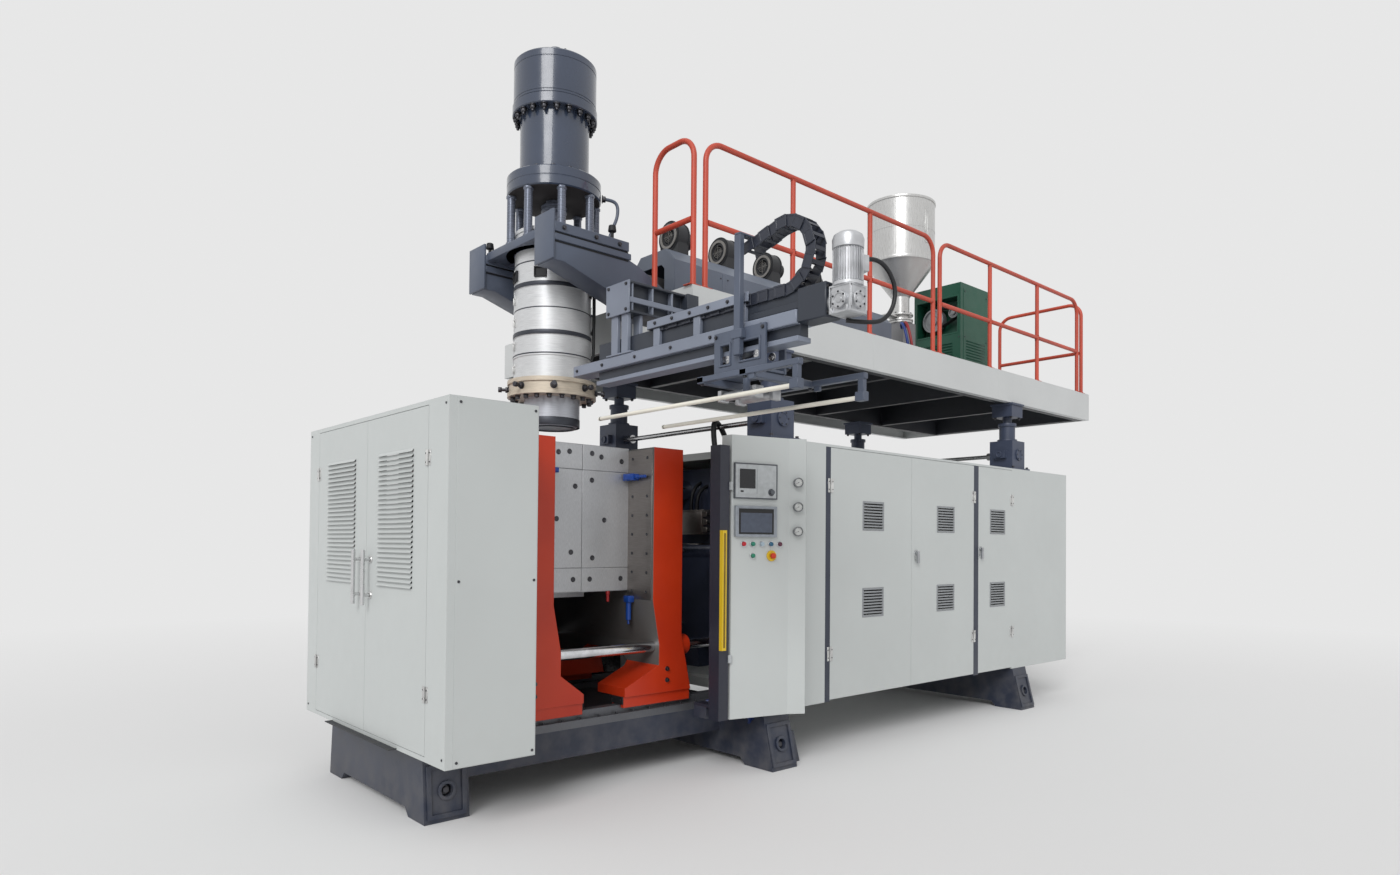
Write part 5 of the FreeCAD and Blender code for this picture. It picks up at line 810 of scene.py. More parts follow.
left_face, right_face, waist_step = -3.0, -2.18, 0.060
platen = Finish("orange_casting")
patch, grime = platen.noise(1.7, 3.0), platen.noise(9.0, 5.0)
eased, rubbed = platen.worn(grime, 0.006, 0.3)
orange = platen.between(platen.span(patch, 0.3, 0.7), rgb(178, 44, 16), rgb(198, 56, 20))
orange = platen.between(rubbed, orange, rgb(226, 116, 74))
across, inward = platen.axis(0), platen.axis(1)
sideways = across.maths("ABSOLUTE", platen.axis(0, platen.node("NewGeometry", output="Normal")))
near = [across.maths("ABSOLUTE", across - (face + waist_step / 2)) < waist_step / 2 + 0.002
        for face in (left_face, right_face)]
machined = (near[0] + near[1]) * (sideways > 0.9)
# The machined inner faces are bare steel, painted darker from front to back as the shade between the platens.
painted_shade_steel = platen.between(platen.span(inward, 0.05, 1.0), (0.13, 0.125, 0.12, 1),
                             (0.025, 0.025, 0.027, 1))
platen.feed(Base_Color=platen.between(machined, orange, painted_shade_steel),
            Roughness=platen.span(grime, 0.2, 0.8, 0.32, 0.46),
            Normal=platen.bump(0.06, platen.noise(120.0, 2.0), eased))
dress(platen.material, "left_platen", "right_platen")
wiper_rubber = plastic("wiper_rubber", rgb(26, 27, 30), 0.6)
strip_steel = metal("ground_strip", (0.36, 0.33, 0.31, 1), 0.4, (1, 1, 50), 0.04, 0.3)
rail_middle = 0.085
for carriage, face, way, ends in (("left_carriage", left_face, 1, (-3.36, -2.76)),
                                  ("right_carriage", right_face, -1, (-2.42, -1.82))):
    strips, seats = [], []
    for near, far in ((0.020, 0.300), (1.110, 1.390)):
        x = sorted((face, face + way * 0.006))
        strips.append(slab("platen_strip", (x[0], near, 1.215), (x[1], far, 2.290), 0.0015))
        for y in (near + 0.055, far - 0.055):
            for row in range(8):
                seats.append(at((face + way * 0.006, y, 1.27 + row * 0.137), (way, 0, 0)))
    fit(unite(carriage + "_strips", *strips), strip_steel, carriage)
    mount(cap_screw(carriage + "_strip_screw", 0.011, 0.004), carriage, seats)
    places, heads = [], []
    for end, out in zip(ends, (-1, 1)):
        for middle in (rail_middle, 2 * centre_y - rail_middle):
            places.append(plane((end, middle, 0.529), (0, out, 0)))
            for shift in (-0.045, 0.045):
                heads.append(at((end + out * 0.008, middle + shift, 0.533), (out, 0, 0)))
    wiper = tray(carriage + "_wiper", (-0.065, -0.026, 0), (0.065, 0.026, 0.008), (0, 0, 1), 0.006,
                 (0, 0, -0.002), 0.0015)
    fit(wiper, wiper_rubber, carriage, places)
    mount(cap_screw(carriage + "_wiper_screw", 0.006, 0.005), carriage, heads)

for carriage, x in (("left_carriage", -3.135), ("right_carriage", -2.045)):
    seats = [at((x, y, z), (0, out, 0)) for y, out in ((0.005, -1), (1.405, 1)) for z in (0.64, 0.72)]
    mount(hex_bolt(carriage + "_gib_bolt", 0.014, 0.016), carriage, seats)


# ------------ mould
# Two milled steel halves, each faced with three bolted plates; the parting line shows in the
# middle, with water fittings and an air valve at their edges.

mould_metal = metal("milled_mould", (0.50, 0.51, 0.53, 1), 0.36, (40, 1, 1), 0.04, 0.25, metallic=0.6)
dress(mould_metal, "left_mould", "right_mould")
plate_metal = metal("mould_plate", (0.56, 0.57, 0.59, 1), 0.34, (50, 1, 3), 0.04, 0.2, metallic=0.6)
mould_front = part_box("left_mould")[0][1]
plate_rows = ((1.273, 1.437), (1.441, 2.127), (2.131, 2.307))
for side, carriage, edges in (("left", "left_carriage", (-2.997, -2.5915)),
                              ("right", "right_carriage", (-2.5885, -2.183))):
    plates = [tray("mould_plate", (edges[0], mould_front - 0.007, low), (edges[1], mould_front, high),
                   (0, -1, 0), 0.0015, (0, -0.001, 0), 0.0012) for low, high in plate_rows]
    fit(unite(side + "_mould_plates", *plates), plate_metal, carriage)
    holes = [(x, z) for x, z in ((-2.79, 2.24), (-2.43, 2.23), (-2.70, 2.25), (-2.51, 2.25),
                                 (-2.65, 2.01), (-2.51, 2.06), (-2.80, 1.78), (-2.40, 1.78),
                                 (-2.50, 1.51), (-2.68, 1.55), (-2.93, 2.21), (-2.25, 2.21),
                                 (-2.93, 1.36), (-2.25, 1.36), (-2.66, 1.36), (-2.52, 1.36))
             if edges[0] < x < edges[1]]
    seats = [at((x, mould_front - 0.0082, z), (0, -1, 0)) for x, z in holes]
    mount(cap_screw(side + "_mould_screw", 0.019, 0.003), carriage, seats)
    backs = [at((x, 2 * centre_y - mould_front, z), (0, 1, 0)) for x, z in holes]
    mount(cap_screw(side + "_mould_back_screw", 0.019, 0.006), carriage, backs)

fitting_blue = painted("fitting_blue", rgb(22, 66, 148), 0.35, 0.2, 0.0, 0.002)
block = tray("water_block", (-2.245, 0.175, 2.070), (-2.186, 0.285, 2.118), (-1, 0, 0), 0.008,
             (-0.004, 0, 0), 0.003, 2)
stub = [bar("water_stub", (-2.215, 0.06, 2.094), (-2.215, 0.175, 2.094), 0.011, 18, edge=0.001),
        bar("water_nut", (-2.215, 0.138, 2.094), (-2.215, 0.175, 2.094), 0.018, 6, edge=0.001)]
cup = tray("air_block", (-2.236, 0.215, 1.190), (-2.186, 0.275, 1.235), (0, 0, -1), 0.006, (0, 0, -0.004),
           0.003, 2)
ram = [bar("air_ram", (-2.213, 0.245, 1.060), (-2.213, 0.245, 1.190), 0.019, 20, edge=0.002),
       bar("air_ram_rod", (-2.213, 0.245, 1.030), (-2.213, 0.245, 1.060), 0.008, 12, edge=0.001)]
for piece in (block, unite("water_stub", *stub), cup, unite("air_ram", *ram)):
    fit(piece, fitting_blue, "right_carriage")
small = tray("left_water_block", (-2.85, 0.270, 2.095), (-2.80, 0.297, 2.130), (0, -1, 0), 0.006,
             (0, -0.006, 0), 0.002)
fit(small, fitting_blue, "left_carriage")
valve = [bar("drain_valve", (-2.36, 0.300, 1.195), (-2.36, 0.300, 1.272), 0.011, 16, edge=0.002),
         bar("drain_collar", (-2.36, 0.300, 1.245), (-2.36, 0.300, 1.272), 0.015, 6, edge=0.001)]
valve_red = painted("valve_red", rgb(150, 28, 30), 0.4, 0.2, 0.0, 0.002)
fit(unite("drain_valve", *valve), valve_red, "right_carriage")


# ------------ tie bars and locking cylinder
# Hard-chromed bars through both platens to the rear plate, with the oil cylinder and its
# valve block; hoses run from the block to the tank.

dress(chrome, "tie_bars", "clamp_rod")
clamp_paint = painted("clamp_paint", rgb(52, 60, 82), 0.42)
dress(clamp_paint, "back_platen")


def pipe(name, points, radius, material, sides=3):
    """A fixed pipe or hose along a smooth line through the given points."""
    clear()
    line = bpy.data.curves.new(name, "CURVE")
    line.dimensions = "3D"
    spline = line.splines.new("NURBS")
    spline.points.add(len(points) - 1)
    for point, place in zip(spline.points, points):
        point.co = (*place, 1)
    spline.order_u = 3
    spline.use_endpoint_u = True
    spline.resolution_u = 5
    line.bevel_depth = radius
    line.bevel_resolution = sides
    line.use_fill_caps = True
    piece = bpy.data.objects.new(name, line)
    bpy.context.scene.collection.objects.link(piece)
    hold(piece)
    bpy.ops.object.convert(target="MESH")
    return coat(smooth(bpy.context.object, 50), material)


def bolt_circle(count, place, radius, first=0.0):
    """Places on a circle round the middle of a flange, all facing as the flange does."""
    angles = [math.radians(first + 360 * number / count) for number in range(count)]
    return [place @ spot(radius * math.cos(angle), radius * math.sin(angle), 0) for angle in angles]


block = tray("valve_block", (-0.93, 0.86, 1.70), (-0.77, 1.16, 1.92), (-1, 0, 0), 0.02, (-0.006, 0, 0),
             0.004, 2)
fit(block, strip_steel, "left_carriage")
for number, z in enumerate((1.74, 1.81, 1.88)):
    body = slab("valve_body", (-0.945, 0.80, z - 0.024), (-0.87, 0.86, z + 0.024), 0.003)
    coil = bar("valve_coil", (-0.91, 0.715, z), (-0.91, 0.80, z), 0.022, 20, edge=0.003)
    plug = slab("valve_plug", (-0.955, 0.742, z - 0.014), (-0.925, 0.782, z + 0.014), 0.003)
    valve = unite("valve_%d" % number, coat(body, strip_steel), coat(coil, screw_black),
                  coat(plug, wiper_rubber))
    mount(valve, "left_carriage")
hose_rubber = plastic("hose_rubber", rgb(22, 23, 27), 0.5)
hose_lines = (("hose_a", ((-0.86, 1.02, 1.92), (-0.86, 1.02, 2.02), (-0.82, 1.00, 2.12),
                          (-0.70, 0.96, 2.16), (-0.56, 0.90, 2.10), (-0.50, 0.84, 1.95),
                          (-0.50, 0.80, 1.80), (-0.45, 0.76, 1.72))),
              ("hose_b", ((-0.86, 1.10, 1.92), (-0.86, 1.10, 2.05), (-0.80, 1.08, 2.17),
                          (-0.66, 1.04, 2.20), (-0.50, 0.98, 2.10), (-0.44, 0.92, 1.92),
                          (-0.42, 0.86, 1.76), (-0.36, 0.80, 1.70))))
for name, points in hose_lines:
    mount(pipe(name, points, 0.016, hose_rubber), "left_carriage")
ring_bolts = bolt_circle(8, at((-0.53, centre_y, 1.56), (1, 0, 0)), 0.172, 22.5)
mount(hex_bolt("locking_bolt", 0.011, 0.014), "left_carriage", ring_bolts)

hose_blue = plastic("hose_blue", rgb(28, 48, 104), 0.45)
for number, shift in enumerate((0.0, 0.034, 0.068)):
    points = ((-1.84 + shift, -0.19, 0.49), (-1.80 + shift, -0.24, 0.50), (-1.72 + shift, -0.315, 0.46),
              (-1.62 + shift, -0.36, 0.40), (-1.53 + shift, -0.34, 0.34),
              (-1.50 + shift * 0.2, -0.28, 0.30))
    mount(pipe("floor_hose_%d" % number, points, 0.013, hose_blue), "base")
tall_hose = ((-1.31, 0.20, 0.49), (-1.31, 0.20, 0.90), (-1.31, 0.22, 1.60), (-1.32, 0.24, 2.10),
             (-1.37, 0.27, 2.50), (-1.32, 0.30, 2.62), (-1.22, 0.30, 2.52), (-1.18, 0.28, 2.40))
mount(pipe("riser_hose", tall_hose, 0.022, hose_rubber), "base")


# ------------ screw jacks
# Worm-gear housings bolted on the columns, turned in pairs by a cross shaft; their screws
# end in square pads that are bolted under the platform.

dress(ground_steel, "left_cross_shaft", "right_cross_shaft")
jack_paint = painted("jack_paint", rgb(62, 70, 90), 0.42)
dress(jack_paint, "screw_jacks", "jack_screws")
jack_places = [(x, y) for x in (-1.26, 2.31) for y in (-0.255, 1.665)]
flange_z, worm_z, pad_z, flange_reach, pad_reach = 2.400, 2.56, 2.95, 0.142, 0.085
flanges, collars, pad_plates = [[spot(x, y, z) for x, y in jack_places] for z in (flange_z, 0, pad_z)]
bolts, covers, cover_screws, pad_bolts = [], [], [], []
for x, y in jack_places:
    for dx in (-1, 1):
        for dy in (-1, 1):
            bolts.append(spot(x + dx * flange_reach, y + dy * flange_reach, flange_z + 0.018))
            pad_bolts.append(at((x + dx * pad_reach, y + dy * pad_reach, pad_z), (0, 0, -1)))
    out = -1 if y < centre_y else 1
    covers.append(at((x, y + out * 0.125, worm_z), (0, out, 0)))
    cover_screws += bolt_circle(6, at((x, y + out * 0.139, worm_z), (0, out, 0)), 0.048)
    for end in (-1, 1):
        covers.append(at((x + end * 0.165, y, worm_z), (end, 0, 0)) @ Matrix.Diagonal((0.55, 0.55, 1, 1)))
flange = tray("jack_flange", (-0.165, -0.165, 0), (0.165, 0.165, 0.018), (0, 0, 1), 0.012, (0, 0, -0.003),
              0.002)
cover = bar("jack_cover", (0, 0, 0), (0, 0, 0.014), 0.060, 36)
sink(cover, (0, 0, 1), 0.024, (0, 0, -0.005))
collar = unite("jack_collar", tube("jack_collar", (0, 0, 2.855), (0, 0, 2.888), 0.090, 0.040),
               tube("jack_root", (0, 0, 2.700), (0, 0, 2.722), 0.098, 0.018))
fit(flange, jack_paint, "base", flanges)
fit(soften(cover, 0.002, 1), jack_paint, "base", covers)
fit(collar, jack_paint, "base", collars)
mount(hex_bolt("jack_flange_bolt", 0.014, 0.018), "base", bolts)
mount(cap_screw("jack_cover_screw", 0.006, 0.005), "base", cover_screws)
plate = tray("jack_pad_plate", (-0.124, -0.124, 0.118), (0.124, 0.124, 0.1385), (0, 0, -1), 0.01,
             (0, 0, -0.003), 0.002)
fit(plate, jack_paint, "lift", pad_plates)
mount(hex_bolt("jack_pad_bolt", 0.013, 0.018), "lift", pad_bolts)


# ------------ lifting platform and railings
# A welded frame with folded fascias sprayed pale grey, joists in dark primer, a chequered
# steel deck, and bent tube railings bolted down on square feet.

fascia_paint = painted("fascia_paint", rgb(196, 198, 198), 0.5, 0.12, 0.1, 0.003, 0.03, shade=0.03)
dress(fascia_paint, "platform_frame")
joist_paint = painted("joist_paint", rgb(38, 40, 46), 0.5)
dress(joist_paint, "platform_joists")
rail_paint = painted("rail_paint", rgb(186, 72, 52), 0.42, 0.25, 0.1)
dress(rail_paint, "railings")

chequer = Finish("chequered_deck", Metallic=0.5)
place = chequer.place((1, 1, 0))
slant = chequer.node("Mapping", {}, {"Vector": place, "Rotation": (0, 0, math.radians(45)),
                                     "Scale": (28, 28, 0)})
cell = chequer.node("TexChecker", {}, {"Vector": slant, "Scale": 1.0}, output="Fac")
bars = chequer.node("TexWave", {"wave_profile": "SIN"}, {"Vector": slant, "Scale": 0.5}, output="Fac")
lugs = chequer.span(cell * chequer.span(bars, 0.55, 0.75), 0.2, 0.8)
worn = chequer.noise(1.4, 4.0)
chequer.feed(Base_Color=chequer.between(chequer.span(worn, 0.35, 0.7) * 0.5 + lugs * 0.3,
                                        (0.16, 0.17, 0.19, 1), (0.42, 0.43, 0.45, 1)),
             Roughness=chequer.span(worn, 0.2, 0.8, 0.34, 0.55),
             Normal=chequer.bump(0.6, lugs))
deck_low, deck_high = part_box("platform_frame")
deck_edges = [deck_low[0] + 0.012 + (deck_high[0] - deck_low[0] - 0.024) * n / 6 for n in range(7)]
deck_plates = [tray("deck_plate", (left + 0.002, near, deck_high[2]),
                    (right - 0.002, far, deck_high[2] + 0.0025), (0, 0, 1), 0.006, (0, 0, 0.0005), 0.0006)
               for left, right in zip(deck_edges, deck_edges[1:])
               for near, far in ((deck_low[1] + 0.02, 0.905), (0.909, deck_high[1] - 0.02))]
fit(unite("deck_plates", *deck_plates), chequer.material, "lift")

lip_low, lip_high = deck_low[2], deck_high[2]
joints = [at((x, deck_low[1] - 0.0004, 0)) for x in (-0.08, 1.98)]
strap = tray("fascia_strap", (-0.03, -0.003, lip_low + 0.012), (0.03, 0, lip_high - 0.012), (0, -1, 0),
             0.002, (0, -0.0006, 0), 0.0008)
fit(strap, fascia_paint, "lift", joints)

front_rail, left_rail, right_rail = -0.325, -2.12, 3.87
rail_feet = [(x, front_rail) for x in (-2.01, -1.10, -0.13, 0.82, 0.93, 1.83, 2.81, 3.76)]
rail_feet += [(left_rail, front_rail), (left_rail, 0.095), (right_rail, front_rail), (right_rail, 0.685)]
foot_plates, foot_bolts = [], []
for x, y in rail_feet:
    foot_plates.append(spot(x, y, deck_high[2]))
    for dx, dy in ((-1, 0), (1, 0), (0, 1)):
        foot_bolts.append(spot(x + dx * 0.036, max(y, -0.34) + dy * 0.036, deck_high[2] + 0.007))
foot = unite("rail_foot", slab("rail_foot", (-0.05, -0.028, 0), (0.05, 0.05, 0.007), 0.002),
             tube("rail_weld", (0, 0, 0.006), (0, 0, 0.016), 0.0245, 0.004, 24))
fit(foot, rail_paint, "lift", foot_plates)
mount(hex_bolt("rail_foot_bolt", 0.007, 0.008), "lift", foot_bolts)
sleeves = [at((x, front_rail, z)) for x in (-1.10, -0.13, 1.83, 2.81) for z in (4.413, 3.836, 3.880)]
sleeve = coat(tube("rail_bead", (0, 0, -0.003), (0, 0, 0.004), 0.0228, 0.0035, 24), rail_paint)
mount(sleeve, "lift", sleeves)

kick = slab("kick_board", (-2.14, -0.352, deck_high[2]), (3.99, -0.349, deck_high[2] + 0.004), 0.0006)
fit(kick, fascia_paint, "lift")


# ------------ rear guard and drip pan
# Behind the clamp the bay is closed by a framed guard with two smoked sheets, and a folded
# pan between the rails catches the oil that drips from the bars. Sheets and pan are near
# black as painted shade: they keep the shadowed bay behind and under the clamp dark.

# The pan's near-black paint is partly painted shade for the floor under the clamp.
pan_painted_shade = painted("pan_painted_shade", rgb(30, 33, 40), 0.55, 0.3, 0.3)
bay = (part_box("guard_cabinet")[1][0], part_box("service_cabinet")[0][0])
pan = tray("drip_pan", (bay[0] - 0.60, 0.175, 0.402), (bay[1], 1.235, 0.408), (0, 0, 1), 0.012,
           (0, 0, -0.003), 0.001)
fit(pan, pan_painted_shade, "base")
guard_y, guard_z = 1.500, (0.405, 2.350)
middle, wide, tall = sum(bay) / 2, bay[1] - bay[0], guard_z[1] - guard_z[0]
leaves, sheets = [], []
for side in (-1, 1):
    point = (middle + side * wide / 4, guard_y, sum(guard_z) / 2)
    leaf = rim("rear_guard_leaf", oblong(wide / 2 - 0.004, tall), 0.060, 0.024)
    leaves.append(move(leaf, plane(point, (-1, 0, 0))))
    pane = rim("rear_guard_bead", oblong(wide / 2 - 0.110, tall - 0.110), 0.010, 0.006)
    leaves.append(move(pane, plane((point[0], guard_y + 0.022, point[2]), (-1, 0, 0))))
    sheets.append(slab("rear_guard_sheet",
                       (point[0] - wide / 4 + 0.05, guard_y + 0.008, guard_z[0] + 0.05),
                       (point[0] + wide / 4 - 0.05, guard_y + 0.013, guard_z[1] - 0.05), 0.0008))
fit(unite("rear_guard_frames", *leaves), panel_paint, "base")
# The smoked sheets are near black as painted shade for the bay behind them.
fit(unite("rear_guard_sheets", *sheets), plastic("smoked_sheet_painted_shade", rgb(20, 21, 24), 0.25, 4.0, 0.0), "base")
grips = []
for side in (-1, 1):
    x = middle + side * 0.035
    grips.append(bar("guard_grip", (x, guard_y + 0.062, 1.20), (x, guard_y + 0.062, 1.42), 0.009, 16,
                     edge=0.002))
    for z in (1.215, 1.405):
        grips.append(bar("grip_foot", (x, guard_y + 0.022, z), (x, guard_y + 0.060, z), 0.008, 14,
                         edge=0.001))
fit(unite("rear_guard_grips", *grips), hinge_metal, "base")


# ------------ head support
# Two welded box arms with flange strips, standing on the platform and carrying the plate the
# head hangs from; eight turned columns hold the ram above it.

def profile_plate(name, outline, start, end):
    """A plate or block of a side outline, given as (x, z) points, from one y to the other."""
    piece = polygon(name, [(x, start, z) for x, z in outline])
    choose(piece, lambda centre, normal: True)
    bpy.ops.mesh.extrude_region_move(TRANSFORM_OT_translate={"value": (0, end - start, 0)})
    return face_out(piece)


def lathe(name, profile, centre, steps=96):
    """A turned piece: a half outline of (radius, z) points spun round an upright axis."""
    piece = polygon(name, [(centre[0] + radius, centre[1], z) for radius, z in profile], "NOTHING")
    hold(piece)
    bpy.ops.object.mode_set(mode="EDIT")
    bpy.ops.mesh.select_mode(type="EDGE")
    bpy.ops.mesh.select_all(action="DESELECT")
    skin = bmesh.from_edit_mesh(piece.data)
    for edge in skin.edges:
        edge.select_set(all(vertex.co.x < centre[0] + 1e-5 for vertex in edge.verts))
    bmesh.update_edit_mesh(piece.data)
    bpy.ops.mesh.delete(type="EDGE")
    bpy.ops.mesh.select_all(action="SELECT")
    bpy.ops.mesh.spin(steps=steps, angle=math.radians(360), center=(centre[0], centre[1], 0),
                      axis=(0, 0, 1))
    bpy.ops.mesh.select_all(action="SELECT")
    bpy.ops.mesh.remove_doubles(threshold=0.00005)
    return face_out(piece)


def heading(angle):
    """The level way at an angle from +X."""
    return Vector((math.cos(math.radians(angle)), math.sin(math.radians(angle)), 0))


def ring_of(count, centre, radius, first=0.0):
    """Points on an upright ring."""
    return [Vector(centre) + heading(first + 360 * number / count) * radius for number in range(count)]


def on_round(centre, radius, angle):
    """A place on an upright round wall, facing outward."""
    way = heading(angle)
    return plane(Vector(centre) + way * radius, Vector((0, 0, 1)).cross(way))


steel_paint = painted("steel_grey_paint", rgb(80, 88, 104), 0.38)
# Black for the knobs and rubber boots, and as painted shade for the lines along the arm strips.
black_and_painted_shade = plastic("black_and_painted_shade", rgb(20, 22, 27), 0.6)
head_x, arm_left, arm_top, nose_low, arm_half = -2.59, -2.950, 3.750, 3.494, 0.105
deck_left, deck_top, strip_end = -2.150, 3.390, -2.335
side_outline = [(arm_left, arm_top), (arm_left, nose_low), (-2.865, nose_low), (-2.300, 3.312),
                (deck_left, 3.312), (deck_left, deck_top), (-1.250, deck_top), (-1.250, 3.452),
                (-1.900, 3.470), (-2.010, 3.490), (-2.110, 3.540), (-2.230, 3.600), (strip_end, 3.634),
                (strip_end, arm_top)]
arms, bolts = [], []
for side, middle in (("front", 0.235), ("back", 1.175)):
    walls = (middle - arm_half, middle + arm_half)
    parts = [soften(profile_plate("%s_arm" % side, side_outline, *walls), 0.006, 2),
             slab("arm_end_plate", (arm_left - 0.016, walls[0] - 0.012, 3.500),
                  (arm_left, walls[1] + 0.012, 3.830), 0.003, 2)]
    for wall, out in zip(walls, (-1, 1)):
        for low, high, end in ((3.684, arm_top, strip_end), (3.626, 3.670, strip_end + 0.02)):
            y = sorted((wall, wall + out * 0.012))
            parts.append(slab("arm_strip", (arm_left, y[0], low), (end, y[1], high), 0.003))
        parts.append(slab("arm_ledge", (-2.12, wall - 0.055, deck_top + 0.001),
                          (-1.26, wall + 0.055, 3.406), 0.002))
        for x in (-2.06, -1.76, -1.46, -1.31):
            bolts.append(spot(x, wall + out * 0.032, 3.406))
        for x in (-2.88, -2.62, -2.42):
            bolts.append(at((x, wall + out * 0.012, 3.717), (0, out, 0)))
    arms.append(unite("%s_arm" % side, *parts))
    # Thin black strips between and under the flange strips are painted shade in the gaps.
    lines = []
    for wall, out in zip(walls, (-1, 1)):
        for low, high in ((3.671, 3.683), (3.613, 3.625)):
            y = sorted((wall, wall + out * 0.0015))
            lines.append(slab("arm_shade_line", (arm_left + 0.002, y[0], low), (strip_end, y[1], high)))
    fit(soften(unite("%s_arm_shade_lines" % side, *lines), 0.0003, 1), black_and_painted_shade, "lift")
plate_low, plate_high = 3.705, 3.765
plate = tube("head_plate_hole", (head_x, 0.705, plate_low), (head_x, 0.705, plate_high), 0.345, 0.062, 64)
corners = (((arm_left + 0.01, 0.340), (head_x - 0.18, 1.070)), ((head_x + 0.18, 0.340), (-2.240, 1.070)),
           ((head_x - 0.19, 0.340), (head_x + 0.19, 0.412)),
           ((head_x - 0.19, 0.998), (head_x + 0.19, 1.070)))
arms += [slab("head_plate", (*low, plate_low), (*high, plate_high), 0.003, 2) for low, high in corners]
support = coat(unite("head_support_arms", plate, *arms), steel_paint)
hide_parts("head_support")
mount(support, "lift")
mount(hex_bolt("arm_bolt", 0.013, 0.014), "lift", bolts)

places = [spot(-2.857, 1.175, arm_top), spot(-2.400, 0.235, arm_top)]
screw = unite("arm_thumbscrew", bar("arm_thumbscrew", (0, 0, 0), (0, 0, 0.100), 0.012, 16, edge=0.001),
              bar("thumbscrew_nut", (0, 0, 0), (0, 0, 0.022), 0.022, 6, edge=0.002),
              bar("arm_knob_cap", (0, 0, 0.090), (0, 0, 0.136), 0.031, 24, 0.025, edge=0.006, segments=3))
fit(screw, black_and_painted_shade, "lift", places)

flange_low, flange_high = 4.135, 4.275
column_steel = metal("turned_column", (0.16, 0.18, 0.235, 1), 0.24, (1, 1, 30), 0.03, 0.2, metallic=0.35)
feet = [spot(*point) for point in ring_of(8, (head_x, centre_y, 0), 0.312, 22.5)]
column = [bar("head_column", (0, 0, plate_high), (0, 0, flange_low), 0.030, 32, edge=0.001),
          bar("column_foot", (0, 0, plate_high), (0, 0, plate_high + 0.03), 0.037, 6, edge=0.002),
          bar("column_head", (0, 0, flange_low - 0.022), (0, 0, flange_low), 0.037, 6, edge=0.002)]
fit(unite("head_column", *column), column_steel, "lift", feet)


# ------------ accumulator head
# A thick steel head in a brushed stainless shroud of stacked bands, closed by toggle latches,
# over the heat-browned adjusting ring and the ground die.

shroud_steel = metal("brushed_shroud", (0.74, 0.75, 0.76, 1), 0.34, (1, 1, 60), 0.05, 0.10, metallic=0.45)
dress(shroud_steel, "accumulator_head")
flange_brown = metal("heat_browned_steel", (0.66, 0.58, 0.47, 1), 0.45, (1, 1, 20), 0.05, 0.3,
                     metallic=0.4)
dress(flange_brown, "head_flange")
die_steel = metal("die_steel", (0.55, 0.57, 0.62, 1), 0.34, (1, 1, 40), 0.05, 0.2, metallic=0.6)
dress(die_steel, "head_die")

band_black = metal("band_black", (0.06, 0.065, 0.08, 1), 0.4, (1, 1, 10), 0.03, 0.1, metallic=0.5)
bands = ((3.4395, 3.4705, 0.2868), (3.0945, 3.1255, 0.2868), (3.283, 3.291, 0.2805),
         (3.612, 3.621, 0.2805), (2.9555, 2.9645, 0.2868), (3.790, 3.799, 0.2805))
straps = [tube("head_strap", (head_x, centre_y, low), (head_x, centre_y, high), radius, 0.0022, 96, 0.0006)
          for low, high, radius in bands]
fit(unite("head_straps", *straps), band_black, "lift")


def on_shroud(angle, z, radius=0.279):
    """A place on the shroud's wall, facing outward."""
    return on_round((head_x, centre_y, z), radius, angle)


boot = tray("terminal_window", (-0.046, -0.038, -0.012), (0.046, 0.038, 0.012), (0, 0, 1), 0.008,
            (0, 0, -0.012), 0.0015)
boots = [on_shroud(angle, 3.535) for angle in (219, 165, 273, 327)]
fit(boot, black_and_painted_shade, "lift", boots)
latch_zs = (3.365, 3.205, 3.035, 2.870)
latches = [on_shroud(angle, z) for z in latch_zs for angle in (163, 343)]
latch = unite("toggle_latch", slab("toggle_latch", (-0.012, -0.034, 0), (0.012, 0.034, 0.005), 0.001),
              slab("toggle_lever", (-0.008, -0.030, 0.005), (0.008, 0.014, 0.016), 0.003, 2),
              bar("toggle_pin", (-0.016, 0.016, 0.010), (0.016, 0.016, 0.010), 0.005, 12, edge=0.001))
fit(latch, hinge_metal, "lift", latches)
hems = []
for angle in (155, 335):
    hem = slab("shroud_hem", (-0.004, 2.80 - 3.3, 0), (0.004, 3.60 - 3.3, 0.004), 0.001)
    hems.append(move(hem, on_shroud(angle, 3.3)))
fit(unite("shroud_hems", *hems), shroud_steel, "lift")

collar_z = 2.727
pushers = [on_shroud(angle, collar_z, 0.311) for angle in range(150, 510, 45)]
pusher = unite("centring_bolt", hex_bolt("centring_bolt", 0.021, 0.024),
               coat(bar("centring_stem", (0, 0, 0.02), (0, 0, 0.058), 0.011, 14, edge=0.001),
                    screw_black),
               coat(bar("centring_head", (0, 0, 0.050), (0, 0, 0.076), 0.020, 6, edge=0.002),
                    screw_black))
mount(pusher, "lift", pushers)
under = [at(point, (0, 0, -1)) for point in ring_of(20, (head_x, centre_y, 2.668), 0.285)]
mount(hex_bolt("collar_bolt", 0.017, 0.026), "lift", under)
die_ring = tube("die_ring", (head_x, centre_y, 2.462), (head_x, centre_y, 2.520), 0.2055, 0.0035, 64)
die_low = tube("die_bush", (head_x, centre_y, 2.452), (head_x, centre_y, 2.468), 0.172, 0.020, 64)
fit(unite("die_ring", die_ring, die_low), band_black, "lift")

cables = []
for angle, low, high in ((318, 2.99, 3.79), (326, 3.20, 3.79), (309, 3.45, 3.79), (20, 3.0, 3.79),
                         (60, 3.2, 3.79)):
    points = [Vector((head_x, centre_y, z)) + heading(angle) * reach for reach, z in
              ((0.283, low - 0.04), (0.300, low - 0.01), (0.304, low + 0.06), (0.303, (low + high) / 2),
               (0.300, high - 0.06), (0.296, high))]
    cables.append(pipe("heater_cable", points, 0.011, hose_rubber, 2))
mount(unite("heater_cables", *cables), "lift")


# ------------ head ram
# The oil cylinder that empties the head, turned from forgings and sprayed blue-black, with
# black studs round its two flanges, lifting eyes and a steel drain pipe.

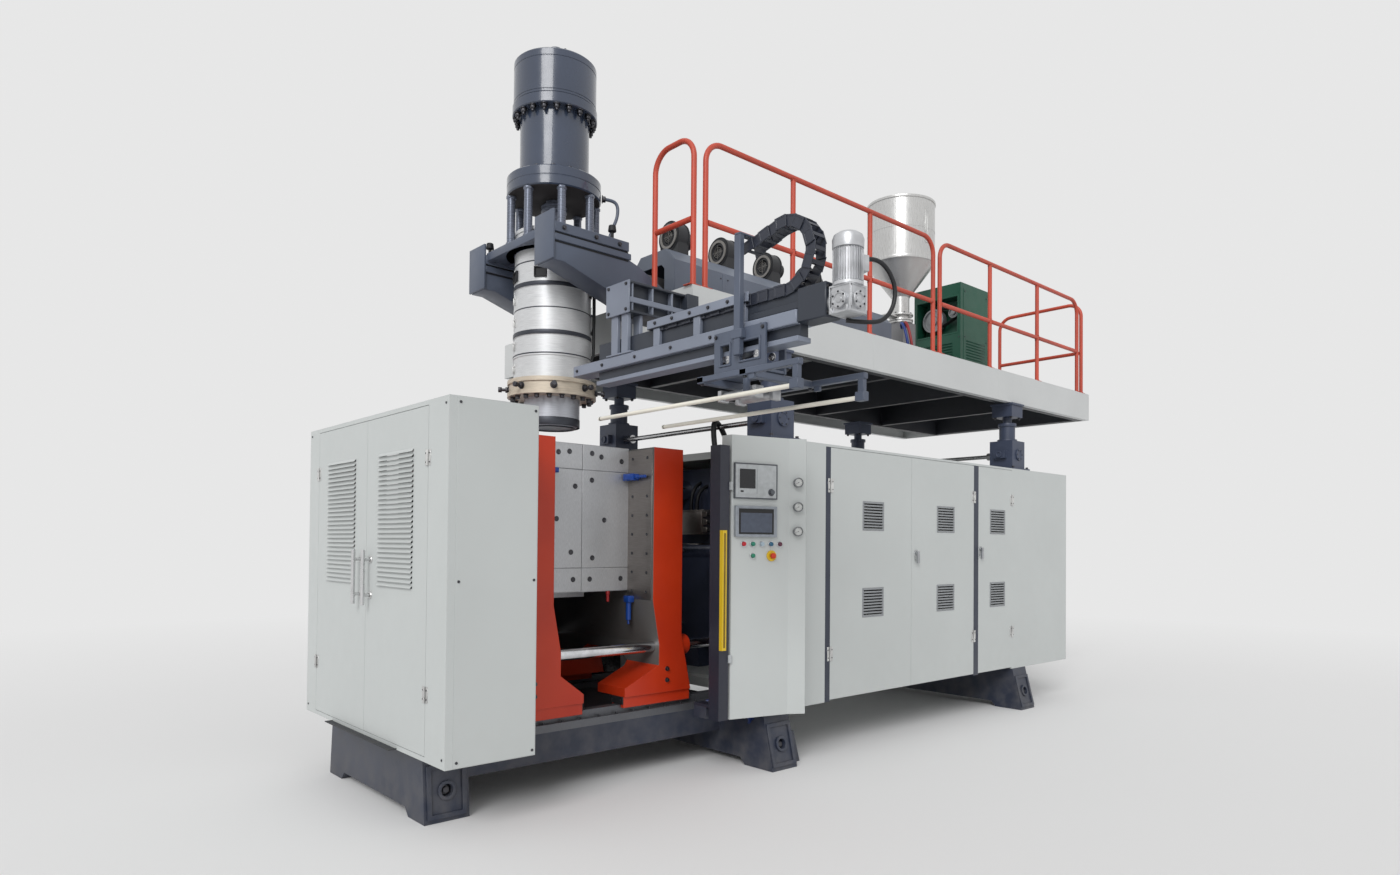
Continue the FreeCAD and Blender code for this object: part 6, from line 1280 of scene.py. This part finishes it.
ram_paint = painted("ram_paint", rgb(56, 65, 83), 0.22, 0.2, 0.0, 0.004, 0.02, coat=0.5)
ring_z, ram_top, lower_r, upper_r = 4.735, 5.130, 0.252, 0.302
outline = [(0, flange_low), (0.336, flange_low), (0.344, flange_low + 0.008), (0.344, flange_low + 0.064),
           (0.341, flange_low + 0.067), (0.341, flange_low + 0.071), (0.344, flange_low + 0.074),
           (0.344, flange_high - 0.008), (0.336, flange_high), (0.264, flange_high),
           (lower_r, flange_high + 0.012), (lower_r, ring_z), (0.304, ring_z), (0.310, ring_z + 0.006),
           (0.310, ring_z + 0.070), (0.299, ring_z + 0.073), (0.299, ring_z + 0.078),
           (upper_r, ring_z + 0.081), (upper_r, ring_z + 0.094), (0.299, ring_z + 0.096),
           (0.299, ring_z + 0.099), (upper_r, ring_z + 0.101), (upper_r, ram_top - 0.062),
           (0.299, ram_top - 0.060), (0.299, ram_top - 0.056), (upper_r, ram_top - 0.054),
           (upper_r, ram_top - 0.010), (0.292, ram_top), (0.120, ram_top), (0.116, ram_top + 0.030),
           (0.050, ram_top + 0.034), (0.046, 5.190), (0.058, 5.196), (0.058, 5.268), (0.050, 5.276),
           (0, 5.276)]
ram = coat(smooth(lathe("ram", outline, (head_x, centre_y)), 25), ram_paint)
# A dark ring under the lower flange is painted shade.
underside_shade = tube("flange_underside_shade", (head_x, centre_y, flange_low - 0.004), (head_x, centre_y, flange_low), 0.334,
             0.270, 72)
fit(underside_shade, painted("painted_shade_steel", rgb(38, 33, 34), 0.75, 0.1, 0.0), "lift")
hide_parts("ram_cylinder")
mount(ram, "lift")
rod_outline = [(0, 3.402), (0.050, 3.402), (0.055, 3.407), (0.055, 4.048), (0.092, 4.052), (0.095, 4.056),
               (0.095, 4.096), (0.092, 4.100), (0.055, 4.104), (0.055, 4.790), (0, 4.790)]
plunger = coat(smooth(lathe("plunger_rod", rod_outline, (head_x, centre_y), 48), 30), column_steel)
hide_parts("ram_crosshead")
mount(plunger, "plunger")

studs = [at(point, (0, 0, -1)) for point in ring_of(20, (head_x, centre_y, ring_z), 0.283, 6)]
stud = unite("ram_stud", hex_bolt("ram_stud", 0.020, 0.030),
             coat(bar("ram_stud_end", (0, 0, 0.028), (0, 0, 0.046), 0.011, 12, edge=0.001), screw_black))
mount(stud, "lift", studs)
seats = [spot(*point) for point in ring_of(16, (head_x, centre_y, flange_high), 0.302, 11)]
tops = [spot(*point) for point in ring_of(12, (head_x, centre_y, ram_top), 0.245)]
mount(cap_screw("ram_flange_screw", 0.016, 0.016), "lift", seats + tops)
eyes = []
for angle in (20, 140, 260):
    base = Vector((head_x, centre_y, ram_top)) + heading(angle) * 0.165
    clear()
    bpy.ops.mesh.primitive_torus_add(major_radius=0.026, minor_radius=0.007, major_segments=24,
                                     minor_segments=8, location=base + Vector((0, 0, 0.044)),
                                     rotation=(math.radians(90), 0, math.radians(angle)))
    eyes += [smooth(seat("lifting_eye"), 50),
             bar("eye_shank", base, base + Vector((0, 0, 0.02)), 0.016, 20, edge=0.002)]
fit(unite("lifting_eyes", *eyes), screw_black, "lift")
drain = ((-2.285, 0.505, 4.185), (-2.225, 0.475, 4.185), (-2.190, 0.455, 4.150), (-2.195, 0.450, 4.060),
         (-2.235, 0.460, 3.960), (-2.265, 0.470, 3.860), (-2.270, 0.470, 3.765))
mount(pipe("drain_pipe", drain, 0.0125, steel_paint), "lift")
port = hex_bolt("drain_union", 0.024, 0.026)
mount(move(port, at((-2.296, 0.512, 4.185), (0.85, -0.50, 0))), "lift")


# ------------ extruder
# The heated barrel under its chamfered sheet cover, cooled by five snail blowers with bright
# inlet rings; the steel hopper feeds it and a belt drive in a green housing turns the screw.

dress(metal("barrel_steel", (0.30, 0.30, 0.31, 1), 0.42, (1, 40, 40)), "extruder_barrel")
dress(ground_steel, "extruder_screw")
cover_paint = painted("cover_paint", rgb(98, 106, 120), 0.40, 0.3, 0.1)
dress(cover_paint, "barrel_cover")
blower_paint = painted("blower_paint", rgb(34, 36, 40), 0.45, 0.3, 0.1)
dress(blower_paint, "cooling_blowers")
inlet_steel = metal("inlet_steel", (0.26, 0.25, 0.235, 1), 0.38, (1, 1, 1), 0.03, 0.2, metallic=0.5)

blower_z, blower_pitch = 4.155, 0.56
blower_xs = [-1.42 + blower_pitch * n for n in range(5)]
inlet = tube("blower_inlet", (0, 0, 0), (0, 0, 0.012), 0.103, 0.022, 40)
spokes = [move(slab("inlet_spoke", (-0.062, -0.0015, 0.004), (0.062, 0.0015, 0.007), 0.0005),
               Matrix.Rotation(math.radians(angle), 4, "Z")) for angle in (0, 90)]
guards = [tube("inlet_wire", (0, 0, 0.004), (0, 0, 0.007), 0.018 + 0.014 * n, 0.003, 28, 0.0008)
          for n in range(3)]
inlet = coat(unite("blower_inlet", inlet, *spokes, *guards), inlet_steel)
mount(inlet, "lift", [at((x - 0.060, centre_y, blower_z), (-1, 0, 0)) for x in blower_xs])
rims = tube("blower_rim", (0, 0, 0), (0, 0, 0.010), 0.131, 0.012, 48)
places = [at((x + shift, centre_y, blower_z), (1, 0, 0)) for x in blower_xs for shift in (-0.060, 0.050)]
fit(rims, blower_paint, "lift", places)
cowl = tube("blower_motor_cowl", (0, 0, 0.048), (0, 0, 0.094), 0.070, 0.007, 32)
fins = [move(slab("motor_fin", (0.060, -0.0014, 0.002), (0.069, 0.0014, 0.046), 0.0005),
             Matrix.Rotation(math.radians(18 * n), 4, "Z")) for n in range(20)]
fit(unite("blower_motor_cowl", cowl, *fins), blower_paint, "lift",
    [at((x + 0.060, centre_y, blower_z), (1, 0, 0)) for x in blower_xs])
outlet = rim("blower_outlet", oblong(0.25, 0.152), 0.018, 0.010)
fit(outlet, blower_paint, "lift",
    [spot(x, centre_y, 3.981) @ Matrix.Rotation(math.radians(90), 4, "Z") for x in blower_xs])

cover_low, cover_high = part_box("barrel_cover")
half_w, rise, chamfer = 0.268, 0.503, 0.108
outline = [(-half_w, 0), (half_w, 0), (half_w, rise - chamfer), (half_w - chamfer, rise),
           (chamfer - half_w, rise), (-half_w, rise - chamfer)]
end_plate = move(rim("cover_end", outline, 0.120, 0.008), plane((-1.640, centre_y, 3.474), (0, -1, 0)))
fit(end_plate, cover_paint, "lift")
cover_joints, cover_walls = (-1.10, -0.40, 0.30, 0.90), ((cover_low[1], -1), (cover_high[1], 1))
heads = [at((x + shift, y, z), (0, out, 0)) for x in cover_joints for y, out in cover_walls
         for z in (3.52, 3.82) for shift in (0.04, -0.04)]
for y, out in cover_walls:
    strips = []
    for x in cover_joints:
        low, high = sorted((y, y + out * 0.003))
        strips.append(tray("cover_joint", (x - 0.022, low, 3.475), (x + 0.022, high, 3.862), (0, out, 0),
                           0.002, (0, out * 0.0006, 0), 0.0006))
    fit(unite("cover_joints_%s" % ("front" if out < 0 else "back"), *strips), cover_paint, "lift")
mount(cap_screw("cover_screw", 0.007, 0.004), "lift", heads)


# ------------ hopper
# Rolled stainless sheet: cylinder, cone and neck with a rolled rim, a strap round the joint,
# a lengthwise seam, a clamped flange and a slide gate on the feed throat.

hopper_steel = metal("hopper_sheet", (0.66, 0.66, 0.65, 1), 0.26, (60, 60, 1), 0.05, 0.10, metallic=0.6)
dress(hopper_steel, "hopper")
hopper_x, hopper_r = 1.79, 0.358
hoops = (("hopper_rim", 5.262, 5.290, hopper_r + 0.008, 0.014, 72, 0.005),
         ("hopper_strap", 4.628, 4.664, hopper_r + 0.006, 0.007, 72, 0.002),
         ("hopper_mid", 4.960, 4.972, hopper_r + 0.002, 0.003, 72, 0.001),
         ("neck_flange", 4.090, 4.106, 0.135, 0.040, 40, 0.002),
         ("neck_flange_low", 4.034, 4.050, 0.135, 0.040, 40, 0.002))
rings = [tube(name, (hopper_x, centre_y, low), (hopper_x, centre_y, high), radius, wall, sides, edge)
         for name, low, high, radius, wall, sides, edge in hoops]
seam_strip = slab("hopper_seam", (-0.010, -0.310, 0), (0.010, 0.290, 0.003), 0.001)
move(seam_strip, on_round((hopper_x, centre_y, 4.965), hopper_r, 205))
fit(unite("hopper_rings", *rings, seam_strip), hopper_steel, "lift")
seats = [spot(*point) for point in ring_of(8, (hopper_x, centre_y, 4.106), 0.118, 10)]
mount(hex_bolt("neck_bolt", 0.010, 0.014), "lift", seats)
gate = tray("slide_gate", (1.56, 0.66, 4.062), (1.70, 0.75, 4.078), (-1, 0, 0), 0.002, (-0.05, 0, 0),
            0.003, 2)
fit(gate, hinge_metal, "lift")
glass = slab("sight_strip", (-0.020, -0.18, 0), (0.020, 0.18, 0.004))
sink(glass, (0, 0, 1), 0.007, (0, 0, -0.002))
move(glass, on_round((hopper_x, centre_y, 4.98), hopper_r, 262))
fit(soften(glass, 0.001, 1), hinge_metal, "lift")
water = (("water_red", rgb(150, 30, 34), 0.0), ("water_blue", rgb(32, 62, 140), 0.045))
for name, colour, shift in water:
    points = ((1.66, 0.55 + shift, 3.93), (1.56, 0.50 + shift, 3.96), (1.50, 0.42 + shift, 3.92),
              (1.48, 0.36 + shift, 3.76), (1.50, 0.34 + shift, 3.56), (1.52, 0.34 + shift, 3.40))
    mount(pipe(name + "_hose", points, 0.014, plastic(name, colour, 0.4)), "lift")


# ------------ drive housing
# A welded green box on the deck: the belt pulleys show in the open recess at its end, and
# louvres let the motor breathe.

green_paint = painted("green_paint", rgb(24, 78, 60), 0.42, 0.3, 0.1)
dress(green_paint, "drive_box")
cast_grey = metal("cast_pulley", (0.34, 0.35, 0.36, 1), 0.45, (1, 1, 1), 0.1, 0.2, metallic=0.7)
belt_rubber = plastic("belt_rubber", rgb(20, 20, 22), 0.65)
pulleys = []
for name, y, z, radius in (("large_pulley", 0.800, 4.205, 0.135), ("small_pulley", 0.535, 4.255, 0.062)):
    wheel = bar(name, (2.560, y, z), (2.640, y, z), radius, 48)
    sink(wheel, (-1, 0, 0), radius * 0.16, (0.022, 0, 0))
    choose(wheel, lambda c, n: n.x < -0.9 and (c - Vector((2.582, y, z))).length < 0.02)
    bpy.ops.mesh.inset(thickness=radius * 0.42)
    bpy.ops.mesh.extrude_region_move(TRANSFORM_OT_translate={"value": (-0.03, 0, 0)})
    clear()
    pulleys.append(soften(wheel, 0.003))
fit(unite("drive_pulleys", *pulleys), cast_grey, "lift")
belts = []
for number in range(4):
    x = 2.572 + 0.018 * number
    hull = []
    for y, z, radius, first, last in ((0.800, 4.205, 0.139, -84, 106), (0.535, 4.255, 0.066, 106, 276)):
        for step in range(13):
            angle = math.radians(first + (last - first) * step / 12)
            hull.append((y + radius * math.cos(angle), z + radius * math.sin(angle)))
    belt = rim("belt", hull, 0.008, 0.012)
    belts.append(move(belt, plane((x, 0, 0), (0, 1, 0))))
fit(unite("drive_belts", *belts), belt_rubber, "lift")
lip = rim("recess_lip", oblong(0.556, 0.436), 0.018, 0.004)
fit(move(lip, plane((2.500, centre_y, 4.210), (0, -1, 0))), green_paint, "lift")
louvre = slab("drive_louvre", (-0.20, -0.004, 0), (0.20, 0.012, 0.002))
choose(louvre, facing(0, 1, 0))
bpy.ops.transform.translate(value=(0, 0, 0.010))
clear()
louvre = coat(soften(louvre, 0.0008, 1), green_paint)
louvre_pitch, places = 0.032, []
for x, y, low, right_way, rows in ((2.81, 0.405, 3.56, (1, 0, 0), 12),
                                   (2.81, 1.005, 3.56, (-1, 0, 0), 12),
                                   (2.500, centre_y, 3.50, (0, -1, 0), 13),
                                   (3.120, centre_y, 3.70, (0, 1, 0), 18)):
    places += [plane((x, y, low + louvre_pitch * n), right_way) for n in range(rows)]
mount(louvre, "lift", places)
lids = []
for name, low, high in (("drive_lid", (2.515, 0.420, 4.560), (3.105, 0.670, 4.5635)),
                        ("drive_lid_2", (2.515, 0.740, 4.560), (3.105, 0.990, 4.5635))):
    lids.append(tray(name, low, high, (0, 0, 1), 0.006, (0, 0, 0.001), 0.001))
lids.append(slab("drive_panel", (2.560, 0.4015, 3.42), (3.060, 0.4050, 4.50), 0.001))
fit(unite("drive_lids", *lids), green_paint, "lift")
heads = [at((x, 0.4015, z), (0, -1, 0)) for x in (2.58, 3.04) for z in (3.45, 3.96, 4.47)]
heads += [at((2.500, y, z), (-1, 0, 0)) for y in (0.425, 0.985) for z in (3.44, 3.95)]
mount(cap_screw("drive_screw", 0.008, 0.005), "lift", heads)


# ------------ take-out beam
# The fixed beam beside the head: a painted box beam over a ground guide rail, the trough for
# the cable chain on posts above it, and the bracket that carries it all on the platform.

beam_paint = painted("beam_paint", rgb(126, 133, 148), 0.36, 0.3, 0.1)
shadow_paint = painted("dark_beam_paint", rgb(46, 51, 61), 0.42, 0.3, 0.1)
arm_x, beam_half, beam_front, beam_back = -2.65, 0.065, -1.800, 0.240
beam_low, beam_high, trough_high = 2.752, 2.826, 2.990
light, dark = [], []


def beam_box(pieces, name, x, y, z, edge=0.003):
    """A length of section between two x, two y and two z."""
    pieces.append(slab(name, (x[0], y[0], z[0]), (x[1], y[1], z[1]), edge))


wide = (arm_x - beam_half, arm_x + beam_half)
beam_box(light, "box_beam", wide, (beam_front, beam_back), (beam_low, beam_high), 0.005)
beam_box(dark, "rail_web", (arm_x - 0.032, arm_x + 0.032), (beam_front, -0.02), (2.690, 2.940))
beam_box(light, "guide_rail", (arm_x - 0.052, arm_x + 0.052), (beam_front, -0.02), (2.664, 2.692), 0.002)
for number in range(3):
    y = -0.68 - 0.37 * number
    beam_box(light, "trough_post", (wide[0] + 0.010, arm_x - 0.030), (y, y + 0.060),
             (beam_high - 0.002, 2.945))
beam_box(dark, "trough_floor", wide, (-1.450, -0.570), (2.934, 2.942))
for x in (wide[0], wide[1] - 0.008):
    beam_box(light, "trough_wall", (x, x + 0.008), (-1.450, -0.570), (2.936, trough_high), 0.002)
beam_box(dark, "beam_end_block", (wide[0] + 0.004, wide[1] - 0.004), (-1.990, beam_front), (2.752, 2.930),
         0.006)
beam_box(dark, "beam_end_top", (wide[0] + 0.014, wide[1] - 0.014), (-1.800, -1.450), (2.830, 2.866))
bracket_y, bracket_z = (-0.394, -0.160), (3.085, 3.288)
beam_box(light, "bracket_end", (wide[0] - 0.012, wide[0]), (bracket_y[0] - 0.006, bracket_y[1] + 0.006),
         (bracket_z[0] - 0.004, bracket_z[1] + 0.002))
bracket_x = (wide[0], -2.150)
for low, high in ((bracket_z[0], bracket_z[0] + 0.016), (bracket_z[1] - 0.016, bracket_z[1])):
    beam_box(dark, "bracket_flange", bracket_x, bracket_y, (low, high))
beam_box(dark, "bracket_web", bracket_x, (-0.350, -0.204), (bracket_z[0] + 0.012, bracket_z[1] - 0.012))
for number in range(4):
    x = wide[0] + 0.02 + 0.165 * number
    beam_box(light, "bracket_rib", (x, x + 0.014), (bracket_y[0] + 0.004, bracket_y[1] - 0.004),
             (bracket_z[0] + 0.012, bracket_z[1] - 0.012))
beam_box(light, "bracket_lip", bracket_x, (bracket_y[0] - 0.002, bracket_y[0] + 0.010), (3.150, 3.185))
for x in (wide[0] + 0.004, wide[1] - 0.030):
    for y in (-0.370, -0.262):
        beam_box(light, "bracket_leg", (x, x + 0.026), (y, y + 0.070),
                 (beam_high - 0.002, bracket_z[0] + 0.002))
beam_box(light, "leg_plate", (wide[0] - 0.006, wide[1] + 0.006), (-0.410, -0.150),
         (beam_high, beam_high + 0.012))
dark.append(slab("bracket_knee", (-2.250, -0.420, 3.000), (-2.150, -0.130, 3.290), 0.004, 2))
box_beam = coat(unite("takeout_box_beam", *light), beam_paint)
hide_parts("takeout_beam")
mount(box_beam, "lift")
fit(unite("takeout_webs", *dark), shadow_paint, "lift")
seats = [at((wide[0], y, 2.789), (-1, 0, 0)) for y in (0.19, -0.10, -0.45, -0.80, -1.15, -1.55)]
seats += [at((wide[0] - 0.012, y, z), (-1, 0, 0)) for y in (-0.370, -0.184) for z in (3.105, 3.268)]
seats += [at((wide[0], -0.65 - 0.16 * n, 2.964), (-1, 0, 0)) for n in range(5)]
seats += [at((arm_x + dx, -1.990, z), (0, -1, 0)) for dx in (-0.045, 0.045) for z in (2.775, 2.905)]
mount(hex_bolt("beam_bolt", 0.009, 0.009), "lift", seats)


# ------------ take-out carriage
# Plates with two windows each side of the beam, riding on rollers, with a thin mast that draws
# the chain along and the yoke that holds two long gripper rods over the mould.

carriage_y, carriage_z, plate_out = (-1.600, -1.205), (2.534, 2.792), 0.0685
openings = ((-1.555, 0.140, 2.615, 0.100), (-1.330, 0.070, 2.610, 0.105))
sheets = []
for sign in (-1, 1):
    x = sorted((arm_x + sign * plate_out, arm_x + sign * (plate_out + 0.016)))
    edges = [carriage_y[0]] + [value for y, w, z, h in openings for value in (y, y + w)] + [carriage_y[1]]
    for first, last in ((0, 1), (2, 3), (4, 5)):
        beam_box(sheets, "carriage_stile", x, (edges[first], edges[last]), carriage_z, 0.001)
    for y, w, z, h in openings:
        beam_box(sheets, "carriage_foot", x, (y - 0.001, y + w + 0.001), (carriage_z[0], z), 0.001)
        beam_box(sheets, "carriage_brow", x, (y - 0.001, y + w + 0.001), (z + h, carriage_z[1]), 0.001)
        if sign < 0:
            window_rim = rim("window_rim", oblong(w + 0.024, h + 0.024), 0.011, 0.006)
            sheets.append(move(window_rim, plane((x[0], y + w / 2, z + h / 2), (0, -1, 0))))
beam_box(sheets, "carriage_floor", (arm_x - 0.066, arm_x + 0.066), carriage_y, (carriage_z[0], 2.550))
beam_box(sheets, "mast", (-2.768, -2.7345), (-1.440, -1.392), (2.640, 3.296))
beam_box(sheets, "mast_arm", (-2.768, arm_x + 0.050), (-1.440, -1.392), (3.296, 3.308))
beam_box(sheets, "mast_foot", (-2.772, -2.7345), (-1.456, -1.376), (2.730, 2.780))
sheets.append(bar("carriage_post", (-2.740, -1.470, 2.440), (-2.740, -1.470, 2.536), 0.020, 20,
                  edge=0.002))
carriage = coat(unite("carriage", *sheets), steel_paint)
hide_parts("takeout_carriage")
mount(carriage, "arm_carriage")
seats = []
for y in (-1.582, -1.400, -1.370, -1.222):
    for z in (2.556, 2.770):
        seats += [at((arm_x - plate_out - 0.016, y, z), (-1, 0, 0)),
                  at((arm_x + plate_out + 0.016, y, z), (1, 0, 0))]
mount(hex_bolt("carriage_bolt", 0.009, 0.010), "arm_carriage", seats)
wheels = [at((arm_x + sign * 0.0675, y, 2.640), (-sign, 0, 0)) for sign in (-1, 1)
          for y in (-1.515, -1.290)]
wheel = [bar("carriage_roller", (0, 0, 0.002), (0, 0, 0.014), 0.023, 28, edge=0.002, segments=2),
         bar("roller_hub", (0, 0, 0.0), (0, 0, 0.018), 0.009, 6, edge=0.001)]
fit(unite("carriage_roller", *wheel), ground_steel, "arm_carriage", wheels)

cream_steel = painted("cream_rod", (0.80, 0.77, 0.68, 1), 0.3, 0.2, 0.05)
rod_z, rod_reach, rod_half = 2.400, (-1.950, -0.268), 0.26
frame_parts, rod_parts = [], []
for sign in (-1, 1):
    x = head_x + sign * rod_half
    rod_parts.append(bar("gripper_rod", (x, rod_reach[0], rod_z), (x, rod_reach[1], rod_z), 0.0125, 24,
                         edge=0.002))
    beam_box(frame_parts, "rod_clamp", (x - 0.024, x + 0.024), (-1.953, -1.895),
             (rod_z - 0.019, rod_z + 0.030))
    beam_box(frame_parts, "hanger_post", (x - 0.015, x + 0.015), (-1.945, -1.908), (rod_z + 0.028, 2.505),
             0.002)
    beam_box(frame_parts, "hanger_rail", (x - 0.018, x + 0.018), (-1.953, -1.210), (2.498, 2.530), 0.003)
    beam_box(frame_parts, "rail_brace", (x - 0.010, x + 0.010), (-1.640, -1.600), (2.470, 2.500), 0.002)
for y in (-1.590, -1.260):
    beam_box(frame_parts, "yoke_bar", (head_x - 0.278, head_x + 0.278), (y, y + 0.050), (2.494, 2.532),
             0.003)
gripper = coat(unite("gripper_frame", *frame_parts), steel_paint)
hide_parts("takeout_gripper")
mount(gripper, "arm_carriage")
fit(unite("gripper_rods", *rod_parts), cream_steel, "arm_carriage")
tips = [at((head_x + sign * rod_half, rod_reach[1] - 0.02, rod_z), (0, 1, 0)) for sign in (-1, 1)]
tip = bar("grip_tip", (0, 0, 0), (0, 0, 0.022), 0.0145, 24, 0.009, edge=0.003, segments=2)
fit(tip, wiper_rubber, "arm_carriage", tips)
seats = [at((head_x + sign * rod_half, y, 2.4940), (0, 0, -1)) for sign in (-1, 1)
         for y in (-1.565, -1.235)]
mount(hex_bolt("yoke_bolt", 0.010, 0.010), "arm_carriage", seats)
actuators = []
for x in (-2.500, -2.640):
    actuators += [bar("grip_cylinder", (x, -1.44, 2.452), (x, -1.20, 2.452), 0.026, 28, edge=0.003,
                      segments=2),
                  slab("cylinder_end", (x - 0.032, -1.470, 2.420), (x + 0.032, -1.440, 2.486), 0.003, 2),
                  slab("cylinder_head", (x - 0.032, -1.200, 2.420), (x + 0.032, -1.170, 2.486), 0.003, 2)]
cast_aluminium = metal("cast_aluminium", (0.60, 0.61, 0.63, 1), 0.36, (1, 1, 1), 0.15, 0.2, metallic=0.6)
fit(unite("grip_cylinders", *actuators), cast_aluminium, "arm_carriage")


# ------------ cable chain
# Moulded links, wide and narrow by turns, each two side plates with rungs between them, lying
# in the trough, turning over in a loop and coming back to the top of the mast.

chain_plastic = plastic("chain_plastic", rgb(46, 50, 62), 0.36)
loop_y, loop_z, loop_r, chain_start, chain_turn = -1.690, 3.130, 0.182, -0.640, math.radians(196)
link_pitch, link_tall, link_wide, mast_y = 0.062, 0.064, 0.094, -1.425


def chain_place(along):
    """The place of a link at a length along the chain: the straight, the loop and the straight back."""
    over = along - (chain_start - loop_y)
    turned = min(max(over, 0) / loop_r, chain_turn)
    rest = over - turned * loop_r
    y = loop_y - loop_r * math.sin(turned) - rest * math.cos(turned)
    z = loop_z - loop_r * math.cos(turned) + rest * math.sin(turned)
    return spot(arm_x, y, z) @ Matrix.Rotation(-turned, 4, "X")


def chain_link(name, half):
    """One link at the origin, lying along Y, its side plates at the given half width."""
    pieces = []
    for sign in (-1, 1):
        cheek = slab("chain_cheek", (sign * half - 0.003, -0.039, -link_tall / 2),
                     (sign * half + 0.003, 0.039, link_tall / 2))
        sink(cheek, (sign, 0, 0), 0.011, (-sign * 0.0018, 0, 0))
        pieces.append(apply(cheek, "BEVEL", width=0.006, segments=1, limit_method="ANGLE",
                            angle_limit=1.2))
    for level in (-1, 1):
        z = sorted((level * (link_tall / 2 - 0.004), level * (link_tall / 2 + 0.001)))
        pieces.append(slab("chain_rung", (-half, -0.010, z[0]), (half, 0.010, z[1])))
    return coat(unite(name, *pieces), chain_plastic)


link_places = []
for number in range(38):
    place = chain_place(link_pitch * (number + 0.5))
    if place.translation.y > mast_y and number > 20:
        break
    link_places.append(place)
wide_links = repeat(chain_link("wide_links", link_wide / 2), link_places[::2])
narrow_links = repeat(chain_link("narrow_links", link_wide / 2 - 0.0065), link_places[1::2])
chain = unite("cable_chain", wide_links, narrow_links)
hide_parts("drag_chain")
mount(chain, "lift")


# ------------ take-out gearmotor
# A cast worm gear box bolted to the end of the beam, its bearing covers screwed on, with a
# finned motor and its fan cowl standing on top.

gear_y, gear_z, gear_half, bore_z = -2.080, (2.752, 2.892), 0.066, 2.815
open_sides = ((-1, 0, 0), (0, -1, 0), (1, 0, 0))
case = slab("gear_case", (arm_x - gear_half, gear_y - gear_half, gear_z[0]),
            (arm_x + gear_half, gear_y + gear_half, gear_z[1]))
for way in open_sides:
    sink(case, way, 0.010, tuple(-0.005 * value for value in way))
parts = [soften(case, 0.004, 2)]
for way in open_sides:
    place = at(Vector((arm_x, gear_y, bore_z)) + Vector(way) * (gear_half - 0.006), way)
    cover = bar("bearing_cover", (0, 0, 0), (0, 0, 0.016), 0.046, 36, 0.043)
    sink(cover, (0, 0, 1), 0.014, (0, 0, -0.006))
    parts.append(move(soften(cover, 0.002), place))
    parts.append(move(bar("gear_bore", (0, 0, 0.004), (0, 0, 0.014), 0.018, 24, 0.016, edge=0.002,
                          segments=2), place))
parts.append(bar("beam_spigot", (arm_x, gear_y + gear_half - 0.004, 2.822), (arm_x, -1.988, 2.822), 0.050,
                 32, edge=0.002, segments=2))
for dy in (-0.055, 0.043):
    parts.append(slab("gear_foot", (arm_x - 0.074, gear_y + dy, gear_z[0] - 0.002),
                      (arm_x + 0.074, gear_y + dy + 0.012, gear_z[0] + 0.030), 0.002))
motor_low, motor_high = gear_z[1], 3.160
foot_r, body_r, cowl_r = 0.078, 0.066, 0.078
motor_outline = [(0, motor_low - 0.002), (foot_r, motor_low - 0.002), (foot_r, motor_low + 0.014),
                 (body_r, motor_low + 0.018), (body_r, motor_high - 0.088), (cowl_r, motor_high - 0.084),
                 (cowl_r + 0.002, motor_high - 0.040), (cowl_r - 0.006, motor_high - 0.018),
                 (0.052, motor_high - 0.004), (0.030, motor_high), (0, motor_high)]
parts.append(smooth(lathe("gear_motor", motor_outline, (arm_x, gear_y), 64), 32))
for number in range(32):
    fin = slab("motor_fin", (body_r - 0.002, -0.0016, motor_low + 0.020),
               (body_r + 0.011, 0.0016, motor_high - 0.090))
    turned = Matrix.Rotation(math.radians(11.25 * number + 5), 4, "Z")
    parts.append(move(soften(fin, 0.0006, 1), spot(arm_x, gear_y, 0) @ turned))
terminal = tray("motor_terminals", (-0.036, -0.040, -0.010), (0.036, 0.040, 0.034), (0, 0, 1), 0.006,
                (0, 0, 0.004), 0.004, 2)
parts.append(move(terminal, on_round((arm_x, gear_y, 3.010), body_r, -20)))
gearmotor = coat(unite("gearmotor", *parts), cast_aluminium)
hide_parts("takeout_gearmotor")
mount(gearmotor, "lift")
seats = []
for way in open_sides:
    place = at(Vector((arm_x, gear_y, bore_z)) + Vector(way) * (gear_half + 0.009), way)
    seats += bolt_circle(6, place, 0.037, 30)
mount(cap_screw("gear_screw", 0.005, 0.005), "lift", seats)
loop = ((-2.552, -2.118, 3.040), (-2.500, -2.135, 3.052), (-2.420, -2.150, 3.020),
        (-2.362, -2.160, 2.930), (-2.372, -2.155, 2.830), (-2.430, -2.140, 2.752),
        (-2.520, -2.110, 2.728), (-2.600, -2.030, 2.742))
mount(pipe("motor_cable", loop, 0.0115, hose_rubber), "lift")


# ------------ behind the doors
# The oil tank with its pump set, and the zinc-plated rack with three rows of dark breakers,
# seen only when a door stands open.

tank_paint = painted("tank_paint", rgb(120, 126, 132), 0.45)
dress(tank_paint, "hydraulic_unit")
dress(metal("zinc_sheet", (0.62, 0.62, 0.58, 1), 0.4, (1, 1, 30), 0.05, 0.2, metallic=0.6),
      "electric_rack")
rack_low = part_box("electric_rack")[0]
units, group_pitch, breaker_pitch = [], 0.35, 0.057
for z in (0.72, 1.20, 1.68):
    for group in range(4):
        for step in range(5):
            x = 1.56 + group_pitch * group + breaker_pitch * step
            units.append(tray("breaker", (x + 0.006, rack_low[1] - 0.006, z + 0.010),
                              (x + 0.056, rack_low[1] + 0.002, z + 0.240), (0, -1, 0), 0.006,
                              (0, -0.004, 0), 0.001))
fit(unite("rack_breakers", *units), plastic("breaker_plastic", rgb(52, 56, 62), 0.4), "base")
